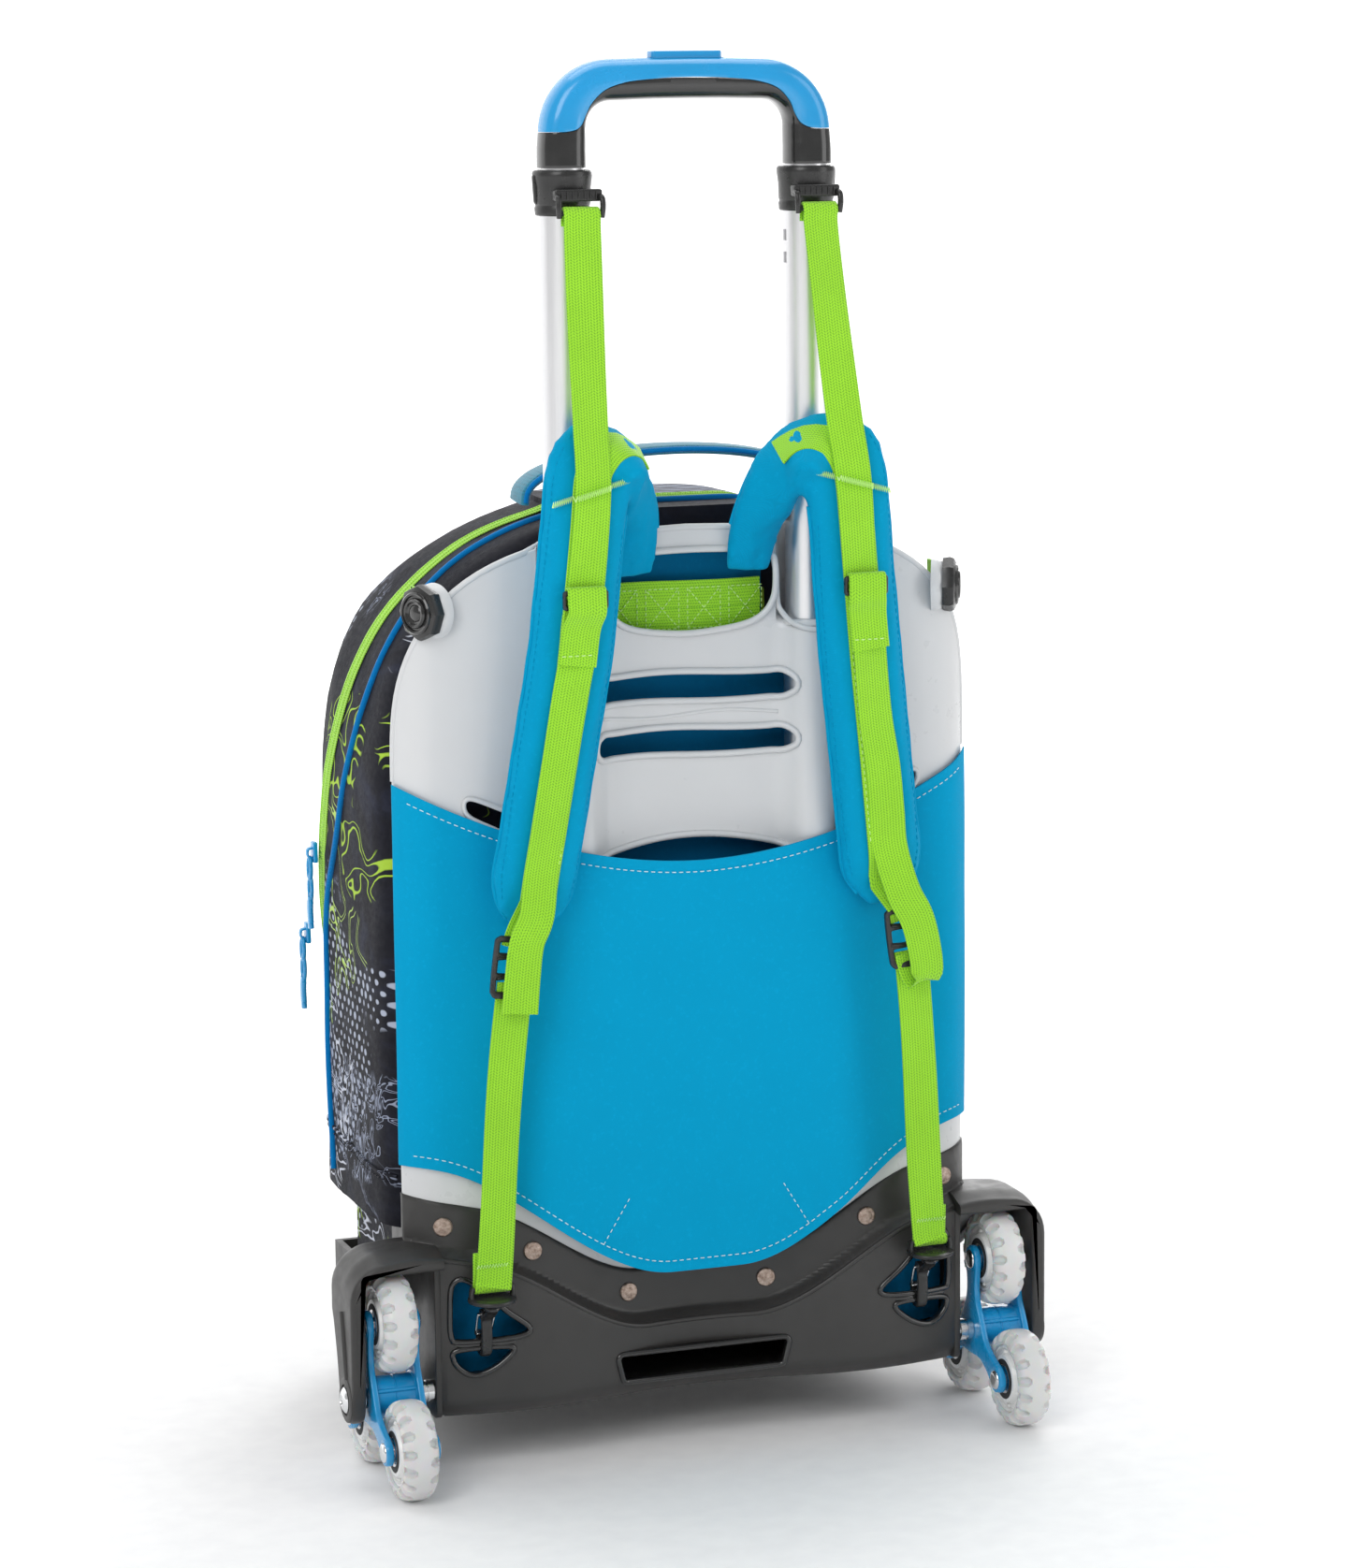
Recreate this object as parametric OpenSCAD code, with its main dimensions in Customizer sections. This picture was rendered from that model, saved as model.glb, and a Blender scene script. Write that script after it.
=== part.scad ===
// Wheeled school backpack on a telescopic trolley frame, with a stair-climbing wheel cluster on
// each side. +X is to the right of someone facing the harness side, -Y points at that person,
// +Y is the bag's own front and +Z is up. The ground is at Z = 0.

/* [Body] */
// Width of the moulded back panel
panel_w = 330; // [300:1:400]
// Height of the back panel's top edge
panel_top = 510; // [490:1:620]
// Thickness of the moulded back panel
panel_t = 2.5; // [2:0.1:4]
// Depth from the axle line to the front of the bag
bag_depth = 228; // [180:1:280]
// Width of the fabric bag
bag_w = 340; // [285:1:345]
// Thickness of the padded fabric
fabric_t = 3; // [2:0.5:5]
// Height of the bag's top above the panel's top
bag_rise = 10; // [5:1:30]

/* [Base] */
// Height of the underside of the moulded base
base_bottom = 32; // [28:1:36]
// Height of the base's top edge at the middle
base_top = 101; // [98:1:124]
// Wall thickness of the base
base_wall = 3.5; // [2.5:0.1:4.5]
// How far the base's lower body stands out from the panel
base_proud = 11; // [8:0.5:14]
// Diameter of the rivet caps
rivet_cap_d = 10; // [8:0.5:12]

/* [Wheels] */
// Wheel diameter
wheel_d = 54; // [44:1:58]
// Wheel width
wheel_w = 20; // [16:0.5:26]
// Distance from the cluster's pivot to each wheel axle
cluster_r = 40.5; // [38:0.5:50]
// Thickness of the cluster's side plates
plate_t = 3.5; // [2.5:0.1:4.5]
// Diameter of the wheel axles and of the cluster's pivot
pin_d = 8; // [6:0.1:9]

/* [Handle] */
// Distance between the tubes' centre lines
tube_pitch = 138; // [120:1:168]
// Outer diameter of the middle tubes
mid_tube_d = 25; // [20:0.5:28]
// Wall of every tube
tube_wall = 1.1; // [0.8:0.1:1.6]
// Height of the top of the grip
grip_top = 761; // [740:1:930]
// Travel of the middle stage, downwards
stage_travel = 193; // [150:1:193]
// Travel of the grip, upwards
grip_travel = 190; // [120:1:195]
// Front to back size of the grip
grip_d = 26; // [22:1:32]

/* [Harness] */
// Width of the shoulder pads
pad_w = 50; // [40:1:56]
// Thickness of the shoulder pads
pad_t = 13; // [9:0.5:14]
// Width of the webbing
web_w = 20; // [15:0.5:25]
// Thickness of the webbing
web_t = 1.6; // [1.2:0.1:2]

/* [Fits] */
// Radial clearance of every running fit
run_gap = 0.06; // [0.02:0.01:0.1]
// Gap between pieces that only touch
seat_gap = 0.3; // [0.2:0.05:0.5]

/* [Hidden] */
$fn = 48;

// Overall layout: the bounding box is centred on the Z axis
wheel_r = wheel_d / 2;
pin_r = pin_d / 2;
whole_d = bag_depth + cluster_r * cos(30) + wheel_r;
axle_y = -whole_d / 2 + wheel_r + cluster_r * cos(30);
axle_z = wheel_r + cluster_r * sin(30);
bag_front = axle_y + bag_depth;
pocket_t = 14;
zip_t = 2;
body_front = bag_front - pocket_t - zip_t - seat_gap;
half_w = panel_w / 2;

// Tubes
tube_x = tube_pitch / 2;
tube_y = axle_y + 6;
mid_r = mid_tube_d / 2;
outer_in_r = mid_r + run_gap;
outer_r = outer_in_r + tube_wall;
mid_in_r = mid_r - tube_wall;
upper_r = mid_in_r - run_gap;
socket_z = panel_top - 53;
hump_t = 2.6;
hump_r = outer_r + seat_gap + hump_t;
mid_insert = 75;
tube_foot_z = min(base_top + 49, socket_z - mid_insert - stage_travel - 5);
collar_top = grip_top - 58;
collar_h = 24;
collar_r = mid_r + 3.5;
groove_r = collar_r + 0.8;
groove_out = groove_r + 1.6;
upper_insert = 55;
upper_low = collar_top - grip_travel - upper_insert;

// Plan curve of the moulded back, measured from the axle line: a hollow in the middle, a swell on
// each side and an edge that wraps backwards round the bag
swell_x = 0.6 * half_w;
edge_x = half_w - 19;
function smooth(t) = let (c = min(1, max(0, t))) c * c * (3 - 2 * c);
function wrap(x) = x < edge_x ? 0 : 14 * pow((x - edge_x) / (half_w - edge_x), 2);
function face(x) = axle_y + 4 + 6 * cos(180 * min(abs(x), 0.91 * half_w) / swell_x) + wrap(abs(x));

// Wavy top edge of the base, and the edges of the sleeve
base_rise = 46;
sleeve_top = panel_top - 179;
sleeve_low = base_top + 2;
flange_h = 26;
function base_edge(x) = base_top + base_rise * smooth((abs(x) - 30) / (0.64 * half_w))
    + 0.2 * max(0, abs(x) - 0.79 * half_w);
function sleeve_top_edge(x) = sleeve_top + 47 * pow(abs(x) / half_w, 1.9);
function sleeve_low_edge(x) = sleeve_low + 67 * smooth((abs(x) - 20) / (0.85 * half_w));

// Sleeve's plan curve: flat across the two tube humps, then close over the swell and the edge
sleeve_flat = tube_y - hump_r - 1.8;
sleeve_off = 1.8;
function sleeve_face(x) = let (s = smooth((abs(x) - tube_x - 8) / 42))
    (1 - s) * sleeve_flat + s * (face(x) - sleeve_off);

// Bag
bag_back = tube_y + groove_out + seat_gap;
bag_top = panel_top + bag_rise;
bag_low = base_bottom + 20;
arch_low = bag_top - 190;
bag_half = bag_w / 2;

// Wheel clusters
plate_gap = 1;
plate_in = wheel_w / 2 + plate_gap;
plate_out = plate_in + plate_t;
head_t = 1.8;
cluster_x = half_w - 2 + plate_out;
hub_r = 11.5;
arch_r = cluster_r + wheel_r + 3.5;
arm_t = 8;
arm_in = cluster_x + plate_out + head_t + 1.2;
wall_in = cluster_x - plate_out - head_t - 7;
axle_head_t = 3;
nut_r = pin_r + 1.6;
roof_z = axle_z + arch_r + 9;
wheel_angles = [90, -30, 210];

// Base features
slot_half = 45;
slot_low = base_bottom + 9;
slot_high = base_bottom + 24;
bar_x = 0.773 * half_w;
bar_z = base_bottom + 41;
bar_r = 2.5;
body_face = base_proud - base_wall;
bar_y = face(bar_x) - base_proud + base_wall / 2;
foot_x = 0.6 * bag_half;
foot_y = bag_front - 34;

// Harness: each row is half-distance from the middle, distance in front of the axle line,
// height, width and thickness of the pad there
fold_z = panel_top + 42;
pad_path = [
    [76, -39, fold_z, pad_w - 4, pad_t - 3],
    [74, -39.5, fold_z - 22, pad_w, pad_t],
    [82, -36, fold_z - 102, pad_w + 2, pad_t],
    [92, -28, fold_z - 172, pad_w + 2, pad_t],
    [99, -22, fold_z - 222, pad_w, pad_t - 1],
    [101, -20, fold_z - 250, 16, pad_t - 5]];
pad_inner = [
    [35, -39, fold_z - 8, 34, pad_t - 4],
    [35, -30, fold_z - 8, 30, pad_t - 4],
    [33, -14, fold_z - 30, 28, pad_t - 4],
    [31, -1, fold_z - 52, 28, 8],
    [31, 8, fold_z - 66, 28, 6]];
keeper_low = fold_z - 106;
keeper_high = fold_z - 65;
lock_x = 113;
lock_y = axle_y - 31;
lock_z = fold_z - 268;
lock_h = 34;
lock_w = web_w + 7;
lock_t = 4.5;
strap_end_y = axle_y - 25;
strap_end_z = 112;
disc_r = 13;
disc_z = 102;
clip_y = tube_y - collar_r - 6;
clip_z = collar_top - 22;

// Zip
zip_slope = 0.39;
zip_w = 9;
pull_z = [panel_top - 196, panel_top - 246];
pull_x = -bag_half - 5.4;
function zip_y(z) = axle_y + 184 - zip_slope * (z - 244);

// ---------------------------------------------------------------- shared shapes
module both_sides() {
    children();
    mirror([1, 0, 0]) children();
}

// A wall that follows a plan curve, between two distances in front of that curve
module plan_band(front, back, z0, z1, w = half_w) {
    xs = [for (i = [-24:24]) w * i / 24];
    translate([0, 0, z0])
        linear_extrude(z1 - z0)
            polygon(concat([for (x = xs) [x, face(x) - front]],
                           [for (i = [48:-1:0]) [xs[i], face(xs[i]) - back]]));
}

// A plate cut to an outline in the XZ plane
module front_cut(y0 = -400, y1 = 400) {
    translate([0, y1, 0])
        rotate([90, 0, 0])
            linear_extrude(y1 - y0) children();
}

module rounded_slot(x0, x1, z0, z1) {
    r = (z1 - z0) / 2;
    translate([x0 + r, z0 + r]) circle(r);
    translate([x1 - r, z0 + r]) circle(r);
    translate([x0 + r, z0]) square([x1 - x0 - 2 * r, z1 - z0]);
}

module slab(p, thick = 0, ahead = 0, wide = 0) {
    w = wide > 0 ? wide : p[3];
    t = thick > 0 ? thick : p[4];
    translate([p[0] - w / 2, axle_y + p[1] - ahead - t / 2, p[2] - 0.5]) cube([w, t, 1]);
}

// A strip of webbing between two points
module strip(a, b, w = web_w, t = web_t) {
    hull() {
        translate([a[0] - w / 2, a[1] - t / 2, a[2] - 0.5]) cube([w, t, 1]);
        translate([b[0] - w / 2, b[1] - t / 2, b[2] - 0.5]) cube([w, t, 1]);
    }
}

module x_rod(r, x0, x1, y, z) {
    translate([x0, y, z]) rotate([0, 90, 0]) cylinder(r = r, h = x1 - x0);
}

module tube(r, wall, z0, z1) {
    translate([0, 0, z0])
        difference() {
            cylinder(r = r, h = z1 - z0);
            translate([0, 0, -1]) cylinder(r = r - wall, h = z1 - z0 + 2);
        }
}

// ---------------------------------------------------------------- moulded back and base
// Half-width of an arched outline at a height
function arch_x(z, w, low, high, n, p) =
    let (t = min(1, max(0, (z - low) / (high - low)))) w * pow(1 - pow(t, n), p);

module arch_outline(w, z0, low, high, n, p, steps = 22) {
    zs = concat([z0], [for (i = [0:steps]) low + (high - low) * sin(90 * i / steps)]);
    polygon(concat([for (z = zs) [arch_x(z, w, low, high, n, p), z]],
                   [for (i = [len(zs) - 2:-1:0]) [-arch_x(zs[i], w, low, high, n, p), zs[i]]]));
}

module panel_openings() {
    // hand opening under the top edge
    hull() for (s = [-1, 1]) {
        translate([s * 42, panel_top - 18]) circle(6, $fn = 24);
        translate([s * 30, panel_top - 39]) circle(18);
    }
    // two ventilation slots
    rounded_slot(-57.5, 57.5, panel_top - 95.5, panel_top - 78);
    rounded_slot(-57.5, 57.5, panel_top - 125, panel_top - 108.5);
    // lumbar opening, half covered by the sleeve
    rounded_slot(-60, 60, panel_top - 209, panel_top - 169);
    // slanted openings beside it
    for (s = [-1, 1]) scale([s, 1]) translate([0.66 * half_w, panel_top - 152])
        rotate(24) translate([-24, -7]) rounded_slot(0, 48, 0, 14);
}

module back_panel() {
    color("lightgray")
        difference() {
            union() {
                intersection() {
                    plan_band(0, -panel_t, base_top - 12, panel_top);
                    difference() {
                        front_cut()
                            arch_outline(half_w, base_top - 12, panel_top - 130, panel_top, 3.2, 0.33);
                        front_cut() panel_openings();
                        front_cut() polygon(concat(
                            [for (i = [-24:24]) [half_w * i / 24, base_edge(half_w * i / 24) - 22]],
                            [[half_w + 1, base_top - 30], [-half_w - 1, base_top - 30]]));
                    }
                }
                both_sides() at_knob() translate([0, 0, -9]) cylinder(r = 12, h = 9 - 0.02);
                both_sides() translate([tube_x, tube_y, tube_foot_z + 6]) {
                    cylinder(r = hump_r, h = socket_z - tube_foot_z - 6);
                    translate([0, 0, socket_z - tube_foot_z - 8]) cylinder(r = groove_out, h = 50);
                }
            }
            both_sides() translate([tube_x, tube_y, 0]) {
                cylinder(r = outer_r + seat_gap, h = socket_z + 1);
                translate([0, 0, socket_z]) cylinder(r = groove_r, h = 200);
                // the hump is open at the back and the groove is open at the front
                translate([-40, 3, -1]) cube([80, 60, socket_z]);
                translate([-40, -60, socket_z]) cube([80, 58, 100]);
            }
        }
}

module base_openings() {
    rounded_slot(-slot_half, slot_half, slot_low, slot_high);
    for (s = [-1, 1]) scale([s, 1]) {
        hull() {
            translate([bar_x + 14, bar_z + 34]) circle(4, $fn = 24);
            translate([bar_x + 14, bar_z + 6]) circle(4, $fn = 24);
            translate([bar_x - 18, bar_z + 9]) circle(5, $fn = 24);
        }
        hull() {
            translate([bar_x + 11, bar_z - 7]) circle(4.5, $fn = 24);
            translate([bar_x - 10, bar_z - 6.5]) circle(4, $fn = 24);
            translate([bar_x + 6, bar_z - 12]) circle(4, $fn = 24);
        }
    }
}

// Region between two distances under the base's wavy edge
module edge_strip(top, low) {
    xs = [for (i = [-24:24]) half_w * i / 24];
    polygon(concat([for (x = xs) [x, base_edge(x) - top]],
                   [for (i = [48:-1:0]) [xs[i], base_edge(xs[i]) - low]]));
}

module under_edge(top, low_z) {
    w = wall_in;
    xs = [for (i = [-24:24]) w * i / 24];
    polygon(concat([for (x = xs) [x, base_edge(x) - top]], [[w, low_z], [-w, low_z]]));
}

module arm_outline() {
    circle(r = 13);
    polygon([[-13, 0], [13, 0], [40, roof_z - axle_z], [-15, roof_z - axle_z]]);
}

module fender() {
    difference() {
        union() {
            translate([wall_in - base_wall, axle_y - 15, axle_z + 40])
                cube([arm_in + arm_t - wall_in + base_wall, 92, roof_z - axle_z - 40]);
            translate([wall_in - base_wall, axle_y - 6, base_bottom])
                cube([base_wall, 83, roof_z - base_bottom]);
        }
        x_rod(arch_r, wall_in, arm_in + arm_t + 5, axle_y, axle_z);
    }
    // outer arm
    difference() {
        translate([arm_in, axle_y, axle_z]) rotate([90, 0, 90]) linear_extrude(arm_t) arm_outline();
        translate([arm_in - 1, axle_y - 80, roof_z]) cube([20, 200, 40]);
    }
}

// Bar across each triangular recess: the snap hooks clip on it
module hook_bars() {
    both_sides() x_rod(bar_r, bar_x - 23, bar_x + 21, bar_y, bar_z);
}

module base_shell() {
    color("dimgray") {
        hook_bars();
        difference() {
            union() {
                intersection() {
                    plan_band(2, seat_gap, base_bottom, base_top + 90);
                    front_cut() edge_strip(0, flange_h + base_wall);
                }
                intersection() {
                    plan_band(base_proud, seat_gap, base_bottom, base_top + 90);
                    front_cut() edge_strip(flange_h, flange_h + base_wall);
                }
                intersection() {
                    plan_band(base_proud, body_face, base_bottom, base_top + 90);
                    front_cut() under_edge(flange_h + 0.5, base_bottom);
                }
                both_sides() fender();
            }
            front_cut(axle_y - 60, axle_y + 4) base_openings();
            // bores for the pivot bolts, and for the rivets
            for (s = [-1, 1]) scale([s, 1, 1])
                x_rod(pin_r + run_gap, wall_in - 20, arm_in + arm_t + 5, axle_y, axle_z);
            rivet_places() {
                cylinder(r = 2 + run_gap, h = 40, center = true);
                cylinder(r = rivet_cap_d / 2 + 0.5, h = 8);
            }
            for (s = [-1, 1]) scale([s, 1, 1])
                x_rod(nut_r + seat_gap, wall_in - base_wall - 6, wall_in - base_wall, axle_y, axle_z);
        }
    }
}

// Rivets through the flange: three on each side, each across the local surface
rivet_xs = [0.245, 0.592, 0.888];
module rivet_places() {
    for (s = [-1, 1]) for (k = rivet_xs)
        let (x = k * half_w)
            translate([s * x, face(x) - 2, base_edge(x) - 13]) rotate([90, 0, 0]) children();
}

module base_rivets() {
    color("tan") rivet_places() {
        translate([0, 0, seat_gap]) cylinder(r = rivet_cap_d / 2, h = 1.4);
        translate([0, 0, -1.5]) cylinder(r = 2, h = 2);
    }
}

module base_tray() {
    tray_y = axle_y + 14;
    tray_w = wall_in - base_wall - 1;
    color("black")
        difference() {
            translate([-tray_w, tray_y, base_bottom])
                cube([2 * tray_w, bag_front - tray_y - 12, 44]);
            translate([-tray_w + base_wall, tray_y - 1, base_bottom + 4])
                cube([2 * (tray_w - base_wall), bag_front - tray_y - 12 - base_wall + 1, 60]);
        }
}

module front_feet() {
    color("black") both_sides() translate([foot_x, foot_y, 0]) {
        cylinder(r = 13, h = 3);
        translate([0, 0, 2]) cylinder(r = 10, h = base_bottom - 2 - seat_gap);
    }
}

module outer_tubes() {
    color("gray") both_sides()
        translate([tube_x, tube_y, 0]) tube(outer_r, tube_wall, tube_foot_z, socket_z - 1);
}

// ---------------------------------------------------------------- fabric
module bag_shape(gap) {
    w = bag_half - gap;
    low_w = wall_in - 2 * base_wall - 2 - gap;
    low = bag_low + gap;
    high = bag_top - gap;
    // above the wheel housings
    hull() {
        for (y = [bag_back + gap, body_front - 72])
            front_cut(y, y + 2) arch_outline(w, roof_z + 1 + gap, arch_low, high, 2.8, 0.4, 8);
        front_cut(body_front - gap - 2, body_front - gap)
            arch_outline(w - 60, roof_z + 1 + gap, arch_low, high - 50, 2.8, 0.4, 8);
    }
    // between the wheel housings, down into the base
    translate([-low_w, bag_back + gap + 1, low])
        cube([2 * low_w, body_front - 30 - bag_back - 2 * gap, roof_z + 20 - low]);
}

module bag_body() {
    color("midnightblue")
        difference() {
            bag_shape(0);
            bag_shape(fabric_t);
        }
}

// Low arched pocket on the front of the bag
module pocket_outline(inset) {
    arch_outline(0.56 * bag_half - inset, bag_low + 30 + inset, 210, 330 - inset, 2.5, 0.4, 14);
}

module front_pocket() {
    color("darkslategray")
        hull() {
            front_cut(body_front + seat_gap, body_front + seat_gap + 1) pocket_outline(0);
            front_cut(bag_front - zip_t - 1, bag_front - zip_t) pocket_outline(5);
        }
}

module back_lining() {
    color("steelblue")
        translate([0, bag_back - 1.2, 0]) {
            translate([-0.62 * half_w, 0, panel_top - 230])
                cube([1.24 * half_w, 0.9, socket_z - panel_top + 225]);
            translate([-48, 0, panel_top - 80]) cube([96, 0.9, 68]);
        }
}

// The zip closes round the bag in a plane that leans forward as it goes down
module zip_ring(w, proud, shift) {
    color("yellowgreen")
        intersection() {
            difference() {
                front_cut(axle_y - 10, body_front)
                    arch_outline(bag_half + proud, roof_z + 40, arch_low, bag_top + proud, 2.8, 0.4);
                front_cut(axle_y - 20, body_front + 10)
                    arch_outline(bag_half + seat_gap, roof_z + 30, arch_low, bag_top + seat_gap,
                                 2.8, 0.4);
            }
            translate([0, zip_y(0) + shift, 0]) rotate([atan(zip_slope), 0, 0])
                translate([-300, -w / 2, 0]) cube([600, w, 900]);
        }
}

module main_zipper() {
    zip_ring(zip_w, 2, 0);
}

module side_piping() {
    color("dodgerblue") zip_ring(3, 2.5, -zip_w - 6);
}

module pocket_zipper() {
    color("yellowgreen")
        front_cut(bag_front - zip_t + 0.1, bag_front) difference() {
            pocket_outline(9);
            pocket_outline(17);
            translate([-200, 0]) square([400, bag_low + 60]);
        }
}

module carry_handle() {
    color("teal")
        difference() {
            translate([0, tube_y + 36, bag_top - 2])
                rotate([90, 0, 0]) translate([0, 0, -12]) linear_extrude(24)
                    polygon(concat([for (i = [0:20]) [88 * cos(9 * i), 27 * sin(9 * i) + 6]],
                                   [for (i = [20:-1:0]) [80 * cos(9 * i), 20 * sin(9 * i) + 6]]));
        }
}

module lumbar_sleeve() {
    xs = [for (i = [-24:24]) half_w * i / 24];
    color("deepskyblue")
        intersection() {
            translate([0, 0, base_top - 20]) linear_extrude(panel_top)
                polygon(concat([for (x = xs) [x, sleeve_face(x)]],
                               [for (i = [48:-1:0]) [xs[i], sleeve_face(xs[i]) + 1.5]]));
            front_cut() polygon(concat([for (x = xs) [x, sleeve_top_edge(x)]],
                                       [for (i = [48:-1:0]) [xs[i], sleeve_low_edge(xs[i])]]));
        }
}

module harness_band() {
    color("yellowgreen")
        translate([-46, bag_back - 8, panel_top - 60]) cube([92, 3, 30]);
}

// ---------------------------------------------------------------- harness
module shoulder_pad() {
    color("deepskyblue") {
        for (i = [0:len(pad_path) - 2]) hull() {
            slab(pad_path[i]);
            slab(pad_path[i + 1]);
        }
        hull() {
            slab([pad_path[0][0], pad_path[0][1], pad_path[0][2] - 6, pad_path[0][3], pad_path[0][4]]);
            slab(pad_inner[0]);
        }
        for (i = [0:len(pad_inner) - 2]) hull() {
            slab(pad_inner[i]);
            slab(pad_inner[i + 1]);
        }
    }
}

module shoulder_pad_left() {
    mirror([1, 0, 0]) shoulder_pad();
}

module shoulder_pad_right() {
    shoulder_pad();
}

// A strip of webbing that lies on the pad, ahead of its front face
module on_pad(first, last, lift) {
    for (i = [first:last - 1]) hull()
        for (p = [pad_path[i], pad_path[i + 1]])
            slab(p, web_t, p[4] / 2 + lift + web_t / 2, web_w);
}

function pad_at(z) = let (i = [for (k = [0:len(pad_path) - 2])
        if (pad_path[k][2] >= z && pad_path[k + 1][2] < z) k][0],
    a = pad_path[i],
    b = pad_path[i + 1],
    t = (z - a[2]) / (b[2] - a[2]))
    [for (k = [0:4]) a[k] + (b[k] - a[k]) * t];

module web_on_pad(zs, lift) {
    for (i = [0:len(zs) - 2]) hull()
        for (p = [pad_at(zs[i]), pad_at(zs[i + 1])])
            slab(p, web_t, p[4] / 2 + lift + web_t / 2, web_w);
}

tip = pad_path[5];
web_layer = web_t + seat_gap;

module pad_webbings() {
    color("yellowgreen") both_sides() {
        on_pad(1, 5, seat_gap);
        strip([tip[0], axle_y + tip[1] - tip[4] / 2 - seat_gap - web_t / 2, tip[2]],
              [lock_x - 2, lock_y + 0.8, lock_z + lock_h / 2 + 1.5]);
    }
}

module strap_sliders() {
    p = pad_at(keeper_high - 6);
    color("black") both_sides()
        translate([p[0] - web_w / 2 - 2.5, axle_y + p[1] - p[4] / 2 - 4 * web_layer - 4.2,
                   keeper_high - 11])
            cube([web_w + 5, 4, 11]);
}

module tail_webbings() {
    p = pad_at(keeper_high - 14);
    color("yellowgreen") both_sides() {
        web_on_pad([keeper_high - 14, fold_z - 102, fold_z - 172, fold_z - 222],
                   2 * web_layer + seat_gap);
        q = pad_path[4];
        strip([q[0], axle_y + q[1] - q[4] / 2 - 2 * web_layer - seat_gap - web_t / 2, q[2]],
              [lock_x + 7, lock_y - lock_t - 2.5, lock_z]);
        strip([lock_x + 7, lock_y - lock_t - 2.5, lock_z],
              [lock_x + 6, lock_y - lock_t - 1.5, lock_z - 24]);
    }
}

module ladder_locks() {
    color("black") both_sides() translate([lock_x, lock_y, lock_z]) difference() {
        translate([-lock_w / 2, -lock_t / 2, -lock_h / 2]) cube([lock_w, lock_t, lock_h]);
        for (z = [-9, 4]) translate([-web_w / 2 - 0.5, -20, z - 2]) cube([web_w + 1, 40, 5]);
    }
}

module lower_webbings() {
    color("yellowgreen") both_sides()
        strip([lock_x + 0.5, lock_y, lock_z - lock_h / 2 - 1.5], [bar_x, strap_end_y, strap_end_z]);
}

// Swivel disc with its webbing loop and neck
module hook_swivels() {
    color("black") both_sides() translate([bar_x, strap_end_y, 0]) {
        translate([0, 0, disc_z - 1.5]) cylinder(r = disc_r, h = 3);
        for (s = [-1, 1]) translate([s * (web_w / 2 + 0.2) - 1, -2, disc_z + 1]) cube([2, 4, 7]);
        x_rod(1.5, -web_w / 2, web_w / 2, 0, disc_z + 6);
        translate([0, 0, disc_z - 5]) cylinder(r = 4.5, h = 4);
    }
}

hook_y = bar_y - bar_r - 2.4;
hook_w = 6;
hook_wall = 3.6;
hook_rise = 6.6;
hook_gap = 0.9;
gate_r = 0.8;
gate_z = bar_z + 18;
gate_end = [bar_y + bar_r + hook_gap - gate_r - seat_gap, bar_z + hook_rise - 1.6];
module snap_hook() {
    color("black") difference() {
        union() {
            // sloping shank from the swivel's neck down to the spine
            hull() {
                translate([bar_x - hook_w / 2, strap_end_y - 2.5, disc_z - 8.3]) cube([hook_w, 5, 3]);
                translate([bar_x - hook_w / 2, hook_y - hook_wall / 2, gate_z - 2])
                    cube([hook_w, hook_wall, 3]);
            }
            translate([bar_x - hook_w / 2, hook_y - hook_wall / 2, bar_z])
                cube([hook_w, hook_wall, gate_z - bar_z]);
            // round the bar and up behind it
            difference() {
                x_rod(bar_r + hook_gap + hook_wall, bar_x - hook_w / 2, bar_x + hook_w / 2,
                      bar_y, bar_z);
                x_rod(bar_r + hook_gap, bar_x - hook_w, bar_x + hook_w, bar_y, bar_z);
                translate([bar_x - 20, bar_y - 20, bar_z]) cube([40, 40, 20]);
            }
            translate([bar_x - hook_w / 2, bar_y + bar_r + hook_gap, bar_z - 0.1])
                cube([hook_w, hook_wall, hook_rise]);
        }
        x_rod(gate_r + run_gap, bar_x - hook_w, bar_x + hook_w, hook_y, gate_z);
    }
}

// Round wire between two points of the YZ plane
module yz_wire(a, b, x) {
    len = norm(b - a);
    translate([x, a[0], a[1]]) rotate([atan2(a[0] - b[0], b[1] - a[1]), 0, 0])
        cylinder(r = gate_r - 0.1, h = len);
}

module hook_gate() {
    gate_x = hook_w / 2 + 1.4;
    color("silver") {
        for (s = [-1, 1]) yz_wire([hook_y, gate_z], gate_end, bar_x + s * gate_x);
        x_rod(gate_r, bar_x - gate_x - gate_r, bar_x + gate_x + gate_r, hook_y, gate_z);
        x_rod(gate_r, bar_x - gate_x - gate_r, bar_x + gate_x + gate_r, gate_end[0], gate_end[1]);
    }
}

module snap_hook_left() { mirror([1, 0, 0]) snap_hook(); }
module snap_hook_right() { snap_hook(); }
module hook_gate_left() { mirror([1, 0, 0]) hook_gate(); }
module hook_gate_right() { hook_gate(); }

// ---------------------------------------------------------------- corner fittings and zip pulls
knob_z = panel_top - 38;
knob_edge = arch_x(knob_z, half_w, panel_top - 130, panel_top, 3.2, 0.33);
module at_knob() {
    translate([knob_edge + 7, axle_y + 3.6, knob_z]) rotate([90, 0, 65]) children();
}

module corner_knobs() {
    color("black") both_sides() at_knob() {
        cylinder(r = 14, h = 5, $fn = 8);
        cylinder(r = 11, h = 7.5);
    }
}

module side_tabs() {
    color("yellowgreen") both_sides()
        translate([knob_edge + 4, axle_y + 20.5, knob_z - 10]) cube([2, 9, 22]);
}

module zip_pull(z) {
    translate([pull_x, zip_y(z), z]) {
        rotate([90, 0, 0]) translate([0, 0, -3]) cylinder(r = 2.2, h = 6);
        translate([-1.2, -3.5, -40]) cube([2.4, 7, 40]);
    }
}

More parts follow.
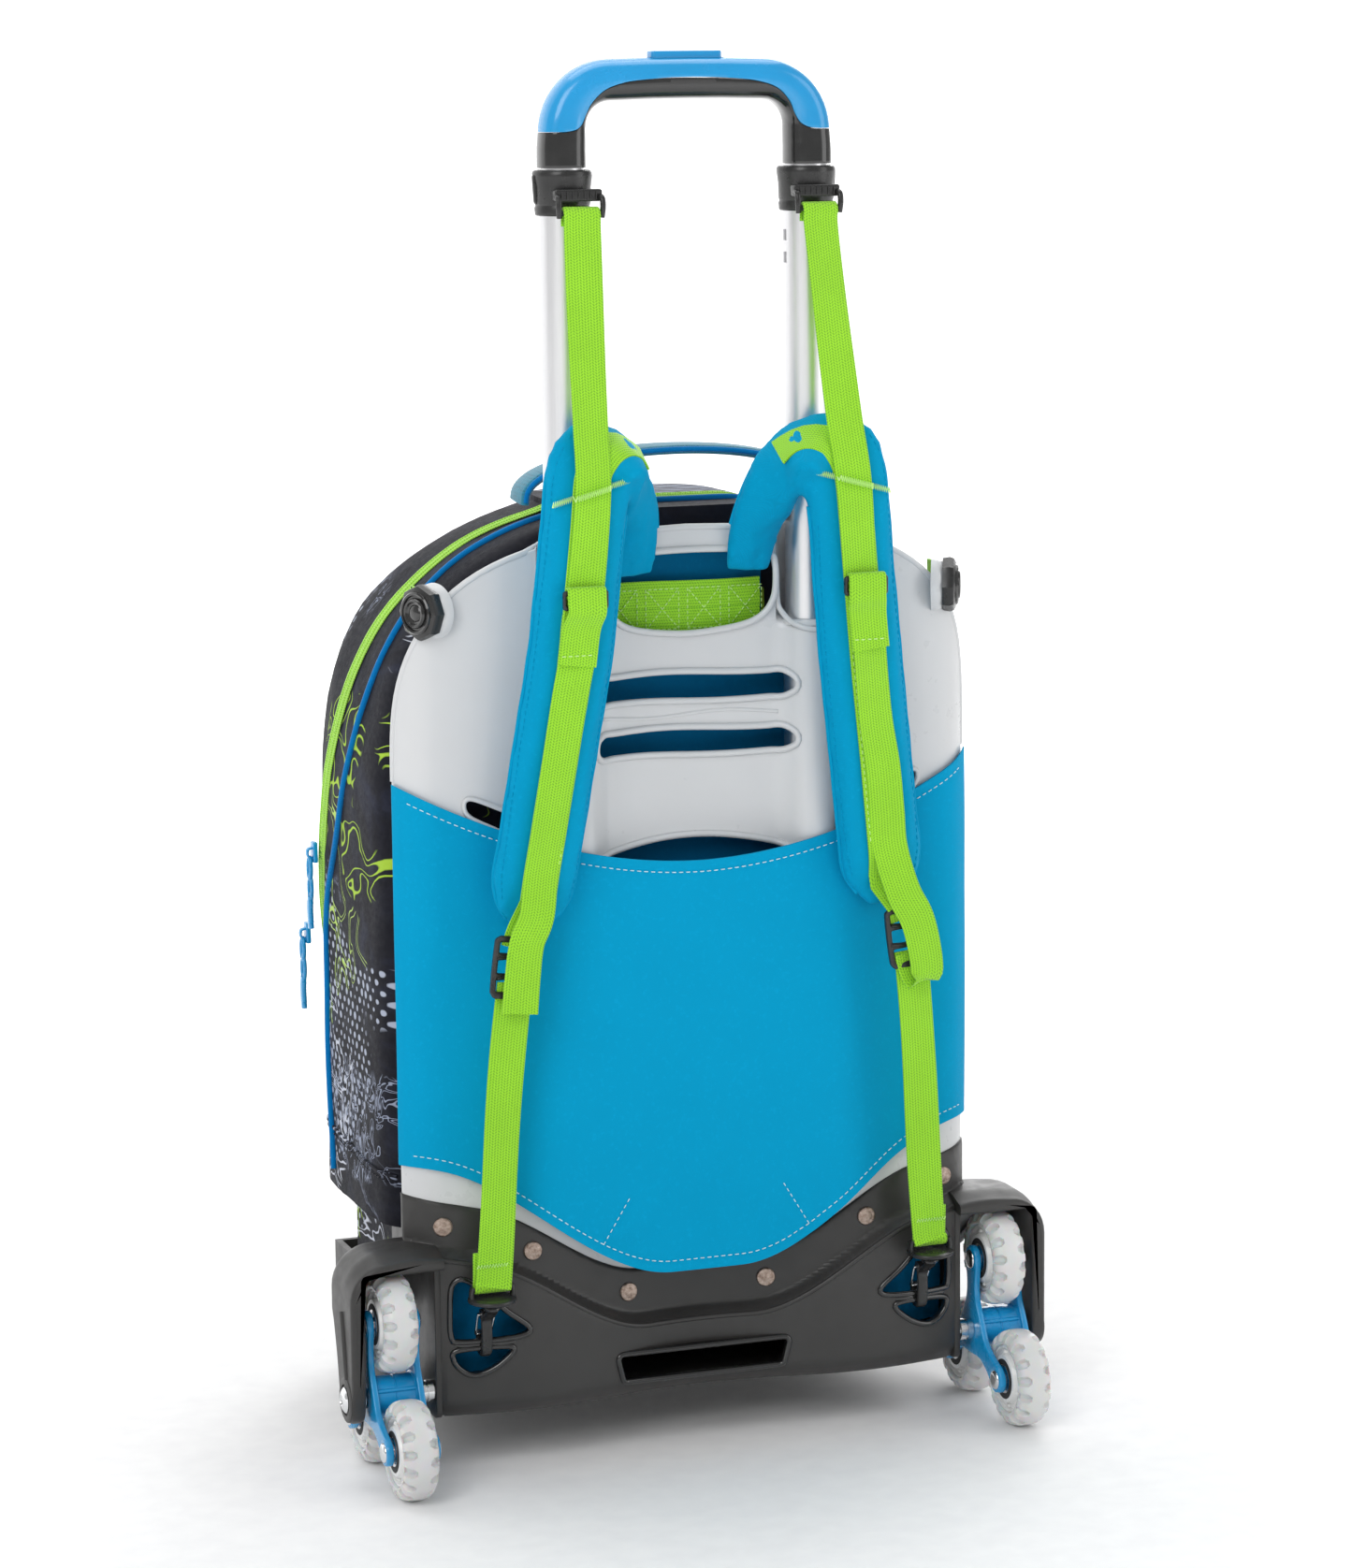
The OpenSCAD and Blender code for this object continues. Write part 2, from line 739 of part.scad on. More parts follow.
module zip_sliders() {
    color("dodgerblue") for (z = pull_z)
        translate([-bag_half - zip_t - 0.82, zip_y(z) - 4, z - 1]) {
            cube([0.8, 8, 12]);
            translate([-4, 0, 3.5]) cube([4, 8, 1.6]);
        }
}

module zip_pull_upper() { color("dodgerblue") zip_pull(pull_z[0]); }
module zip_pull_lower() { color("dodgerblue") zip_pull(pull_z[1]); }

// ---------------------------------------------------------------- telescopic handle
module at_tubes() {
    both_sides() translate([tube_x, tube_y, 0]) children();
}

module mid_tubes() {
    low = socket_z - mid_insert;
    color("silver") at_tubes() difference() {
        tube(mid_r, tube_wall, low, collar_top - 3);
        for (z = [collar_top - 52, collar_top - 40])
            translate([-mid_r - 2, -2.5, z]) cube([6, 5, 6]);
    }
}

module tube_collars() {
    color("black") at_tubes() difference() {
        union() {
            translate([0, 0, collar_top - collar_h]) cylinder(r = collar_r - 1, h = collar_h - 8);
            translate([0, 0, collar_top - 9]) cylinder(r1 = collar_r - 1, r2 = collar_r, h = 9);
        }
        translate([0, 0, collar_top - collar_h - 1]) cylinder(r = mid_r + 0.02, h = collar_h - 2);
        translate([0, 0, collar_top - 10]) cylinder(r = upper_r + run_gap, h = 20);
    }
}

module strap_clips() {
    color("black") both_sides() translate([tube_x - 2, clip_y, clip_z]) {
        translate([-web_w / 2 - 3, -1, 6]) cube([web_w + 6, 7, 7]);
        for (s = [-1, 1]) translate([s * (web_w / 2 + 1.8) - 1.2, -5, -4]) cube([2.4, 5.5, 13]);
        x_rod(1.6, -web_w / 2 - 1, web_w / 2 + 1, -3, 0);
    }
}

module upper_webbings() {
    p = pad_at(fold_z - 15);
    front = axle_y + p[1] - p[4] / 2 - web_layer - seat_gap - web_t / 2;
    color("yellowgreen") both_sides() {
        strip([tube_x - 2, clip_y - 3 - 1.6 - seat_gap - web_t, clip_z + 1],
              [p[0] - 1, front - 0.4, fold_z - 15]);
        web_on_pad([fold_z - 14, fold_z - 22.5, keeper_high, fold_z - 102, keeper_low],
                   web_layer + seat_gap);
    }
}

module upper_tubes() {
    color("silver") at_tubes() tube(upper_r, tube_wall - 0.1, upper_low, collar_top + 12);
}

grip_half = tube_x + 13;
grip_in = tube_x - 12;
grip_corner = 34;
grip_bar = 22;
module grip_outline() {
    z0 = collar_top + 1;
    top = grip_top;
    w = grip_half;
    c = grip_corner;
    difference() {
        union() {
            for (s = [-1, 1]) translate([s * (w - c), top - c]) circle(c);
            translate([-w + c, z0]) square([2 * (w - c), top - z0]);
            translate([-w, z0]) square([2 * w, top - c - z0]);
        }
        translate([-w, z0 - 60]) square([2 * w, 60]);
        for (s = [-1, 1]) translate([s * (grip_in - 16), grip_top - grip_bar - 16]) circle(16);
        translate([-grip_in + 16, z0 - 1]) square([2 * grip_in - 32, grip_top - grip_bar - z0 + 1]);
        translate([-grip_in, z0 - 1]) square([2 * grip_in, grip_top - grip_bar - 16 - z0 + 1]);
    }
}

// The cover sits over the upper half of the grip: the split line curves down at each leg
module cover_region(gap) {
    difference() {
        translate([-200, grip_top - 36 + gap]) square([400, 60]);
        for (s = [-1, 1]) translate([s * (grip_in - 22), grip_top - grip_bar - 12]) circle(27 + gap);
        translate([-grip_in + 22, grip_top - 60]) square([2 * grip_in - 44, 60 - grip_bar + 15 + gap]);
    }
}

module grip_core() {
    color("black") difference() {
        front_cut(tube_y - grip_d / 2, tube_y + grip_d / 2) difference() {
            grip_outline();
            cover_region(0);
        }
        at_tubes() translate([0, 0, collar_top - 5]) cylinder(r = upper_r + 0.02, h = 17.5);
    }
}

button_w = 40;
button_travel = 3;
module grip_cover() {
    color("dodgerblue") difference() {
        front_cut(tube_y - grip_d / 2, tube_y + grip_d / 2) intersection() {
            grip_outline();
            cover_region(seat_gap);
        }
        translate([-button_w / 2 - seat_gap, tube_y - 5 - seat_gap, grip_top - 5])
            cube([button_w + 2 * seat_gap, 10 + 2 * seat_gap, 20]);
    }
}

module push_button() {
    color("dodgerblue")
        translate([-button_w / 2, tube_y - 5, grip_top - 5 + button_travel + 0.5])
            cube([button_w, 10, 2 + button_travel]);
}

module release_rods() {
    color("silver") at_tubes() translate([0, 0, upper_low + 10])
        cylinder(r = 2.5, h = collar_top - upper_low - 2);
}

// ---------------------------------------------------------------- wheel clusters
module cluster_plate() {
    linear_extrude(plate_t) for (a = wheel_angles) rotate(a) {
        translate([cluster_r, 0]) circle(7);
        polygon([[0, -13], [14, -10.5], [cluster_r - 8, -6.6], [cluster_r, -7],
                 [cluster_r, 7], [cluster_r - 8, 6.6], [14, 10.5], [0, 13]]);
    }
}

module at_cluster() {
    translate([cluster_x, axle_y, axle_z]) children();
}

// Clusters are drawn in the YZ plane: the plate's own X becomes Y and its Y becomes Z
module cluster() {
    at_cluster() rotate([90, 0, 90]) difference() {
        union() {
            for (z = [-plate_out, plate_in]) translate([0, 0, z]) cluster_plate();
            translate([0, 0, -plate_out]) cylinder(r = hub_r, h = 2 * plate_out);
            translate([0, 0, -plate_out]) cylinder(r = 12.8, h = plate_t);
            translate([0, 0, plate_in]) cylinder(r = 12.8, h = plate_t);
        }
        translate([0, 0, -50]) cylinder(r = pin_r + run_gap, h = 100);
        for (a = wheel_angles)
            rotate(a) translate([cluster_r, 0, -50]) cylinder(r = pin_r + 0.02, h = 100);
    }
}

module axle_rivets() {
    at_cluster() rotate([90, 0, 90]) for (a = wheel_angles) rotate(a) translate([cluster_r, 0, 0]) {
        translate([0, 0, -plate_out - head_t]) cylinder(r = pin_r, h = 2 * (plate_out + head_t));
        for (z = [-plate_out - head_t, plate_out + 0.02])
            translate([0, 0, z]) cylinder(r = 5.5, h = head_t - 0.02);
    }
}

module cluster_left() { color("dodgerblue") mirror([1, 0, 0]) cluster(); }
module cluster_right() { color("dodgerblue") cluster(); }
module axle_rivets_left() { color("silver") mirror([1, 0, 0]) axle_rivets(); }
module axle_rivets_right() { color("silver") axle_rivets(); }

// Pivot bolts: head outside the arm, nut inside the base's side wall, spacers beside the cluster
module main_axles() {
    color("silver") both_sides() {
        x_rod(pin_r, wall_in - base_wall - 3, arm_in + arm_t + 1, axle_y, axle_z);
        x_rod(7, arm_in + arm_t + 0.02, arm_in + arm_t + axle_head_t, axle_y, axle_z);
        x_rod(nut_r, wall_in - base_wall - 5, wall_in - base_wall - 0.02, axle_y, axle_z);
        x_rod(6, wall_in + 0.02, cluster_x - plate_out - seat_gap, axle_y, axle_z);
        x_rod(6, cluster_x + plate_out + seat_gap, arm_in - 0.02, axle_y, axle_z);
    }
}

core_r = 18.5;
module at_wheel(k) {
    at_cluster() rotate([90, 0, 90]) rotate(wheel_angles[k]) translate([cluster_r, 0, 0]) children();
}

module tyre(k) {
    w = wheel_w / 2;
    color("whitesmoke") at_wheel(k) rotate_extrude($fn = 64)
        intersection() {
            polygon([[core_r, -w + 2], [core_r + 2.5, -w], [wheel_r - 4, -w + 0.6],
                     [wheel_r + 1, -w + 3], [wheel_r + 1, w - 3], [wheel_r - 4, w - 0.6],
                     [core_r + 2.5, w], [core_r, w - 2]]);
            translate([wheel_r - 14, 0]) circle(14, $fn = 64);
        }
}

module core(k) {
    w = wheel_w / 2;
    color("white") at_wheel(k) difference() {
        union() {
            translate([0, 0, -w + 2.2]) cylinder(r = core_r - 0.02, h = wheel_w - 4.4);
            translate([0, 0, -w]) cylinder(r = 11.5, h = wheel_w);
        }
        translate([0, 0, -50]) cylinder(r = pin_r + run_gap, h = 100);
    }
}

module tyre_left_top() { mirror([1, 0, 0]) tyre(0); }
module tyre_left_rear() { mirror([1, 0, 0]) tyre(1); }
module tyre_left_front() { mirror([1, 0, 0]) tyre(2); }
module tyre_right_top() { tyre(0); }
module tyre_right_rear() { tyre(1); }
module tyre_right_front() { tyre(2); }
module core_left_top() { mirror([1, 0, 0]) core(0); }
module core_left_rear() { mirror([1, 0, 0]) core(1); }
module core_left_front() { mirror([1, 0, 0]) core(2); }
module core_right_top() { core(0); }
module core_right_rear() { core(1); }
module core_right_front() { core(2); }

back_panel();
base_shell();
base_tray();
base_rivets();
front_feet();
outer_tubes();
bag_body();
front_pocket();
back_lining();
main_zipper();
pocket_zipper();
side_piping();
carry_handle();
lumbar_sleeve();
harness_band();
shoulder_pad_left();
shoulder_pad_right();
pad_webbings();
strap_sliders();
tail_webbings();
ladder_locks();
lower_webbings();
hook_swivels();
snap_hook_left();
snap_hook_right();
hook_gate_left();
hook_gate_right();
corner_knobs();
side_tabs();
main_axles();
zip_sliders();
zip_pull_upper();
zip_pull_lower();
mid_tubes();
tube_collars();
strap_clips();
upper_webbings();
upper_tubes();
grip_core();
grip_cover();
push_button();
release_rods();
cluster_left();
cluster_right();
axle_rivets_left();
axle_rivets_right();
tyre_left_top();
tyre_left_rear();
tyre_left_front();
tyre_right_top();
tyre_right_rear();
tyre_right_front();
core_left_top();
core_left_rear();
core_left_front();
core_right_top();
core_right_rear();
core_right_front();
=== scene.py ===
"""Looks for a wheeled school backpack on a trolley frame, built round its CAD frame."""
import bpy
import bmesh
import math
import random
from mathutils import Vector, Matrix, noise
from mathutils.bvhtree import BVHTree


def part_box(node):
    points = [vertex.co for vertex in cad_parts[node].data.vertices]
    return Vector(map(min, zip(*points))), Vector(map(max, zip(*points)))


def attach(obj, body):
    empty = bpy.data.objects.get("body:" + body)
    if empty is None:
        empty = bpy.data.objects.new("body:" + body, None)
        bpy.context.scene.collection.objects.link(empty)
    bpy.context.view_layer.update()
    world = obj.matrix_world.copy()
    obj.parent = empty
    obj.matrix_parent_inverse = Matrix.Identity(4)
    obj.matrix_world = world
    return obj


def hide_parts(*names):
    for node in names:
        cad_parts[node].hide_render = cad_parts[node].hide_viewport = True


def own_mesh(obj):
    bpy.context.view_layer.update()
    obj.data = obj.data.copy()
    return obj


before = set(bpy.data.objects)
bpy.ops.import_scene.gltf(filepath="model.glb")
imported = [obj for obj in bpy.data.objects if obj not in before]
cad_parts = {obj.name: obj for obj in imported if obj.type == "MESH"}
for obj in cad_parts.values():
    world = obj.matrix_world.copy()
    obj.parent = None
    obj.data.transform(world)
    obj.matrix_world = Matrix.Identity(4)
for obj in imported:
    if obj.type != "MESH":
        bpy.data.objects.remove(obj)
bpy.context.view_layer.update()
random.seed(7)
MM = 0.001
scene = bpy.context.scene


# ------------------------------------------------------------------ sizes, from the CAD frame
def box_mm(node):
    low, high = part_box(node)
    return [v * 1000 for v in low], [v * 1000 for v in high]


def radius(node, axis=1):
    low, high = box_mm(node)
    return (high[axis] - low[axis]) / 2


def centre_mm(node):
    low, high = box_mm(node)
    return [(a + b) / 2 for a, b in zip(low, high)]


AXLE_Y, AXLE_Z = centre_mm("main_axles")[1:]
CLUSTER_X = centre_mm("tyre_right_top")[0]
WHEEL_R = radius("tyre_right_top", 2)
WHEEL_W = 2 * radius("tyre_right_top", 0)
WHEELS = {k: centre_mm("tyre_right_" + k)[1:] for k in ("top", "rear", "front")}
CLUSTER_R = WHEELS["top"][1] - AXLE_Z
BASE_LOW, BASE_HIGH = box_mm("base_shell")
BASE_BOTTOM = BASE_LOW[2]
FENDER_W = 38.0
HALF_W = BASE_HIGH[0] - FENDER_W
PANEL_TOP = box_mm("back_panel")[1][2]
BAG_LOW, BAG_HIGH = box_mm("bag_body")
BAG_HALF = BAG_HIGH[0]
BAG_BACK, BAG_FRONT, BAG_TOP = BAG_LOW[1], BAG_HIGH[1], BAG_HIGH[2]
TUBE_LOW, TUBE_HIGH = box_mm("outer_tubes")
OUTER_R = radius("outer_tubes")
TUBE_X = TUBE_HIGH[0] - OUTER_R
TUBE_Y = (TUBE_LOW[1] + TUBE_HIGH[1]) / 2
SOCKET_Z = TUBE_HIGH[2] + 1
MID_R = radius("mid_tubes")
COLLAR_TOP = box_mm("tube_collars")[1][2]
COLLAR_R = radius("tube_collars")
UPPER_R = radius("upper_tubes")
GRIP_TOP = box_mm("grip_cover")[1][2]
GRIP_D = 2 * radius("grip_cover")
BASE_TOP = PANEL_TOP - 409.0


def smooth_step(t):
    t = min(1.0, max(0.0, t))
    return t * t * (3 - 2 * t)


def face(x):
    """Plan curve of the moulded back."""
    x = abs(x)
    edge = HALF_W - 19
    wrap = 0 if x < edge else 14 * ((x - edge) / (HALF_W - edge)) ** 2
    return AXLE_Y + 4 + 6 * math.cos(math.pi * min(x, 0.91 * HALF_W) / (0.6 * HALF_W)) + wrap


def base_edge(x):
    x = abs(x)
    return BASE_TOP + 46 * smooth_step((x - 30) / (0.64 * HALF_W)) + 0.2 * max(0, x - 0.79 * HALF_W)


def sleeve_top_edge(x):
    return PANEL_TOP - 179 + 47 * (abs(x) / HALF_W) ** 1.9


def sleeve_low_edge(x):
    return BASE_TOP + 2 + 67 * smooth_step((abs(x) - 20) / (0.85 * HALF_W))


def arch_x(z, w, low, high, n, p):
    t = min(1.0, max(0.0, (z - low) / (high - low)))
    return w * (1 - t ** n) ** p


def panel_half(z):
    return arch_x(z, HALF_W, PANEL_TOP - 130, PANEL_TOP, 3.2, 0.33)


def zip_y(z):
    return AXLE_Y + 184 - 0.39 * (z - 244)


# ------------------------------------------------------------------ mesh helpers (all in millimetres)
def link(name, me, mat, angle=38):
    ob = bpy.data.objects.new(name, me)
    scene.collection.objects.link(ob)
    if mat is not None:
        me.materials.clear()
        me.materials.append(mat)
    me.polygons.foreach_set("use_smooth", [True] * len(me.polygons))
    me.set_sharp_from_angle(angle=math.radians(angle))
    return ob


def make(name, verts, faces, mat, uvs=None, angle=38):
    me = bpy.data.meshes.new(name)
    me.from_pydata([(v[0] * MM, v[1] * MM, v[2] * MM) for v in verts], [], faces)
    if uvs is not None:
        layer = me.uv_layers.new(name="UVMap")
        for loop in me.loops:
            layer.data[loop.index].uv = uvs[loop.vertex_index]
    me.validate()
    me.update()
    return link(name, me, mat, angle)


def spline(points, n):
    """n + 1 points evenly spread on a smooth curve through the given ones."""
    pts = [Vector(p) for p in points]
    ext = [pts[0] * 2 - pts[1]] + pts + [pts[-1] * 2 - pts[-2]]
    fine = []
    for i in range(1, len(ext) - 2):
        a, b, c, d = ext[i - 1], ext[i], ext[i + 1], ext[i + 2]
        fine += [curve_point(a, b, c, d, k / 24) for k in range(24)]
    fine.append(pts[-1])
    return resample(fine, n)


def curve_point(a, b, c, d, t):
    """Point between b and c on the smooth curve through four points."""
    return 0.5 * ((2 * b) + (c - a) * t + (2 * a - 5 * b + 4 * c - d) * t * t
                  + (3 * b - a - 3 * c + d) * t ** 3)


def tangents(path):
    last = len(path) - 1
    return [(path[min(i + 1, last)] - path[max(i - 1, 0)]).normalized() for i in range(last + 1)]


def soften(path, times):
    """Evens out a path without moving its ends."""
    for _ in range(times):
        path = [path[0]] + [(a + b * 2 + c) / 4 for a, b, c in zip(path, path[1:], path[2:])] + [path[-1]]
    return path


def quads(rows, count, start=0, wrap=True):
    """Faces between neighbouring rows of points; each row is a ring unless wrap is off."""
    out = []
    for i in range(rows - 1):
        a = start + i * count
        b = a + count
        for k in range(count if wrap else count - 1):
            kk = (k + 1) % count
            out.append((a + k, a + kk, b + kk, b + k))
    return out


def two_layers(nx, nz):
    """Faces of two layers of (nx + 1) x (nz + 1) points, turned away from each other."""
    w = nz + 1
    m = (nx + 1) * w
    out = []
    for i in range(nx):
        for j in range(nz):
            a = i * w + j
            out.append((a, a + w, a + w + 1, a + 1))
            out.append((m + a, m + a + 1, m + a + w + 1, m + a + w))
    return out


def resample(fine, n):
    length = [0.0]
    for a, b in zip(fine, fine[1:]):
        length.append(length[-1] + (b - a).length)
    out, j = [], 0
    for i in range(n + 1):
        s = length[-1] * i / n
        while j < len(fine) - 2 and length[j + 1] < s:
            j += 1
        span = length[j + 1] - length[j] or 1
        out.append(fine[j].lerp(fine[j + 1], (s - length[j]) / span))
    return out


def frames(path, side=None, closed=False):
    """Tangent, side and normal at every point; side is a fixed direction or is carried along."""
    out = []
    n = len(path)
    prev = None
    for i, p in enumerate(path):
        if closed:
            t = path[(i + 1) % n] - path[i - 1]
        else:
            t = path[min(i + 1, n - 1)] - path[max(i - 1, 0)]
        t = t.normalized()
        if side is not None:
            s = side[i] if isinstance(side, list) else Vector(side)
        elif prev is None:
            s = Vector((1, 0, 0)) if abs(t.x) < 0.8 else Vector((0, 0, 1))
        else:
            s = prev
        s = (s - t * s.dot(t)).normalized()
        prev = s
        out.append((t, s, t.cross(s)))
    return out


def sweep(name, path, section, mat, side=None, closed=False, scale=None, caps=True, angle=38, sag=None):
    """A closed section of (side, normal) offsets carried along a path, with UVs in metres."""
    fr = frames(path, side, closed)
    m = len(section)
    verts, uvs, faces = [], [], []
    around = [0.0]
    for a, b in zip(section, section[1:]):
        around.append(around[-1] + math.dist(a, b))
    run = 0.0
    for i, p in enumerate(path):
        if i:
            run += (path[i] - path[i - 1]).length
        t, s, nrm = fr[i]
        k = scale[i] if scale else (1, 1)
        for j, (u, v) in enumerate(section):
            q = p + s * (u * k[0]) + nrm * (v * k[1])
            if sag:
                q = q + sag(i, j, run)
            verts.append(q)
            uvs.append(((u * MM), (run * MM)))
    n = len(path)
    for i in range(n if closed else n - 1):
        a, b = i * m, ((i + 1) % n) * m
        for j in range(m):
            jj = (j + 1) % m
            faces.append((a + j, a + jj, b + jj, b + j))
    if caps and not closed:
        faces.append(tuple(range(m - 1, -1, -1)))
        faces.append(tuple((n - 1) * m + j for j in range(m)))
    ob = make(name, verts, faces, mat, uvs, angle)
    fix_normals(ob)
    return ob


def fix_normals(ob):
    bm = bmesh.new()
    bm.from_mesh(ob.data)
    bmesh.ops.recalc_face_normals(bm, faces=bm.faces)
    bm.to_mesh(ob.data)
    bm.free()


def round_section(w, t, r=None, n=4, crown=0.0):
    """Rounded rectangle, with its broad faces crowned by the given amount."""
    r = min(w, t) / 2 * 0.98 if r is None else r
    out = []
    for cx, cy, a0 in ((w / 2 - r, t / 2 - r, 0), (-w / 2 + r, t / 2 - r, 90),
                       (-w / 2 + r, -t / 2 + r, 180), (w / 2 - r, -t / 2 + r, 270)):
        for k in range(n + 1):
            a = math.radians(a0 + 90 * k / n)
            out.append((cx + r * math.cos(a), cy + r * math.sin(a)))
        if a0 in (0, 180):
            steps = max(2, int(w / 4))
            for k in range(1, steps):
                f = k / steps
                x = (w / 2 - r) * (1 - 2 * f)
                y = t / 2 + crown * math.sin(math.pi * f)
                out.append((x, y) if a0 == 0 else (-x, -y))
    return out


def rod(name, path, r, mat, n=10, closed=False, side=None):
    sec = [(r * math.cos(2 * math.pi * k / n), r * math.sin(2 * math.pi * k / n)) for k in range(n)]
    return sweep(name, path, sec, mat, side=side, closed=closed, angle=60)


def ribbon(name, path, mat, width=20.0, thick=1.5, side=(1, 0, 0), caps=True, scale=None, sag=None):
    return sweep(name, path, round_section(width, thick, n=3), mat, side=side, caps=caps,
                 scale=scale, sag=sag)


def cross_rod(name, x, y, z, half, r, mat, n, sag=0.0):
    """Short rod across X, with its middle a little further forward."""
    return rod(name, [Vector((x + d, y - (0 if d else sag), z)) for d in (-half, 0, half)], r, mat, n)


def turn(name, profile, centre, axis, mat, n=64, angle=35):
    """Surface of revolution: profile of (radius, height) pairs along an axis."""
    axis = Vector(axis).normalized()
    side = Vector((0, 0, 1)) if abs(axis.z) < 0.9 else Vector((1, 0, 0))
    side = (side - axis * side.dot(axis)).normalized()
    up = axis.cross(side)
    c = Vector(centre)
    verts = []
    for r, h in profile:
        for k in range(n):
            a = 2 * math.pi * k / n
            verts.append(c + axis * h + (side * math.cos(a) + up * math.sin(a)) * r)
    faces = quads(len(profile), n)
    faces.append(tuple(range(n - 1, -1, -1)))
    faces.append(tuple((len(profile) - 1) * n + k for k in range(n)))
    ob = make(name, verts, faces, mat, None, angle)
    fix_normals(ob)
    return ob


def plate(name, loops, thick, mat, bevel=0.6, res=2, angle=38):
    """Flat plate from closed outlines (the first is the outside), in its own XY plane, centred on Z = 0."""
    cu = bpy.data.curves.new(name, "CURVE")
    cu.dimensions = "2D"
    cu.fill_mode = "BOTH"
    cu.extrude = (thick / 2 - bevel) * MM
    cu.bevel_depth = bevel * MM
    cu.bevel_resolution = res
    cu.offset = -bevel * MM
    for loop in loops:
        sp = cu.splines.new("POLY")
        sp.points.add(len(loop) - 1)
        for p, (x, y) in zip(sp.points, loop):
            p.co = (x * MM, y * MM, 0, 1)
        sp.use_cyclic_u = True
    tmp = bpy.data.objects.new(name + "_curve", cu)
    scene.collection.objects.link(tmp)
    bpy.context.view_layer.update()
    me = bpy.data.meshes.new_from_object(tmp.evaluated_get(bpy.context.evaluated_depsgraph_get()))
    bpy.data.objects.remove(tmp)
    bpy.data.curves.remove(cu)
    me.name = name
    bm = bmesh.new()
    bm.from_mesh(me)
    bmesh.ops.remove_doubles(bm, verts=bm.verts, dist=1e-6)
    bm.to_mesh(me)
    bm.free()
    return link(name, me, mat, angle)


def place(ob, matrix):
    ob.data.transform(matrix)
    ob.data.update()


def shift(ob, x, y, z):
    place(ob, Matrix.Translation((x * MM, y * MM, z * MM)))


def flip_x(ob):
    """Mirrors a piece to the other side."""
    ob.data.transform(Matrix.Scale(-1, 4, (1, 0, 0)))
    ob.data.flip_normals()


def to_front(ob, y=0.0):
    """Own XY plane to the XZ plane of the object, facing the harness side."""
    place(ob, Matrix(((1, 0, 0, 0), (0, 0, -1, y * MM), (0, 1, 0, 0), (0, 0, 0, 1))))


def to_side(ob, x=0.0):
    """Own XY plane to the YZ plane."""
    place(ob, Matrix(((0, 0, 1, x * MM), (1, 0, 0, 0), (0, 1, 0, 0), (0, 0, 0, 1))))


def slice_up(ob, xs=(), zs=()):
    bm = bmesh.new()
    bm.from_mesh(ob.data)
    for axis, values in ((0, xs), (2, zs)):
        for v in values:
            co, no = [0, 0, 0], [0, 0, 0]
            co[axis], no[axis] = v * MM, 1
            geom = bm.verts[:] + bm.edges[:] + bm.faces[:]
            bmesh.ops.bisect_plane(bm, geom=geom, dist=1e-7, plane_co=co, plane_no=no)
    bm.to_mesh(ob.data)
    bm.free()


def bend(ob, fn):
    """Moves every vertex by fn(x, y, z) in millimetres."""
    for v in ob.data.vertices:
        p = v.co * 1000
        v.co = Vector(fn(p.x, p.y, p.z)) * MM
    ob.data.update()


def resharp(ob, angle=38):
    ob.data.polygons.foreach_set("use_smooth", [True] * len(ob.data.polygons))
    ob.data.set_sharp_from_angle(angle=math.radians(angle))


def join(name, obs):
    """One mesh from several, keeping each one's material."""
    bm = bmesh.new()
    mats = []
    for ob in obs:
        for m in ob.data.materials:
            if m not in mats:
                mats.append(m)
    me = bpy.data.meshes.new(name)
    for m in mats:
        me.materials.append(m)
    for ob in obs:
        part = ob.data
        index = [mats.index(m) for m in part.materials]
        start = len(bm.faces)
        bm.from_mesh(part)
        bm.faces.ensure_lookup_table()
        for f in bm.faces[start:]:
            f.material_index = index[min(f.material_index, len(index) - 1)]
    bm.to_mesh(me)
    bm.free()
    for ob in obs:
        old = ob.data
        bpy.data.objects.remove(ob)
        bpy.data.meshes.remove(old)
    ob = bpy.data.objects.new(name, me)
    scene.collection.objects.link(ob)
    return ob


def stitches(name, path, mat, length=2.6, gap=1.5, r=0.32, lift=None):
    """Short thread capsules along a path."""
    total = sum((b - a).length for a, b in zip(path, path[1:]))
    n = max(2, int(total / (length + gap)))
    fine = resample(path, n * 2)
    verts, faces = [], []
    ring = 6
    for i in range(0, len(fine) - 1, 2):
        a, b = fine[i], fine[i + 1]
        mid = (a + b) / 2
        t = (b - a).normalized()
        up = lift(mid) if lift else Vector((0, -1, 0))
        s = t.cross(up).normalized()
        u = s.cross(t).normalized()
        h = length / 2
        base = len(verts)
        for d, k in ((-h, 0.35), (-h * 0.7, 1), (h * 0.7, 1), (h, 0.35)):
            drop = -0.25 * abs(d / h) ** 3
            for j in range(ring):
                q = 2 * math.pi * j / ring
                verts.append(mid + t * d + (s * math.cos(q) + u * math.sin(q)) * (r * k)
                             + u * (drop + r * 0.6))
        for i2 in range(3):
            for j in range(ring):
                jj = (j + 1) % ring
                faces.append((base + i2 * ring + j, base + i2 * ring + jj,
                              base + (i2 + 1) * ring + jj, base + (i2 + 1) * ring + j))
        faces.append(tuple(base + j for j in range(ring - 1, -1, -1)))
        faces.append(tuple(base + 3 * ring + j for j in range(ring)))
    return make(name, verts, faces, mat, None, 60)


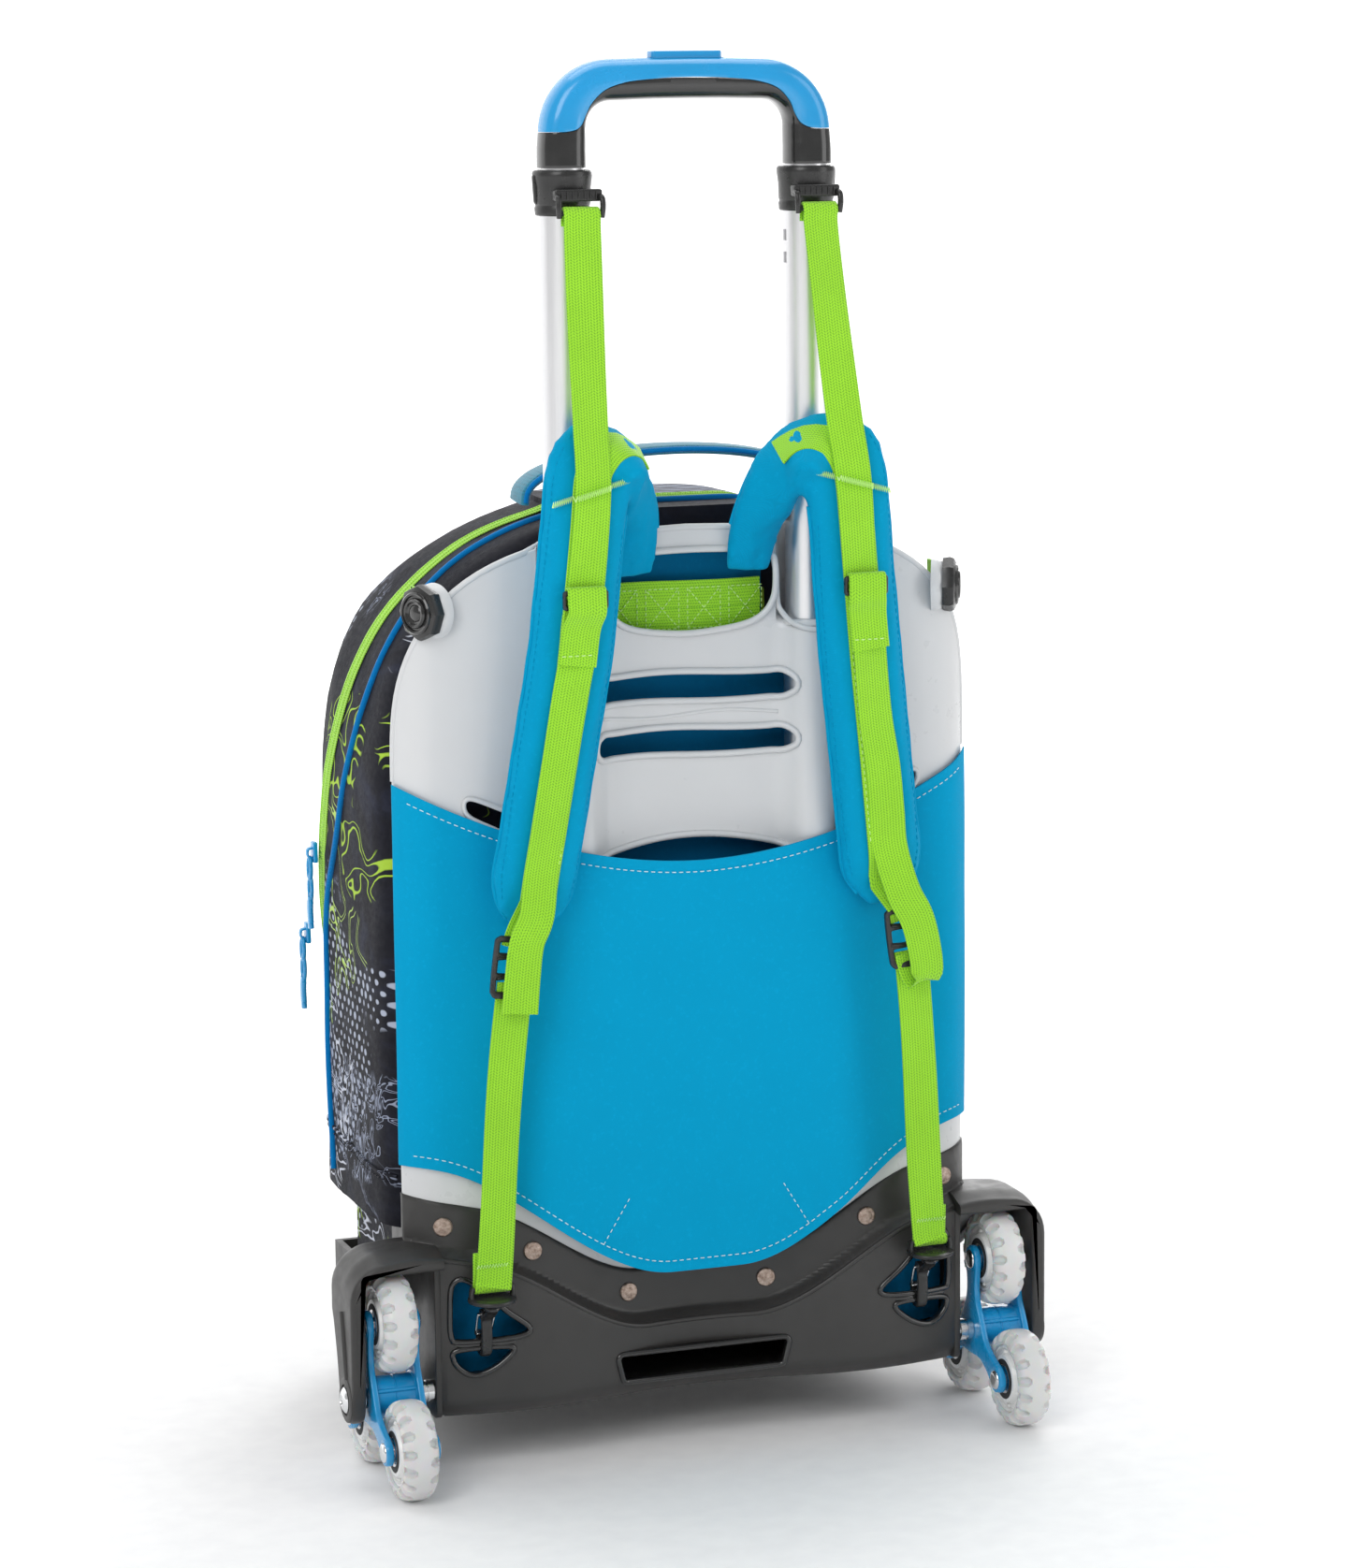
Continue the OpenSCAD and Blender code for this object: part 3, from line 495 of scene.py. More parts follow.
def rounded_loop(points, r, n=6):
    """Closed outline with every corner rounded; r is one radius or one for each corner."""
    out = []
    m = len(points)
    for i, p in enumerate(points):
        rr = r[i] if isinstance(r, (list, tuple)) else r
        p = Vector(p)
        a = (Vector(points[i - 1]) - p)
        b = (Vector(points[(i + 1) % m]) - p)
        if rr <= 0:
            out.append(tuple(p))
            continue
        half = a.angle(b) / 2
        d = min(rr / max(math.tan(half), 1e-3), a.length * 0.49, b.length * 0.49)
        p0, p1 = p + a.normalized() * d, p + b.normalized() * d
        for k in range(n + 1):
            t = k / n
            q = p0 * (1 - t) ** 2 + p * 2 * t * (1 - t) + p1 * t * t
            out.append((q.x, q.y))
    return out


def smooth_loop(points, n=96):
    """Smooth closed outline through the points."""
    pts = [Vector((p[0], p[1], 0)) for p in points]
    m = len(pts)
    fine = []
    for i in range(m):
        a, b, c, d = pts[i - 1], pts[i], pts[(i + 1) % m], pts[(i + 2) % m]
        fine += [curve_point(a, b, c, d, k / 16) for k in range(16)]
    fine.append(fine[0].copy())
    return [(p.x, p.y) for p in resample(fine, n)[:-1]]


def modify(ob, kind, **values):
    mod = ob.modifiers.new(kind.lower(), kind)
    for k, v in values.items():
        setattr(mod, k, v)
    return mod


def apply_all(ob):
    bpy.context.view_layer.update()
    me = bpy.data.meshes.new_from_object(ob.evaluated_get(bpy.context.evaluated_depsgraph_get()))
    ob.modifiers.clear()
    old = ob.data
    ob.data = me
    me.name = old.name
    bpy.data.meshes.remove(old)


# ------------------------------------------------------------------ materials
class Mat:
    """Small builder for procedural node materials."""

    def __init__(self, name):
        self.mat = bpy.data.materials.new(name)
        self.mat.use_nodes = True
        self.tree = self.mat.node_tree
        self.tree.nodes.clear()
        self.out = self.add("ShaderNodeOutputMaterial")
        self.bsdf = self.add("ShaderNodeBsdfPrincipled")
        self.tree.links.new(self.bsdf.outputs[0], self.out.inputs[0])
        self.coord = self.add("ShaderNodeTexCoord")

    def add(self, kind, **values):
        node = self.tree.nodes.new(kind)
        for k, v in values.items():
            setattr(node, k, v)
        return node

    def put(self, socket, value):
        if isinstance(value, (int, float, tuple, list)):
            socket.default_value = value
        elif value is not None:
            self.tree.links.new(value, socket)

    def obj(self):
        return self.coord.outputs["Object"]

    def uv(self):
        return self.coord.outputs["UV"]

    def noise(self, scale, detail=4, rough=0.55, vec=None, distort=0.0):
        n = self.add("ShaderNodeTexNoise")
        self.put(n.inputs["Vector"], vec if vec is not None else self.obj())
        n.inputs["Scale"].default_value = scale
        n.inputs["Detail"].default_value = detail
        n.inputs["Roughness"].default_value = rough
        n.inputs["Distortion"].default_value = distort
        return n.outputs["Fac"]

    def voronoi(self, scale, feature="F1", vec=None, randomness=1.0):
        n = self.add("ShaderNodeTexVoronoi", feature=feature)
        self.put(n.inputs["Vector"], vec if vec is not None else self.obj())
        n.inputs["Scale"].default_value = scale
        n.inputs["Randomness"].default_value = randomness
        return n.outputs["Distance"]

    def math(self, op, a, b=0.0, c=None, clamp=False):
        n = self.add("ShaderNodeMath", operation=op, use_clamp=clamp)
        self.put(n.inputs[0], a)
        self.put(n.inputs[1], b)
        if c is not None:
            self.put(n.inputs[2], c)
        return n.outputs[0]

    def range(self, v, a, b, c=0.0, d=1.0, kind="LINEAR"):
        n = self.add("ShaderNodeMapRange", interpolation_type=kind)
        self.put(n.inputs["Value"], v)
        for key, x in (("From Min", a), ("From Max", b), ("To Min", c), ("To Max", d)):
            self.put(n.inputs[key], x)
        return n.outputs["Result"]

    def mix(self, fac, a, b, blend="MIX"):
        n = self.add("ShaderNodeMix", data_type="RGBA", blend_type=blend)
        self.put(n.inputs["Factor"], fac)
        for sock, v in ((n.inputs[6], a), (n.inputs[7], b)):
            if isinstance(v, (tuple, list)):
                sock.default_value = (v[0], v[1], v[2], 1)
            else:
                self.put(sock, v)
        return n.outputs[2]

    def split(self, vec):
        n = self.add("ShaderNodeSeparateXYZ")
        self.put(n.inputs[0], vec)
        return n.outputs

    def join(self, x, y, z=0.0):
        n = self.add("ShaderNodeCombineXYZ")
        for s, v in zip(n.inputs, (x, y, z)):
            self.put(s, v)
        return n.outputs[0]

    def bump(self, height, distance, strength=1.0, normal=None):
        n = self.add("ShaderNodeBump")
        self.put(n.inputs["Height"], height)
        n.inputs["Distance"].default_value = distance
        n.inputs["Strength"].default_value = strength
        if normal is not None:
            self.put(n.inputs["Normal"], normal)
        return n.outputs[0]

    def shade(self, **values):
        for k, v in values.items():
            key = {"base": "Base Color", "metal": "Metallic", "rough": "Roughness", "normal": "Normal",
                   "spec": "Specular IOR Level", "coat": "Coat Weight", "coat_rough": "Coat Roughness",
                   "sheen": "Sheen Weight", "sheen_rough": "Sheen Roughness", "trans": "Transmission Weight",
                   "sss": "Subsurface Weight", "sss_scale": "Subsurface Scale", "ior": "IOR",
                   "aniso": "Anisotropic", "sheen_tint": "Sheen Tint", "glow": "Emission Strength",
                   "glow_color": "Emission Color"}[k]
            sock = self.bsdf.inputs[key]
            if k in ("base", "sheen_tint", "glow_color") and isinstance(v, (tuple, list)):
                v = (v[0], v[1], v[2], 1)
            self.put(sock, v)
        return self.mat


def moulded(name, color, rough=0.35, vary=0.06, grain=900, grain_depth=0.00003, coat=0.0, spec=0.5,
            wear=0.05):
    m = Mat(name)
    cloud = m.noise(9, 4)
    fine = m.noise(120, 3)
    dark = [c * (1 - vary) for c in color]
    light = [min(1, c * (1 + vary)) for c in color]
    base = m.mix(m.range(cloud, 0.3, 0.7), dark, light)
    r = m.math("ADD", m.range(fine, 0.3, 0.7, rough - wear, rough + wear),
               m.range(cloud, 0.3, 0.7, -wear, wear))
    n1 = m.bump(m.noise(grain, 2, 0.6), grain_depth, 0.5)
    n2 = m.bump(m.noise(28, 2), 0.0003, 0.12, n1)
    return m.shade(base=base, rough=r, normal=n2, coat=coat, coat_rough=0.08, spec=spec)


def metal(name, color, rough=0.25, brushed=None, vary=0.05, scratches=0.03):
    m = Mat(name)
    vec = m.obj()
    if brushed is not None:
        x, y, z = m.split(vec)
        f = [14, 14, 14]
        f[brushed] = 0.35
        vec = m.join(m.math("MULTIPLY", x, f[0]), m.math("MULTIPLY", y, f[1]), m.math("MULTIPLY", z, f[2]))
        streak = m.noise(60, 4, 0.7, vec)
    else:
        streak = m.noise(140, 4, 0.7)
    cloud = m.noise(16, 3)
    base = m.mix(m.range(streak, 0.3, 0.7), [c * (1 - vary) for c in color], color)
    r = m.math("ADD", m.range(streak, 0.25, 0.75, rough - scratches, rough + scratches),
               m.range(cloud, 0.3, 0.7, -0.03, 0.05))
    return m.shade(base=base, metal=1.0, rough=r, normal=m.bump(streak, 0.00002, 0.4))


def woven(name, color, pitch=0.55, dark=0.7, rough=0.72, sheen=0.25, big=0.06, depth=0.00012):
    """Plain-weave cloth: over and under threads on two object axes."""
    m = Mat(name)
    x, y, z = m.split(m.obj())
    k = 2 * math.pi / (pitch * MM)
    a = m.math("SINE", m.math("MULTIPLY", m.math("ADD", x, m.math("MULTIPLY", y, 0.9)), k))
    b = m.math("SINE", m.math("MULTIPLY", m.math("ADD", z, m.math("MULTIPLY", y, 0.35)), k))
    weave = m.math("MULTIPLY", a, b)
    h = m.range(weave, -1, 1)
    cloud = m.noise(22, 5, 0.6)
    slub = m.noise(420, 3, 0.6)
    lo = [c * dark for c in color]
    base = m.mix(m.math("MULTIPLY", h, 1.0), lo, color)
    base = m.mix(m.range(cloud, 0.25, 0.75, 0, 0.35 + big), base, [c * (1 - 3 * big) for c in color])
    base = m.mix(m.range(slub, 0.55, 0.75, 0, 0.22), base, [min(1, c * 1.25 + 0.01) for c in color])
    n = m.bump(h, depth, 0.5)
    n = m.bump(slub, 0.00015, 0.25, n)
    n = m.bump(cloud, 0.0012, 0.25, n)
    return m.shade(base=base, rough=m.range(slub, 0.3, 0.7, rough - 0.06, rough + 0.08), normal=n,
                   sheen=sheen, sheen_rough=0.4, spec=0.06)


def webbing(name, color, ridge=1.6, depth=0.0004):
    """Ribbed narrow webbing on UVs that are in metres: ribs along it, with a zigzag of small pits. Painted
    shade darkens the grooves between the ribs; the pits are darkened partly as the webbing's own dot pattern
    and partly as painted shade.
    """
    m = Mat(name)
    u, v, _ = m.split(m.uv())
    ku = 2 * math.pi / (ridge * MM)
    kv = 2 * math.pi / (1.5 * MM)
    tri = m.math("PINGPONG", m.math("MULTIPLY", u, 1000.0), 2.4)
    diag = m.math("ADD", m.math("MULTIPLY", v, kv), m.math("MULTIPLY", tri, 2 * math.pi / 1.5 * 0.62))
    rib = m.range(m.math("SINE", m.math("MULTIPLY", u, ku)), -1, 1)
    rows = m.range(m.math("SINE", diag), -1, 1)
    pit = m.math("MULTIPLY", m.math("POWER", rows, 3.0), m.math("SUBTRACT", 1.0, m.math("POWER", rib, 2.0)))
    cloud = m.noise(40, 4)
    fuzz = m.noise(900, 2)
    base = m.mix(m.range(cloud, 0.3, 0.7), [c * 0.93 for c in color], color)
    # painted shade: darker colour in the grooves between the ribs
    base = m.mix(m.range(rib, 0.0, 0.45, 0.42, 0.0), base, [color[0] * 0.5, color[1] * 0.62, color[2] * 0.5])
    # darker pits: partly the webbing's own dark dot pattern, partly painted shade in the pits
    base = m.mix(m.math("MULTIPLY", pit, 0.9), base, [color[0] * 0.25, color[1] * 0.4, color[2] * 0.4])
    base = m.mix(m.range(fuzz, 0.6, 0.8, 0, 0.3), base, [min(1, c * 1.25 + 0.03) for c in color])
    h = m.math("SUBTRACT", m.math("MULTIPLY", rib, 0.5), m.math("MULTIPLY", pit, 0.8))
    n = m.bump(h, depth, 0.55)
    n = m.bump(fuzz, 0.0001, 0.3, n)
    return m.shade(base=base, rough=m.range(fuzz, 0.3, 0.7, 0.6, 0.75), normal=n, sheen=0.2, spec=0.25)


def thread(name, color):
    m = Mat(name)
    n = m.noise(1500, 2)
    base = m.mix(m.range(n, 0.3, 0.7), [c * 0.8 for c in color], color)
    return m.shade(base=base, rough=m.range(n, 0.2, 0.8, 0.5, 0.7), normal=m.bump(n, 0.0001, 0.6), sheen=0.2)


def printed(name):
    """Near-black cloth with generic painterly marks: pale strokes, dot fields and lime loops."""
    m = Mat(name)
    x, y, z = m.split(m.obj())
    u = m.math("ADD", x, y)
    warp = m.noise(11, 2)
    flat = m.join(u, z, 0.0)
    navy = (0.0035, 0.004, 0.010)
    slate = (0.018, 0.022, 0.045)
    base = m.mix(m.range(m.noise(17, 5, 0.6, flat, 1.2), 0.45, 0.72, kind="SMOOTHSTEP"), navy, slate)
    # washes of dry brush
    brush_vec = m.join(m.math("ADD", m.math("MULTIPLY", u, 0.25), m.math("MULTIPLY", z, 0.18)),
                       m.math("SUBTRACT", z, m.math("MULTIPLY", u, 0.7)), 3.0)
    brush = m.noise(55, 6, 0.75, brush_vec, 0.4)
    patch = m.range(m.noise(12, 2, 0.5, flat), 0.60, 0.70, kind="SMOOTHSTEP")
    strokes = m.math("MULTIPLY", m.range(brush, 0.56, 0.62), patch)
    base = m.mix(m.math("MULTIPLY", strokes, 0.6), base, (0.22, 0.25, 0.34))
    # fields of pale dots on a staggered grid
    pitch = 0.0086
    gv = m.math("DIVIDE", z, pitch * 0.62)
    row = m.math("FLOOR", gv)
    gu = m.math("ADD", m.math("DIVIDE", u, pitch), m.math("MULTIPLY", m.math("MODULO", row, 2.0), 0.5))
    du = m.math("SUBTRACT", m.math("FRACT", gu), 0.5)
    dv = m.math("MULTIPLY", m.math("SUBTRACT", m.math("FRACT", gv), 0.5), 0.62)
    rr = m.math("SQRT", m.math("ADD", m.math("MULTIPLY", du, du), m.math("MULTIPLY", dv, dv)))
    size = m.range(m.noise(60, 2, 0.5, flat), 0.35, 0.65, 0.10, 0.27)
    dots = m.range(m.math("SUBTRACT", rr, size), -0.03, 0.03, 1.0, 0.0)
    field = m.range(m.noise(9.5, 1, 0.4, m.join(u, z, 7.3), 0.6), 0.60, 0.62)
    dots = m.math("MULTIPLY", dots, field)
    base = m.mix(m.math("MULTIPLY", dots, 0.85), base, (0.50, 0.55, 0.68))

    def loops(seed, scale, width, lo, hi, detail=1.0, stretch=1.0):
        vec = m.join(m.math("MULTIPLY", u, stretch), z, seed)
        f = m.noise(scale, detail, 0.5, vec, 0.9)
        d = m.math("ABSOLUTE", m.math("SUBTRACT", f, 0.5))
        d2 = m.math("ABSOLUTE", m.math("SUBTRACT", f, 0.58))
        line = m.range(m.math("MINIMUM", d, d2), width, width * 1.9, 1.0, 0.0)
        where = m.range(m.noise(9.0, 1, 0.4, m.join(u, z, seed + 4.0)), lo, hi)
        return m.math("MULTIPLY", line, where)

    base = m.mix(loops(2.2, 40, 0.0075, 0.58, 0.60, 1.5, 0.6), base, (0.60, 0.63, 0.72))
    base = m.mix(loops(5.1, 62, 0.008, 0.62, 0.64, 2.0, 1.6), base, (0.30, 0.34, 0.45))
    base = m.mix(loops(9.4, 30, 0.0055, 0.57, 0.58, 1.0, 0.8), base, (0.40, 0.62, 0.05))
    base = m.mix(loops(12.6, 26, 0.005, 0.60, 0.61, 1.0, 1.3), base, (0.50, 0.70, 0.16))
    # weave
    k = 2 * math.pi / 0.0006
    a = m.math("SINE", m.math("MULTIPLY", u, k))
    b = m.math("SINE", m.math("MULTIPLY", m.math("ADD", z, m.math("MULTIPLY", y, 0.3)), k))
    weave = m.range(m.math("MULTIPLY", a, b), -1, 1)
    base = m.mix(m.math("MULTIPLY", weave, 0.22), base, (0.0, 0.0, 0.0))
    n = m.bump(weave, 0.0001, 0.4)
    n = m.bump(warp, 0.003, 0.25, n)
    n = m.bump(m.noise(45, 4), 0.0008, 0.25, n)
    return m.shade(base=base, rough=m.range(m.noise(300, 3), 0.3, 0.7, 0.62, 0.78), normal=n, sheen=0.03,
                   spec=0.18)


def see_through(name, color=(0.86, 0.87, 0.87)):
    m = Mat(name)
    cloud = m.noise(30, 3)
    fine = m.noise(220, 2)
    base = m.mix(m.range(cloud, 0.3, 0.7), [c * 0.9 for c in color], color)
    n = m.bump(fine, 0.00004, 0.3)
    return m.shade(base=base, rough=m.range(fine, 0.3, 0.7, 0.14, 0.24), trans=0.22, ior=1.42,
                   sss=0.45, sss_scale=0.005, normal=n, spec=0.5)


def worn_rivet(name):
    m = Mat(name)
    c = m.noise(420, 5, 0.7)
    base = m.mix(m.range(c, 0.35, 0.65), (0.20, 0.14, 0.11), (0.52, 0.42, 0.36))
    return m.shade(base=base, metal=1.0, rough=m.range(c, 0.3, 0.7, 0.28, 0.5), normal=m.bump(c, 0.0001, 0.5))


def knit(name, color):
    """Loose mesh knit for the carry handle."""
    m = Mat(name)
    cell = m.voronoi(620, "F1", None, 0.35)
    base = m.mix(m.range(cell, 0.1, 0.5), [c * 0.35 for c in color], color)
    base = m.mix(m.range(m.noise(50, 3), 0.3, 0.7, 0, 0.3), base, [c * 1.3 for c in color])
    return m.shade(base=base, rough=0.7, normal=m.bump(cell, 0.0004, 0.6), sheen=0.3)


GREY = moulded("grey_panel", (0.60, 0.61, 0.62), 0.33, 0.03, 700, 0.00002, coat=0.12, wear=0.05)
BASE = moulded("black_base", (0.030, 0.029, 0.028), 0.42, 0.25, 1500, 0.00006, wear=0.06)
GLOSS_BLACK = moulded("gloss_black", (0.012, 0.012, 0.012), 0.16, 0.2, 900, 0.00001, coat=0.5, wear=0.05)
BLACK = moulded("black_plastic", (0.018, 0.018, 0.018), 0.30, 0.25, 1300, 0.00003, wear=0.07)
BLUE = moulded("blue_plastic", (0.004, 0.28, 0.60), 0.22, 0.08, 900, 0.00001, coat=0.4, wear=0.05)
TUBE = metal("tube_metal", (0.74, 0.74, 0.75), 0.32, 2, 0.06, 0.05)
STEEL = metal("steel", (0.78, 0.79, 0.80), 0.16, None, 0.10, 0.05)
RIVET = worn_rivet("rivet_metal")
CLOTH = woven("blue_fabric", (0.0, 0.345, 0.62), 0.62, 0.82, sheen=0.02)
PADCLOTH = woven("pad_fabric", (0.0, 0.335, 0.60), 0.62, 0.80, sheen=0.02, big=0.08)
LINING = woven("lining_fabric", (0.0, 0.16, 0.36), 0.8, 0.55, sheen=0.05)
LIME = webbing("lime_webbing", (0.33, 0.72, 0.025))
LIME_EDGE = webbing("lime_zip", (0.42, 0.78, 0.08), 0.9)
PIPING = woven("blue_piping", (0.0, 0.20, 0.55), 0.5, 0.6)
PRINT = printed("printed_fabric")
CLEAR = see_through("clear_tyre")
WHITE = moulded("white_core", (0.80, 0.80, 0.79), 0.25, 0.04, 800, 0.00001, coat=0.3)
RUBBER = moulded("rubber_feet", (0.02, 0.02, 0.02), 0.7, 0.3, 1200, 0.0001)
PALE_THREAD = thread("pale_thread", (0.62, 0.86, 0.92))
LIME_THREAD = thread("lime_thread", (0.62, 0.95, 0.30))
TEAL_KNIT = knit("teal_knit", (0.0, 0.17, 0.26))
DARK_TAPE = woven("dark_tape", (0.008, 0.01, 0.02), 0.8, 0.5)


# ------------------------------------------------------------------ moulded back panel
HUMP_R = OUTER_R + 2.9
GROOVE_R = COLLAR_R + 0.8


def panel_y(x, z):
    """Front surface of the panel: plan curve, with humps over the tubes and grooves above their sockets."""
    y = face(x)
    dx = abs(abs(x) - TUBE_X)
    hump_end = smooth_step((SOCKET_Z + 2 - z) / 7) * smooth_step((z - (BASE_TOP + 49)) / 16)
    r = HUMP_R + 5
    if dx < r and hump_end > 0:
        k = smooth_step(1 - (dx - HUMP_R * 0.55) / (r - HUMP_R * 0.55))
        crest = TUBE_Y - math.sqrt(max(0, HUMP_R ** 2 - min(dx, HUMP_R * 0.8) ** 2))
        y = y + (min(crest, y) - y) * k * hump_end
    groove = smooth_step((z - SOCKET_Z + 1) / 5)
    rg = GROOVE_R + 4
    if dx < rg and groove > 0:
        deep = TUBE_Y + math.sqrt(max(0, GROOVE_R ** 2 - min(dx, GROOVE_R * 0.999) ** 2))
        k = smooth_step(1 - (dx - GROOVE_R) / (rg - GROOVE_R))
        y = y + (max(deep, y) - y) * k * groove
    return y


def wave(x0, x1, z, lift, n=14):
    return [(x0 + (x1 - x0) * i / n, z + lift * math.sin(math.pi * (2.0 * i / n - 0.15)) * 0.5)
            for i in range(n + 1)]


def slot_loop(half, low, high, lift):
    top = wave(-half, half, high, lift)
    bottom = wave(half, -half, low, -lift)
    pts = top + [(half + 5.5, (low + high) / 2 + 3), (half + 5.5, (low + high) / 2 - 3)] \
        + bottom + [(-half - 5.5, (low + high) / 2 - 3), (-half - 5.5, (low + high) / 2 + 3)]
    return smooth_loop(pts, 110)


def edge_loop():
    pts = []
    heights = [PANEL_TOP - 130 + 130 * math.sin(math.radians(90 * i / 26)) for i in range(27)]
    right = [(panel_half(z), z) for z in heights if panel_half(z) > 60]
    bottom = [(HALF_W * (1 - 2 * i / 40) * 0.995, base_edge(HALF_W * (1 - 2 * i / 40)) - 20)
              for i in range(41)]
    top = [(60 - 120 * i / 16, PANEL_TOP - 1.6 * abs(60 - 120 * i / 16) / 60) for i in range(17)]
    pts = right + top + [(-x, z) for x, z in reversed(right)]
    return pts + [(-x, z) for x, z in bottom]


def below_top(points, side=1):
    """Outline points given as distances from the middle and below the panel's top."""
    return [(side * x, PANEL_TOP - z) for x, z in points]


hand = [(-44, 15), (-20, 12.5), (20, 12.5), (44, 15), (49, 22), (48.5, 38), (42, 49), (28, 55), (0, 58),
        (-28, 55),
        (-42, 49), (-48.5, 38), (-49, 22)]
lumbar = [(-56, 178), (-30, 171), (0, 168.5), (30, 171), (56, 178), (60, 190), (50, 203), (0, 208),
          (-50, 203), (-60, 190)]
vent = [(86, 160), (98, 152), (113, 144.5), (127, 139), (131, 142), (128, 149), (113, 157), (98, 165),
        (88, 166)]
openings = [smooth_loop(below_top(hand), 120), slot_loop(52, PANEL_TOP - 94.5, PANEL_TOP - 79, 1.8),
            slot_loop(52, PANEL_TOP - 124, PANEL_TOP - 109.5, 1.8), smooth_loop(below_top(lumbar), 90)]
for s in (-1, 1):
    openings.append(smooth_loop(below_top(vent, s), 60))

panel = plate("moulded_panel", [edge_loop()] + openings, 2.6, GREY, 0.8, 2)
to_front(panel)
slice_up(panel, [i * 3.3 for i in range(-49, 50)], [BASE_TOP - 15 + i * 6 for i in range(0, 72)])
bend(panel, lambda x, y, z: (x, panel_y(x, z) + 1.3 + y, z))
# the tubes come out of round mouths at the sockets
for s in (-1, 1):
    bore_r = 13.3 * MID_R / 12.5
    bore = turn("bore", [(0.01, 0), (bore_r, 0), (bore_r, 17), (0.01, 17)],
                (TUBE_X * s, TUBE_Y, SOCKET_Z - 9), (0, 0, 1), GREY, 48)
    modify(panel, "BOOLEAN", operation="DIFFERENCE", object=bore, solver="EXACT")
    apply_all(panel)
    bpy.data.objects.remove(bore)
resharp(panel, 30)


def on_panel(loop, out=0.0):
    return [Vector((x, panel_y(x, z) - out, z)) for x, z in loop]


pieces = [panel]
for i, loop in enumerate(openings):
    pieces.append(rod("rim_%d" % i, on_panel(loop, 0.5), 1.9 if i < 4 else 1.4, GREY, 8, closed=True,
                      side=(0, 1, 0)))
lip = [p for p in edge_loop() if p[1] > sleeve_top_edge(HALF_W) - 3]
pieces.append(rod("rim_edge", [Vector((x * 0.996, panel_y(x, z) + 0.8, z)) for x, z in lip], 1.8, GREY, 8,
                  side=(0, 1, 0)))
for s in (-1, 1):
    u_rim = [(-19, 26), (-17.5, 8), (-12, -1), (0, -4), (12, -1), (17.5, 8), (19, 26)]
    path = spline([(TUBE_X * s + x, 0, SOCKET_Z + z) for x, z in u_rim], 40)
    pieces.append(rod("rim_socket", [Vector((p.x, min(panel_y(p.x, p.z - 5), panel_y(p.x, p.z)) - 0.2, p.z))
                                     for p in path],
                      1.6, GREY, 8, side=(0, 1, 0)))
    # ring that lines the socket's mouth
    pieces.append(turn("socket_ring", [(MID_R + 0.4, 0), (MID_R + 0.4, 2.4), (MID_R + 1.4, 3.0),
                                       (MID_R + 3.4, 2.4), (MID_R + 3.8, 0)],
                       (TUBE_X * s, TUBE_Y, SOCKET_Z - 1.8), (0, 0, 1), GREY, 48))
knob_z = PANEL_TOP - 38
KNOB_AXIS = Vector((math.cos(math.radians(25)), -math.sin(math.radians(25)), 0))
knob_at = Vector((panel_half(knob_z) + 6, AXLE_Y + 4, knob_z))
for s in (-1, 1):
    axis = Vector((KNOB_AXIS.x * s, KNOB_AXIS.y, 0))
    pieces.append(turn("knob_boss", [(7, -9), (15.0, -8.6), (14.6, -6.0), (13.6, -3.6), (12.4, -2.4),
                                     (11.5, -0.4), (3, -0.2)],
                       (knob_at.x * s, knob_at.y, knob_at.z), axis, GREY, 48))
# shallow wavy rib between the two slots
z = PANEL_TOP - 102
pieces.append(rod("rib", [Vector((x, panel_y(x, z) + 0.6, z + 1.2 * math.sin(x / 13)))
                          for x in range(-52, 53, 3)],
                  1.3, GREY, 8, side=(0, 1, 0)))
back = join("moulded_back", pieces)
# above the sockets, points inside the way of the sliding tubes and collars are moved out of it
for v in back.data.vertices:
    p = v.co * 1000
    if p.z > SOCKET_Z - 9:
        c = Vector((math.copysign(TUBE_X, p.x), TUBE_Y, p.z))
        r = (COLLAR_R if p.z > SOCKET_Z + 24 else MID_R) + 0.8
        d = p - c
        if 0.01 < d.length < r:
            v.co = (c + d * (r / d.length)) * MM
back.data.update()
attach(back, "frame")
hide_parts("back_panel")

# ------------------------------------------------------------------ moulded base
PROUD = 11.0
BAR_X = 0.773 * HALF_W
BAR_Z = BASE_BOTTOM + 41
WALL_IN = BASE_HIGH[0] - 48.8
ROOF_Z = AXLE_Z + CLUSTER_R + WHEEL_R + 3.5 + 9
ARCH_R = CLUSTER_R + WHEEL_R + 3.5
ARM_OUT = BASE_HIGH[0]


def base_out(x, z):
    """How far the base stands in front of the plan curve."""
    d = base_edge(x) - z
    step = smooth_step((d - 23.5) / 7)
    out = 2 + (PROUD - 2.0) * step
    under = max(0.0, (BASE_BOTTOM + 11 - z) / 11)
    out -= 6.5 * under * under
    roll = max(0.0, (3.0 - d) / 3.0)
    out -= 0.8 * roll * roll
    return out


def base_y(x, z):
    return face(x) - base_out(x, z)


n = 60
outline = [(HALF_W * (2 * i / n - 1), base_edge(HALF_W * (2 * i / n - 1))) for i in range(n + 1)]
outline += [(HALF_W, base_edge(HALF_W) - 28), (WALL_IN - 1, base_edge(WALL_IN) - 34),
            (WALL_IN - 0.5, BASE_BOTTOM + 6),
            (WALL_IN - 4, BASE_BOTTOM + 0.5)]
outline += [(x, BASE_BOTTOM) for x in range(140, -141, -10)]
outline += [(-WALL_IN + 4, BASE_BOTTOM + 0.5), (-WALL_IN + 0.5, BASE_BOTTOM + 6),
            (-WALL_IN + 1, base_edge(WALL_IN) - 34),
            (-HALF_W, base_edge(HALF_W) - 28)]
slot = rounded_loop([(-47, BASE_BOTTOM + 9), (47, BASE_BOTTOM + 9), (51, BASE_BOTTOM + 25),
                     (-51, BASE_BOTTOM + 25)][::-1], 3.5)
recess_up = [(-25, 7), (-13, 17), (-2, 27), (10, 36.5), (17, 34), (18.5, 20), (18, 5), (13, 2), (-18, 2.8)]
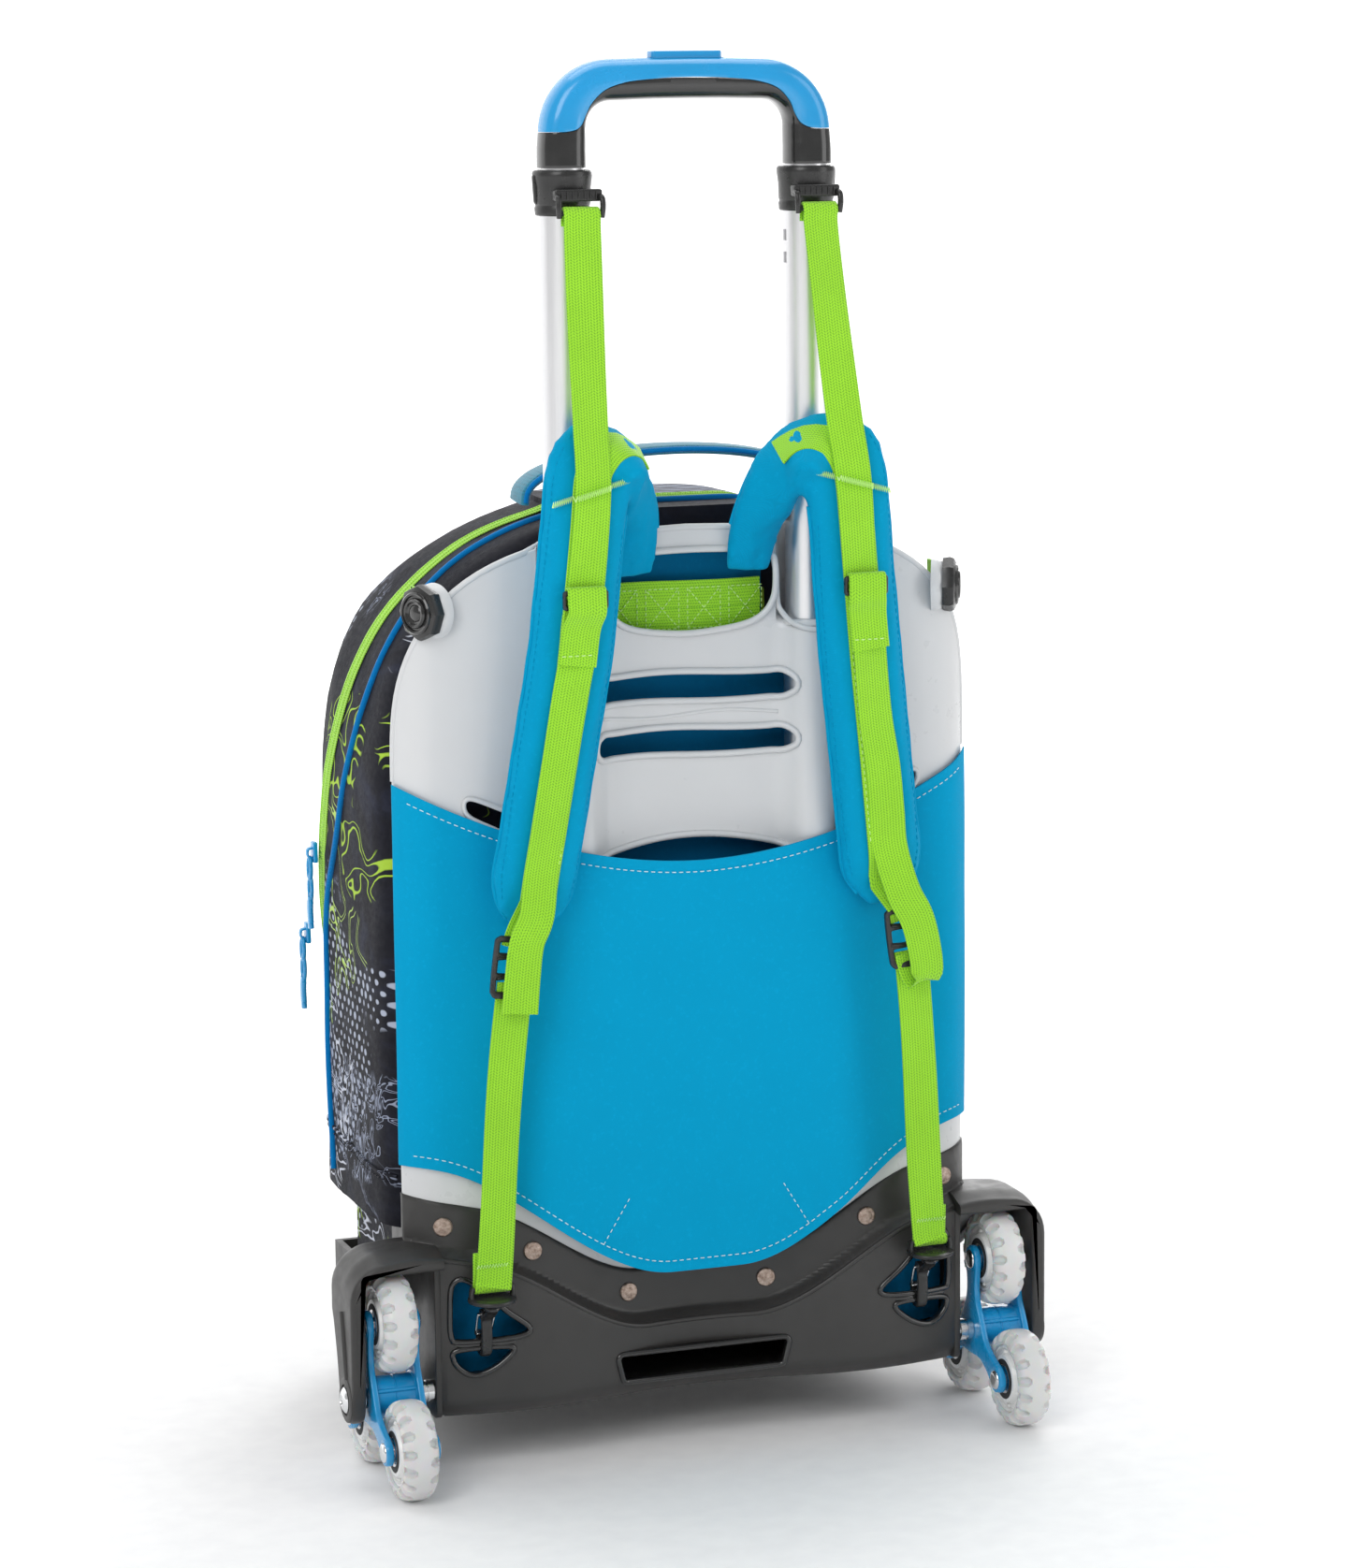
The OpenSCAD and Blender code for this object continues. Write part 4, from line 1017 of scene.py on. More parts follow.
recess_low = [(-15, -2.6), (14, -2.6), (17, -8), (12, -14.5), (4, -17), (-8, -12)]
holes = [slot]
for s in (-1, 1):
    for r in (recess_up, recess_low):
        holes.append(smooth_loop([(s * (BAR_X + x), BAR_Z + z) for x, z in r], 70))
shell = plate("base_front", [outline] + holes, 3.4, BASE, 0.9, 2)
to_front(shell)
slice_up(shell, [i * 3.3 for i in range(-49, 50)], [BASE_BOTTOM + 2 + i * 3 for i in range(0, 42)])
bend(shell, lambda x, y, z: (x, base_y(x, z) + 1.7 + y, z))
resharp(shell, 32)
pieces = [shell]
for i, loop in enumerate(holes):
    pieces.append(rod("bead_%d" % i, [Vector((x, base_y(x, z) + 0.1, z)) for x, z in loop], 1.7, GLOSS_BLACK,
                      8, closed=True,
                      side=(0, 1, 0)))
    # wall of the opening, going in
    verts = [Vector((x, base_y(x, z) + 1.2 + k * 1.6, z)) for k in range(4) for x, z in loop]
    m = len(loop)
    pieces.append(make("opening_wall", verts, quads(4, m), GLOSS_BLACK))
# soft ridge along the step under the flange, and lower hem
ridge = [Vector((x, base_y(x, base_edge(x) - 30) + 0.9, base_edge(x) - 30)) for x in range(-150, 151, 4)]
pieces.append(rod("step_ridge", ridge, 1.5, BASE, 8, side=(0, 1, 0)))
hem = [Vector((x, face(x) - 3.4, BASE_BOTTOM + 0.9)) for x in range(-148, 149, 4)]
pieces.append(rod("low_hem", hem, 1.2, BASE, 8, side=(0, 1, 0)))
# hook crossbars, side walls, fenders and the cloth behind the recesses
for s in (-1, 1):
    bar = spline([(s * (BAR_X - 24), base_y(BAR_X - 24, BAR_Z) + 5.0, BAR_Z + 0.5),
                  (s * (BAR_X - 12), base_y(BAR_X - 12, BAR_Z) + 1.4, BAR_Z),
                  (s * BAR_X, face(BAR_X) - 9.25, BAR_Z),
                  (s * (BAR_X + 12), base_y(BAR_X + 12, BAR_Z) + 1.6, BAR_Z),
                  (s * (BAR_X + 21), base_y(BAR_X + 20, BAR_Z) + 5.4, BAR_Z)], 30)
    pieces.append(rod("crossbar", bar, 2.5, GLOSS_BLACK, 12))
    pieces.append(rod("crossbar_back", [p + Vector((0, 1.6, 0)) for p in bar], 2.2, GLOSS_BLACK, 8))
    # fender: one moulding that arches over the wheels and runs down the outer arm to the pivot bolt
    wall = rounded_loop([(AXLE_Y - 6, BASE_BOTTOM), (AXLE_Y + 77, BASE_BOTTOM), (AXLE_Y + 77, ROOF_Z - 1),
                         (AXLE_Y - 6, ROOF_Z - 1)][::-1], 5)
    wl = plate("base_side", [wall], 3.4, BASE, 0.5, 2)
    to_side(wl, WALL_IN - 1.75)
    skirt = [(-16, 18), (-13.2, 2), (-12.9, -1), (-11.5, -6.4), (-9, -9.6), (-5, -12.2), (0, -13), (5, -12.2),
             (9, -9.6), (11.5, -6.4), (12.9, -1),
             (14.5, 8), (17, 20), (22, 36), (29, 50), (37, 58), (46, 60)]

    def skirt_z(d):
        for (a0, z0), (a1, z1) in zip(skirt, skirt[1:]):
            if d <= a1:
                f = max(0.0, (d - a0) / (a1 - a0))
                return AXLE_Z + z0 + (z1 - z0) * f
        return 1000.0
    stations = [(-14.4, 2.3), (-14.1, 1.3), (-13.5, 0.6), (-12.7, 0.15)] + [(-12 + 1.5 * k, 0.0)
            for k in range(58)]
    stations += [(75.4, 0.2), (76.3, 0.8), (76.8, 1.6), (77.0, 2.4)]
    rings = []
    for d, e in stations:
        z_in = AXLE_Z + math.sqrt(max(ARCH_R ** 2 - min(abs(d), 63.8) ** 2, 1.0)) + e
        z_top = ROOF_Z - e - 25 * smooth_step((d - 18) / 60) - 4.0 * smooth_step((-d + 2) / 18)
        x_out = ARM_OUT - e - 6.5 * smooth_step((d - 25) / 12) - 14 * smooth_step((d - 37) / 40)
        x_in = x_out - 8 + 2 * e
        low = min(skirt_z(d) + e, z_in - 3.2)
        if d > 60:
            low = z_in - 0.4
        r_out = min(21.0 + 12 * smooth_step((d - 20) / 40), (z_top - low) * 0.8)
        ring = [(WALL_IN - 3.4, z_in), (x_in - 12, z_in), (x_in - 3.2, z_in), (x_in - 1.2, z_in - 0.7),
                (x_in, z_in - 2.6)]
        ring += [(x_in, low + (z_in - 2.6 - low) * (1 - k / 6)) for k in range(1, 6)]
        ring += [(x_in + 0.5, low + 0.6), (x_in + 1.6, low), (x_out - 2.2, low), (x_out - 0.8, low + 0.5),
                 (x_out, low + 1.8)]
        top_side = z_top - r_out
        ring += [(x_out, low + 1.8 + (top_side - low - 1.8) * k / 8) for k in range(1, 9)]
        ring += [(x_out - r_out * (1 - math.cos(math.radians(90 * k / 9))),
                  top_side + r_out * math.sin(math.radians(90 * k / 9))) for k in range(1, 10)]
        ring += [(x_out - r_out - (x_out - r_out - WALL_IN + 3.4) * k / 5,
                  z_top + (1.2 * math.sin(math.pi * k / 5))) for k in range(1, 6)]
        rings.append([(x, AXLE_Y + d, z) for x, z in ring])
    m = len(rings[0])
    verts = [v for ring in rings for v in ring]
    faces = quads(len(rings), m)
    faces += [tuple(range(m)), tuple((len(rings) - 1) * m + j for j in reversed(range(m)))]
    pl = make("fender", verts, faces, BASE, None, 50)
    fix_normals(pl)
    rg = spline([(ARM_OUT - 0.6, AXLE_Y - 2, AXLE_Z + 12), (ARM_OUT - 0.3, AXLE_Y + 1, AXLE_Z + 30),
                 (ARM_OUT - 0.4, AXLE_Y + 5, AXLE_Z + 48)], 24)
    rr = rod("arm_ridge", rg, 1.9, BASE, 8)
    bs = turn("arm_boss", [(12.5, -1.2), (12.2, 0.3), (10.8, 0.9), (8.6, 0.7), (8.4, -0.5)],
              (ARM_OUT, AXLE_Y, AXLE_Z), (1, 0, 0), BASE, 48)
    side_parts = [pl, wl, rr, bs]
    if s < 0:
        for ob in side_parts:
            flip_x(ob)
    pieces += side_parts
    back = [(s * (BAR_X + dx), face(BAR_X + dx) + 7.5 + 1.2 * math.sin(dx * 0.2 + dz * 0.13), BAR_Z + dz)
            for dz in range(-20, 42, 4)
            for dx in range(-30, 24, 3)]
    across = len(range(-30, 24, 3))
    pieces.append(make("recess_cloth", back, quads(len(back) // across, across, wrap=False), LINING))
base = join("moulded_base", pieces)
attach(base, "frame")
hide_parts("base_shell")

caps = []
for s in (-1, 1):
    for k in (0.245, 0.592, 0.888):
        x = k * HALF_W * s
        z = base_edge(x) - 13
        d = 2.0
        slope = Vector((1, (base_y(x + d, z) - base_y(x - d, z)) / (2 * d), 0)).normalized()
        out = Vector((slope.y, -slope.x, 0))
        at = Vector((x, base_y(x, z), z))
        caps.append(turn("cap", [(1, -0.2), (5.1, -0.1), (5.3, 0.5), (4.9, 1.15), (4.2, 1.45), (3.4, 1.3),
                                 (2.9, 1.45), (1.2, 1.62), (0.2, 1.65)],
                         at, out, RIVET, 40))
caps = join("rivet_caps", caps)
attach(caps, "frame")
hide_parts("base_rivets")

# ------------------------------------------------------------------ corner knobs and tabs
parts = []
for s in (-1, 1):
    axis = Vector((KNOB_AXIS.x * s, KNOB_AXIS.y, 0))
    at = Vector((knob_at.x * s, knob_at.y, knob_at.z))
    parts.append(turn("knob_base", [(14.6, -2.4), (15.2, 1.6), (14.4, 3.8), (12.4, 4.9)], at, axis, BLACK, 8,
                      30))
    parts.append(turn("knob_rings", [(11.6, 3.0), (11.4, 5.6), (10.6, 6.3), (9.6, 6.0), (9.1, 5.0),
                                     (8.3, 5.0), (7.9, 6.6), (7.2, 7.3),
                                     (6.2, 7.1), (5.6, 6.0), (4.6, 5.6), (3.9, 6.3), (2.4, 6.7), (0.4, 6.8)],
                                     at, axis, GLOSS_BLACK, 56))
knobs = join("knobs", parts)
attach(knobs, "frame")
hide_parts("corner_knobs")
low, high = box_mm("side_tabs")
parts = []
for s in (-1, 1):
    x = s * (high[0] - 1)
    path = spline([(x, high[1] - 4.6, high[2] - 0.5), (x + 0.3 * s, high[1] - 4.4, (low[2] + high[2]) / 2),
                   (x, high[1] - 4.6, low[2] + 0.5)], 12)
    parts.append(ribbon("tab", path, LIME, 8.6, 1.6, side=(0, 1, 0)))
    parts.append(rod("tab_line", [p + Vector((s * 0.75, 0, 0)) for p in path], 0.5, DARK_TAPE, 6))
tabs = join("tabs", parts)
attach(tabs, "frame")
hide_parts("side_tabs")

# ------------------------------------------------------------------ grip
LEG_X = TUBE_X
BAR_MID = GRIP_TOP - 11.5
LEG_BOTTOM = COLLAR_TOP + 1
corner = 26.0
path = [(-LEG_X - 0.5, TUBE_Y, LEG_BOTTOM), (-LEG_X - 0.5, TUBE_Y, LEG_BOTTOM + 10),
        (-LEG_X, TUBE_Y, BAR_MID - corner)]
for k in range(1, 12):
    a = math.radians(180 - 90 * k / 12)
    path.append((-LEG_X + corner + corner * math.cos(a), TUBE_Y, BAR_MID - corner + corner * math.sin(a)))
path.append((-LEG_X + corner, TUBE_Y, BAR_MID))
path += [(-20, TUBE_Y, BAR_MID + 0.6), (0, TUBE_Y, BAR_MID + 0.7)]
path += [(-x, y, z) for x, y, z in path[-2::-1]]
path = resample([Vector(p) for p in path], 120)
leg_w, bar_w = 25.0, 22.0
widths = []
for p in path:
    t = smooth_step((p.z - (BAR_MID - 40)) / 40)
    widths.append(((leg_w + (bar_w - leg_w) * t) / 24.0, 1.0))
section = []
for k in range(40):
    a = 2 * math.pi * k / 40
    c, s_ = math.cos(a), math.sin(a)
    section.append((12.0 * math.copysign(abs(c) ** 0.72, c),
                    (GRIP_D / 2 - 0.1) * math.copysign(abs(s_) ** 0.8, s_)))
sides = [Vector((t.z, 0, -t.x)) for t in tangents(path)]
grip = sweep("grip_whole", path, section, GLOSS_BLACK, side=sides, scale=widths, angle=60)


def cover_profile(gap):
    """Outline of the cover: over the top, down the outer sides, and hollowed round the inner corner."""
    rows = [(-110, -38.5), (-82, -38.5), (-74, -38.5), (-69.4, -38.3), (-64.5, -37.2), (-61.2, -34.7),
            (-58.6, -29.8), (-55.9, -24.2),
            (-51.5, -19.2), (-46.8, -16.0), (-40, -13.7), (-31.7, -12.2), (-14, -10.9), (0, -10.6)]
    half = [(p.x - gap * 0.5, p.z) for p in spline([(x * TUBE_X / 69.0, 0, GRIP_TOP + z + gap)
            for x, z in rows], 70)]
    pts = half[:-1] + [(0, half[-1][1])] + [(-x, z) for x, z in reversed(half[:-1])]
    pts += [(112, GRIP_TOP + 40), (-112, GRIP_TOP + 40)]
    return pts


def cutter(pts, depth):
    m = len(pts)
    verts = [(x, TUBE_Y - depth, z) for x, z in pts] + [(x, TUBE_Y + depth, z) for x, z in pts]
    faces = [tuple(range(m)), tuple(range(2 * m - 1, m - 1, -1))]
    faces += [(j, m + j, m + (j + 1) % m, (j + 1) % m) for j in range(m)]
    ob = make("cutter", verts, faces, None)
    fix_normals(ob)
    return ob


def cut(ob, tool, op):
    modify(ob, "BOOLEAN", operation=op, object=tool, solver="EXACT")
    apply_all(ob)


cover = bpy.data.objects.new("grip_shell", grip.data.copy())
scene.collection.objects.link(cover)
tool = cutter(cover_profile(0.0), 40)
cut(grip, tool, "DIFFERENCE")
bpy.data.objects.remove(tool)
tool = cutter(cover_profile(0.35), 40)
cut(cover, tool, "INTERSECT")
bpy.data.objects.remove(tool)
tool = cutter([(-20.4, GRIP_TOP - 5), (20.4, GRIP_TOP - 5), (20.4, GRIP_TOP + 9), (-20.4, GRIP_TOP + 9)], 5.4)
cut(cover, tool, "DIFFERENCE")
bpy.data.objects.remove(tool)
cover.data.materials.clear()
cover.data.materials.append(BLUE)
for ob in (grip, cover):
    modify(ob, "BEVEL", width=0.35 * MM, segments=2, limit_method="ANGLE", angle_limit=math.radians(50))
    apply_all(ob)
    resharp(ob, 45)
for ob, node, slot_name in ((grip, "grip_core", "black_plastic"), (cover, "grip_cover", "blue_plastic")):
    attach(ob, "upper_stage")
    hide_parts(node)
low, high = box_mm("push_button")
btn = plate("button", [rounded_loop([(low[0] + 0.2, -4.7), (high[0] - 0.2, -4.7), (high[0] - 0.2, 4.7),
                                     (low[0] + 0.2, 4.7)], 2.0)],
            high[2] - low[2], BLUE, 0.9, 3)
shift(btn, 0, TUBE_Y, (low[2] + high[2]) / 2)
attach(btn, "button")
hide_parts("push_button")

# ------------------------------------------------------------------ collars and strap clips
parts = []
for s in (-1, 1):
    c = (TUBE_X * s, TUBE_Y, COLLAR_TOP)
    parts.append(turn("collar", [(MID_R + 0.3, -24), (COLLAR_R - 2.0, -24), (COLLAR_R - 1.3, -23.4),
                                 (COLLAR_R - 1.0, -20), (COLLAR_R - 1.5, -18.6),
                                 (COLLAR_R - 1.1, -17.2), (COLLAR_R - 0.9, -9), (COLLAR_R - 0.15, -3.5),
                                 (COLLAR_R, -1.6), (COLLAR_R - 0.7, -0.4),
                                 (COLLAR_R - 2, -0.05), (UPPER_R + 0.6, -0.1)], c, (0, 0, 1), BLACK, 72))
    fin = plate("collar_fin", [rounded_loop([(-3, -8), (3, -8), (4, 8), (-4, 8)], 2)], 3.2, BLACK, 0.8, 2)
    to_front(fin, TUBE_Y)
    shift(fin, s * (TUBE_X + COLLAR_R - 3.2), 0, COLLAR_TOP - 10)
    parts.append(fin)
collars = join("collars", parts)
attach(collars, "mid_stage")
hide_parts("tube_collars")

CLIP_LOW = box_mm("strap_clips")[0]
CLIP_Y = CLIP_LOW[1] + 6.0
CLIP_Z = CLIP_LOW[2] + 4
CLIP_X = TUBE_X - 2
WEB_W = 20.0
parts = []
for s in (-1, 1):
    x0 = s * CLIP_X
    top = plate("clip_bar", [rounded_loop([(-12.6, 5.8), (12.6, 5.8), (13.2, 12.2), (-13.2, 12.2)], 1.6)],
                6.6, BLACK, 0.8, 2)
    to_front(top, CLIP_Y + 2.6)
    shift(top, x0, 0, CLIP_Z)
    parts.append(top)
    for j in range(-3, 4):
        parts.append(rod("clip_rib", [Vector((x0 + j * 3.2, CLIP_Y - 0.6, CLIP_Z + 7)),
                                      Vector((x0 + j * 3.2, CLIP_Y - 0.9, CLIP_Z + 9)),
                                      Vector((x0 + j * 3.2, CLIP_Y - 0.6, CLIP_Z + 11.2))], 0.55, BLACK, 8))
    for t in (-1, 1):
        xa = x0 + t * 11.7
        arm = spline([(xa, CLIP_Y + 1.5, CLIP_Z + 9), (xa + t * 0.4, CLIP_Y - 2.8, CLIP_Z + 7.5),
                      (xa + t * 0.5, CLIP_Y - 3.8, CLIP_Z + 3),
                      (xa, CLIP_Y - 3.2, CLIP_Z - 2.6)], 18)
        parts.append(sweep("clip_arm", arm, round_section(3.0, 2.8, 1.2, 3), BLACK, side=(1, 0, 0)))
    parts.append(cross_rod("clip_pin", x0, CLIP_Y - 3, CLIP_Z, 11.2, 1.6, BLACK, 12))
clips = join("clips", parts)
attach(clips, "mid_stage")
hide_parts("strap_clips")

# ------------------------------------------------------------------ wheels and clusters
PLATE_IN = WHEEL_W / 2 + 1
PLATE_OUT = PLATE_IN + 3.5


def arms_loop():
    pts = []
    for a0 in (90, -30, 210):
        for dx, dy in ((-1.0, -14.2), (9.5, -11.2), (17, -6.9), (25, -5.6), (33, -6.4), (38.5, -7.4),
                       (43.5, -6.7), (47.2, -3.6), (48.2, 0),
                       (47.2, 3.6), (43.5, 6.7), (38.5, 7.4), (33, 6.4), (25, 5.6), (17, 6.9), (9.5, 11.2)):
            if dx < 0:
                continue
            a = math.radians(a0)
            pts.append((dx * math.cos(a) - dy * math.sin(a), dx * math.sin(a) + dy * math.cos(a),
                        math.atan2(dy, dx) + a))
    pts.sort(key=lambda p: p[2] % (2 * math.pi))
    return smooth_loop([(p[0], p[1]) for p in pts], 240)


def build_cluster(side_name, s):
    parts = []
    for t in (-1, 1):
        pl = plate("arms", [arms_loop()], 3.6, BLUE, 0.9, 3)
        to_side(pl, 0)
        shift(pl, CLUSTER_X + t * (PLATE_OUT - 1.75), AXLE_Y, AXLE_Z)
        parts.append(pl)
        for a0 in (90, -30, 210):
            a = math.radians(a0)
            c = (CLUSTER_X + t * PLATE_OUT, AXLE_Y + CLUSTER_R * math.cos(a),
                 AXLE_Z + CLUSTER_R * math.sin(a))
            parts.append(turn("boss", [(7.3, -0.8), (7.0, 0.25), (6.2, 0.5), (4.2, 0.5)], c, (t, 0, 0), BLUE,
                              40))
    w = PLATE_OUT
    prof = [(12.8, -w + 0.2), (13.0, -w + 3.2), (11.6, -w + 4.4), (11.3, -w + 7), (11.3, -0.7), (10.9, -0.25),
            (10.9, 0.25), (11.3, 0.7),
            (11.3, w - 7), (11.6, w - 4.4), (13.0, w - 3.2), (12.8, w - 0.2)]
    parts.append(turn("hub", prof, (CLUSTER_X, AXLE_Y, AXLE_Z), (1, 0, 0), BLUE, 64))
    for a0 in (30, 150, 270):
        a = math.radians(a0)
        p0 = Vector((CLUSTER_X - w + 4, AXLE_Y + 11.2 * math.cos(a), AXLE_Z + 11.2 * math.sin(a)))
        p1 = Vector((CLUSTER_X + w - 4, p0.y, p0.z))
        parts.append(rod("hub_rib", [p0, (p0 + p1) / 2, p1], 1.3, BLUE, 8))
    ob = join("arms_" + side_name, parts)
    if s < 0:
        flip_x(ob)
    resharp(ob, 38)
    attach(ob, "cluster_" + side_name)
    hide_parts("cluster_" + side_name)
    parts = []
    for a0 in (90, -30, 210):
        a = math.radians(a0)
        for t in (-1, 1):
            c = (s * CLUSTER_X + t * (PLATE_OUT + 0.3), AXLE_Y + CLUSTER_R * math.cos(a),
                 AXLE_Z + CLUSTER_R * math.sin(a))
            parts.append(turn("dome", [(5.4, -0.3), (5.4, 0.3), (4.9, 0.9), (3.9, 1.4), (2.6, 1.7),
                                       (1.2, 1.5), (0.2, 1.45)], c, (t, 0, 0), STEEL, 40))
        c = (s * CLUSTER_X, AXLE_Y + CLUSTER_R * math.cos(a), AXLE_Z + CLUSTER_R * math.sin(a))
        parts.append(turn("shank", [(3.9, -PLATE_OUT), (3.9, PLATE_OUT)], c, (1, 0, 0), STEEL, 32))
    ob = join("domes_" + side_name, parts)
    resharp(ob, 40)
    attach(ob, "cluster_" + side_name)
    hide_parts("axle_rivets_" + side_name)


def build_tyre(centre):
    """Ring of translucent material with rounded lug notches on both shoulders."""
    w = WHEEL_W / 2
    prof = [(18.6, -w + 2.2), (19.2, -w + 0.6), (21.0, -w + 0.2), (23.0, -w + 0.7), (24.6, -w + 1.6),
            (25.7, -w + 3.0), (26.5, -w + 4.8), (26.95, -w + 7.4),
            (27.0, 0)]
    prof = prof + [(r, -h) for r, h in prof[-2::-1]]
    prof = [(p.x, p.y) for p in resample([Vector((r, h, 0)) for r, h in prof], 36)]
    lugs, per = 16, 14
    n = lugs * per
    verts = []
    cx, cy, cz = centre
    for i, (r, h) in enumerate(prof):
        reach = smooth_step((r - 20.8) / 1.6)
        for k in range(n):
            ph = (k % per) / per + (0.5 if h > 0 else 0.0)
            ph -= math.floor(ph)
            round_end = math.sqrt(max(0.0, 1 - ((ph - 0.5) / 0.26) ** 2))
            notch = smooth_step((abs(h) - (7.4 - 3.6 * round_end)) / 0.9)
            notch = notch * smooth_step((0.26 - abs(ph - 0.5)) / 0.07) * reach
            dr = -2.7 * notch
            dh = -math.copysign(1.5, h) * notch if abs(h) > 0.1 else 0
            a = 2 * math.pi * k / n
            rr = (r + dr) * WHEEL_R / 27.0
            verts.append((cx + h + dh, cy + rr * math.cos(a), cz + rr * math.sin(a)))
    faces = quads(len(prof), n)
    last = (len(prof) - 1) * n
    for k in range(n):
        kk = (k + 1) % n
        faces.append((last + k, last + kk, kk, k))
    ob = make("tread", verts, faces, CLEAR, None, 50)
    fix_normals(ob)
    return ob


for side_name, s in (("left", -1), ("right", 1)):
    build_cluster(side_name, s)
    for key, (wy, wz) in WHEELS.items():
        c = (s * CLUSTER_X, wy, wz)
        body = "wheel_%s_%s" % (side_name, key)
        ob = build_tyre(c)
        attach(ob, body)
        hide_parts("tyre_%s_%s" % (side_name, key))
        w = WHEEL_W / 2
        prof = [(11.4, -w + 0.4), (13.2, -w + 0.5), (13.8, -w + 1.6), (14.6, -w + 3.4), (16.6, -w + 3.6),
                (17.4, -w + 2.0),
                (18.5, -w + 2.0)]
        parts = [turn("core", prof + [(r, -h) for r, h in reversed(prof)], c, (1, 0, 0), WHITE, 64)]
        for t in (-1, 1):
            cc = (c[0] + t * w, wy, wz)
            parts.append(turn("seal", [(11.3, -1.2), (11.3, -0.35), (8.0, -0.35), (8.0, -1.2)], cc, (t, 0, 0),
                              RUBBER, 48))
            parts.append(turn("race", [(8.0, -1.2), (7.9, -0.15), (6.6, 0.0), (4.3, 0.0), (4.2, -1.2)], cc,
                              (t, 0, 0), STEEL, 48))
            for j in range(6):
                a = math.radians(60 * j + 20)
                q = Vector((cc[0] - t * 3.2, wy + 15.6 * math.cos(a), wz + 15.6 * math.sin(a)))
                q2 = Vector((cc[0] - t * 2.4, wy + 14.2 * math.cos(a), wz + 14.2 * math.sin(a)))
                parts.append(rod("spoke", [q2, (q + q2) / 2, q], 1.1, WHITE, 8))
        ob = join("core_" + body, parts)
        resharp(ob, 35)
        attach(ob, body)
        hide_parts("core_%s_%s" % (side_name, key))

parts = []
for s in (-1, 1):
    c = (s * ARM_OUT, AXLE_Y, AXLE_Z)
    parts.append(turn("bolt_head", [(7.0, 0.1), (7.0, 0.9), (6.2, 1.5), (4.9, 2.3), (3.2, 2.8), (2.9, 2.2),
                                    (0.3, 2.1)], c, (s, 0, 0), STEEL, 48))
    parts.append(turn("spacer_out", [(5.9, 0), (6.0, 0.4), (5.6, 0.8), (5.6, 1.4)],
                      (s * (CLUSTER_X + PLATE_OUT + 0.4), AXLE_Y, AXLE_Z), (s, 0, 0), STEEL, 40))
    parts.append(turn("spacer_in", [(6.0, 0), (6.0, -3.0), (5.4, -3.3), (5.4, -4.0), (6.0, -4.3),
                                    (6.0, -7.5)],
                      (s * (CLUSTER_X - PLATE_OUT - 0.4), AXLE_Y, AXLE_Z), (s, 0, 0), STEEL, 40))
    parts.append(turn("nut", [(5.5, 0), (5.5, 4.6), (4.9, 5.0), (2.0, 5.0)],
                      (s * (WALL_IN - 3.6), AXLE_Y, AXLE_Z), (-s, 0, 0), STEEL, 6))
    parts.append(turn("bolt", [(3.95, 0), (3.95, ARM_OUT - WALL_IN + 6)],
                      (s * (WALL_IN - 6.4), AXLE_Y, AXLE_Z), (s, 0, 0), STEEL, 32))
bolts = join("pivot_bolts", parts)
resharp(bolts, 35)
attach(bolts, "frame")
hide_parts("main_axles")

# ------------------------------------------------------------------ fabric bag

def bag_half(z):
    return arch_x(z, BAG_HALF, BAG_TOP - 190, BAG_TOP, 2.8, 0.4)


def bag_ring(z, count=180):
    """Closed plan outline of the bag at a height: nearly flat back, rounded sides, fuller front."""
    hw = bag_half(min(z, BAG_TOP - 4))
    top = smooth_step((z - (BAG_TOP - 95)) / 95)
    front = BAG_FRONT - 62 * top ** 1.5
    mid = (BAG_BACK + front) / 2
    depth = (front - BAG_BACK) / 2
    pts = []
    for k in range(count):
        a = 2 * math.pi * k / count
        c, s = math.cos(a), math.sin(a)
        px = 0.26 if s < 0 else 0.42
        py = 0.30 if s < 0 else 0.62
        x = hw * math.copysign(abs(c) ** px, c)
        y = mid + depth * math.copysign(abs(s) ** py, s)
        pts.append((x, y))
    return [(p.x, p.y) for p in resample([Vector((x, y, 0)) for x, y in pts + [pts[0]]], count)[:-1]]


WALL_LINE = ROOF_Z + 2
levels = [WALL_LINE + (BAG_TOP - 190 - WALL_LINE) * i / 34 for i in range(35)]
levels += [BAG_TOP - 190 + 190 * math.sin(math.radians(90 * i / 34)) for i in range(1, 35)]
levels = sorted(set(round(z, 3) for z in levels))
levels[-1] = BAG_TOP - 0.6
COUNT = 180
verts = []
for i, z in enumerate(levels):
    ring = bag_ring(z, COUNT)
    if i == len(levels) - 1:
        ring = [(x * 0.9, BAG_BACK + 18 + (y - BAG_BACK) * 0.72) for x, y in ring]
    for x, y in ring:
        p = Vector((x, y, z))
        soft = smooth_step((y - BAG_BACK - 12) / 26)
        lump = noise.noise(Vector((x * 0.016, y * 0.016, z * 0.013))) * 3.4 + noise.noise(Vector((x * 0.045,
                y * 0.05, z * 0.03 + 4))) * 1.3
        crease = noise.noise(Vector((x * 0.02 + 3, y * 0.075,
                                     z * 0.012 + z * 0.02 * math.sin(y * 0.03)))) * 1.6
        inward = -math.copysign(1, x) if abs(x) > 20 else 0
        amount = (abs(lump) + abs(crease)) * soft * 0.55
        if y > BAG_FRONT - 25:
            p.y -= amount
        else:
            p.x += inward * amount
        # the fabric sags in between the seams and is pulled in at the housing
        p.x -= math.copysign(0.9 * soft * math.sin(math.pi * min(1, max(0, (z - WALL_LINE) / 190))),
                             x) if abs(x) > 60 else 0
        verts.append(tuple(p))
faces = quads(len(levels), COUNT)
top_ring = (len(levels) - 1) * COUNT
c_top = len(verts)
cy = sum(verts[top_ring + k][1] for k in range(COUNT)) / COUNT
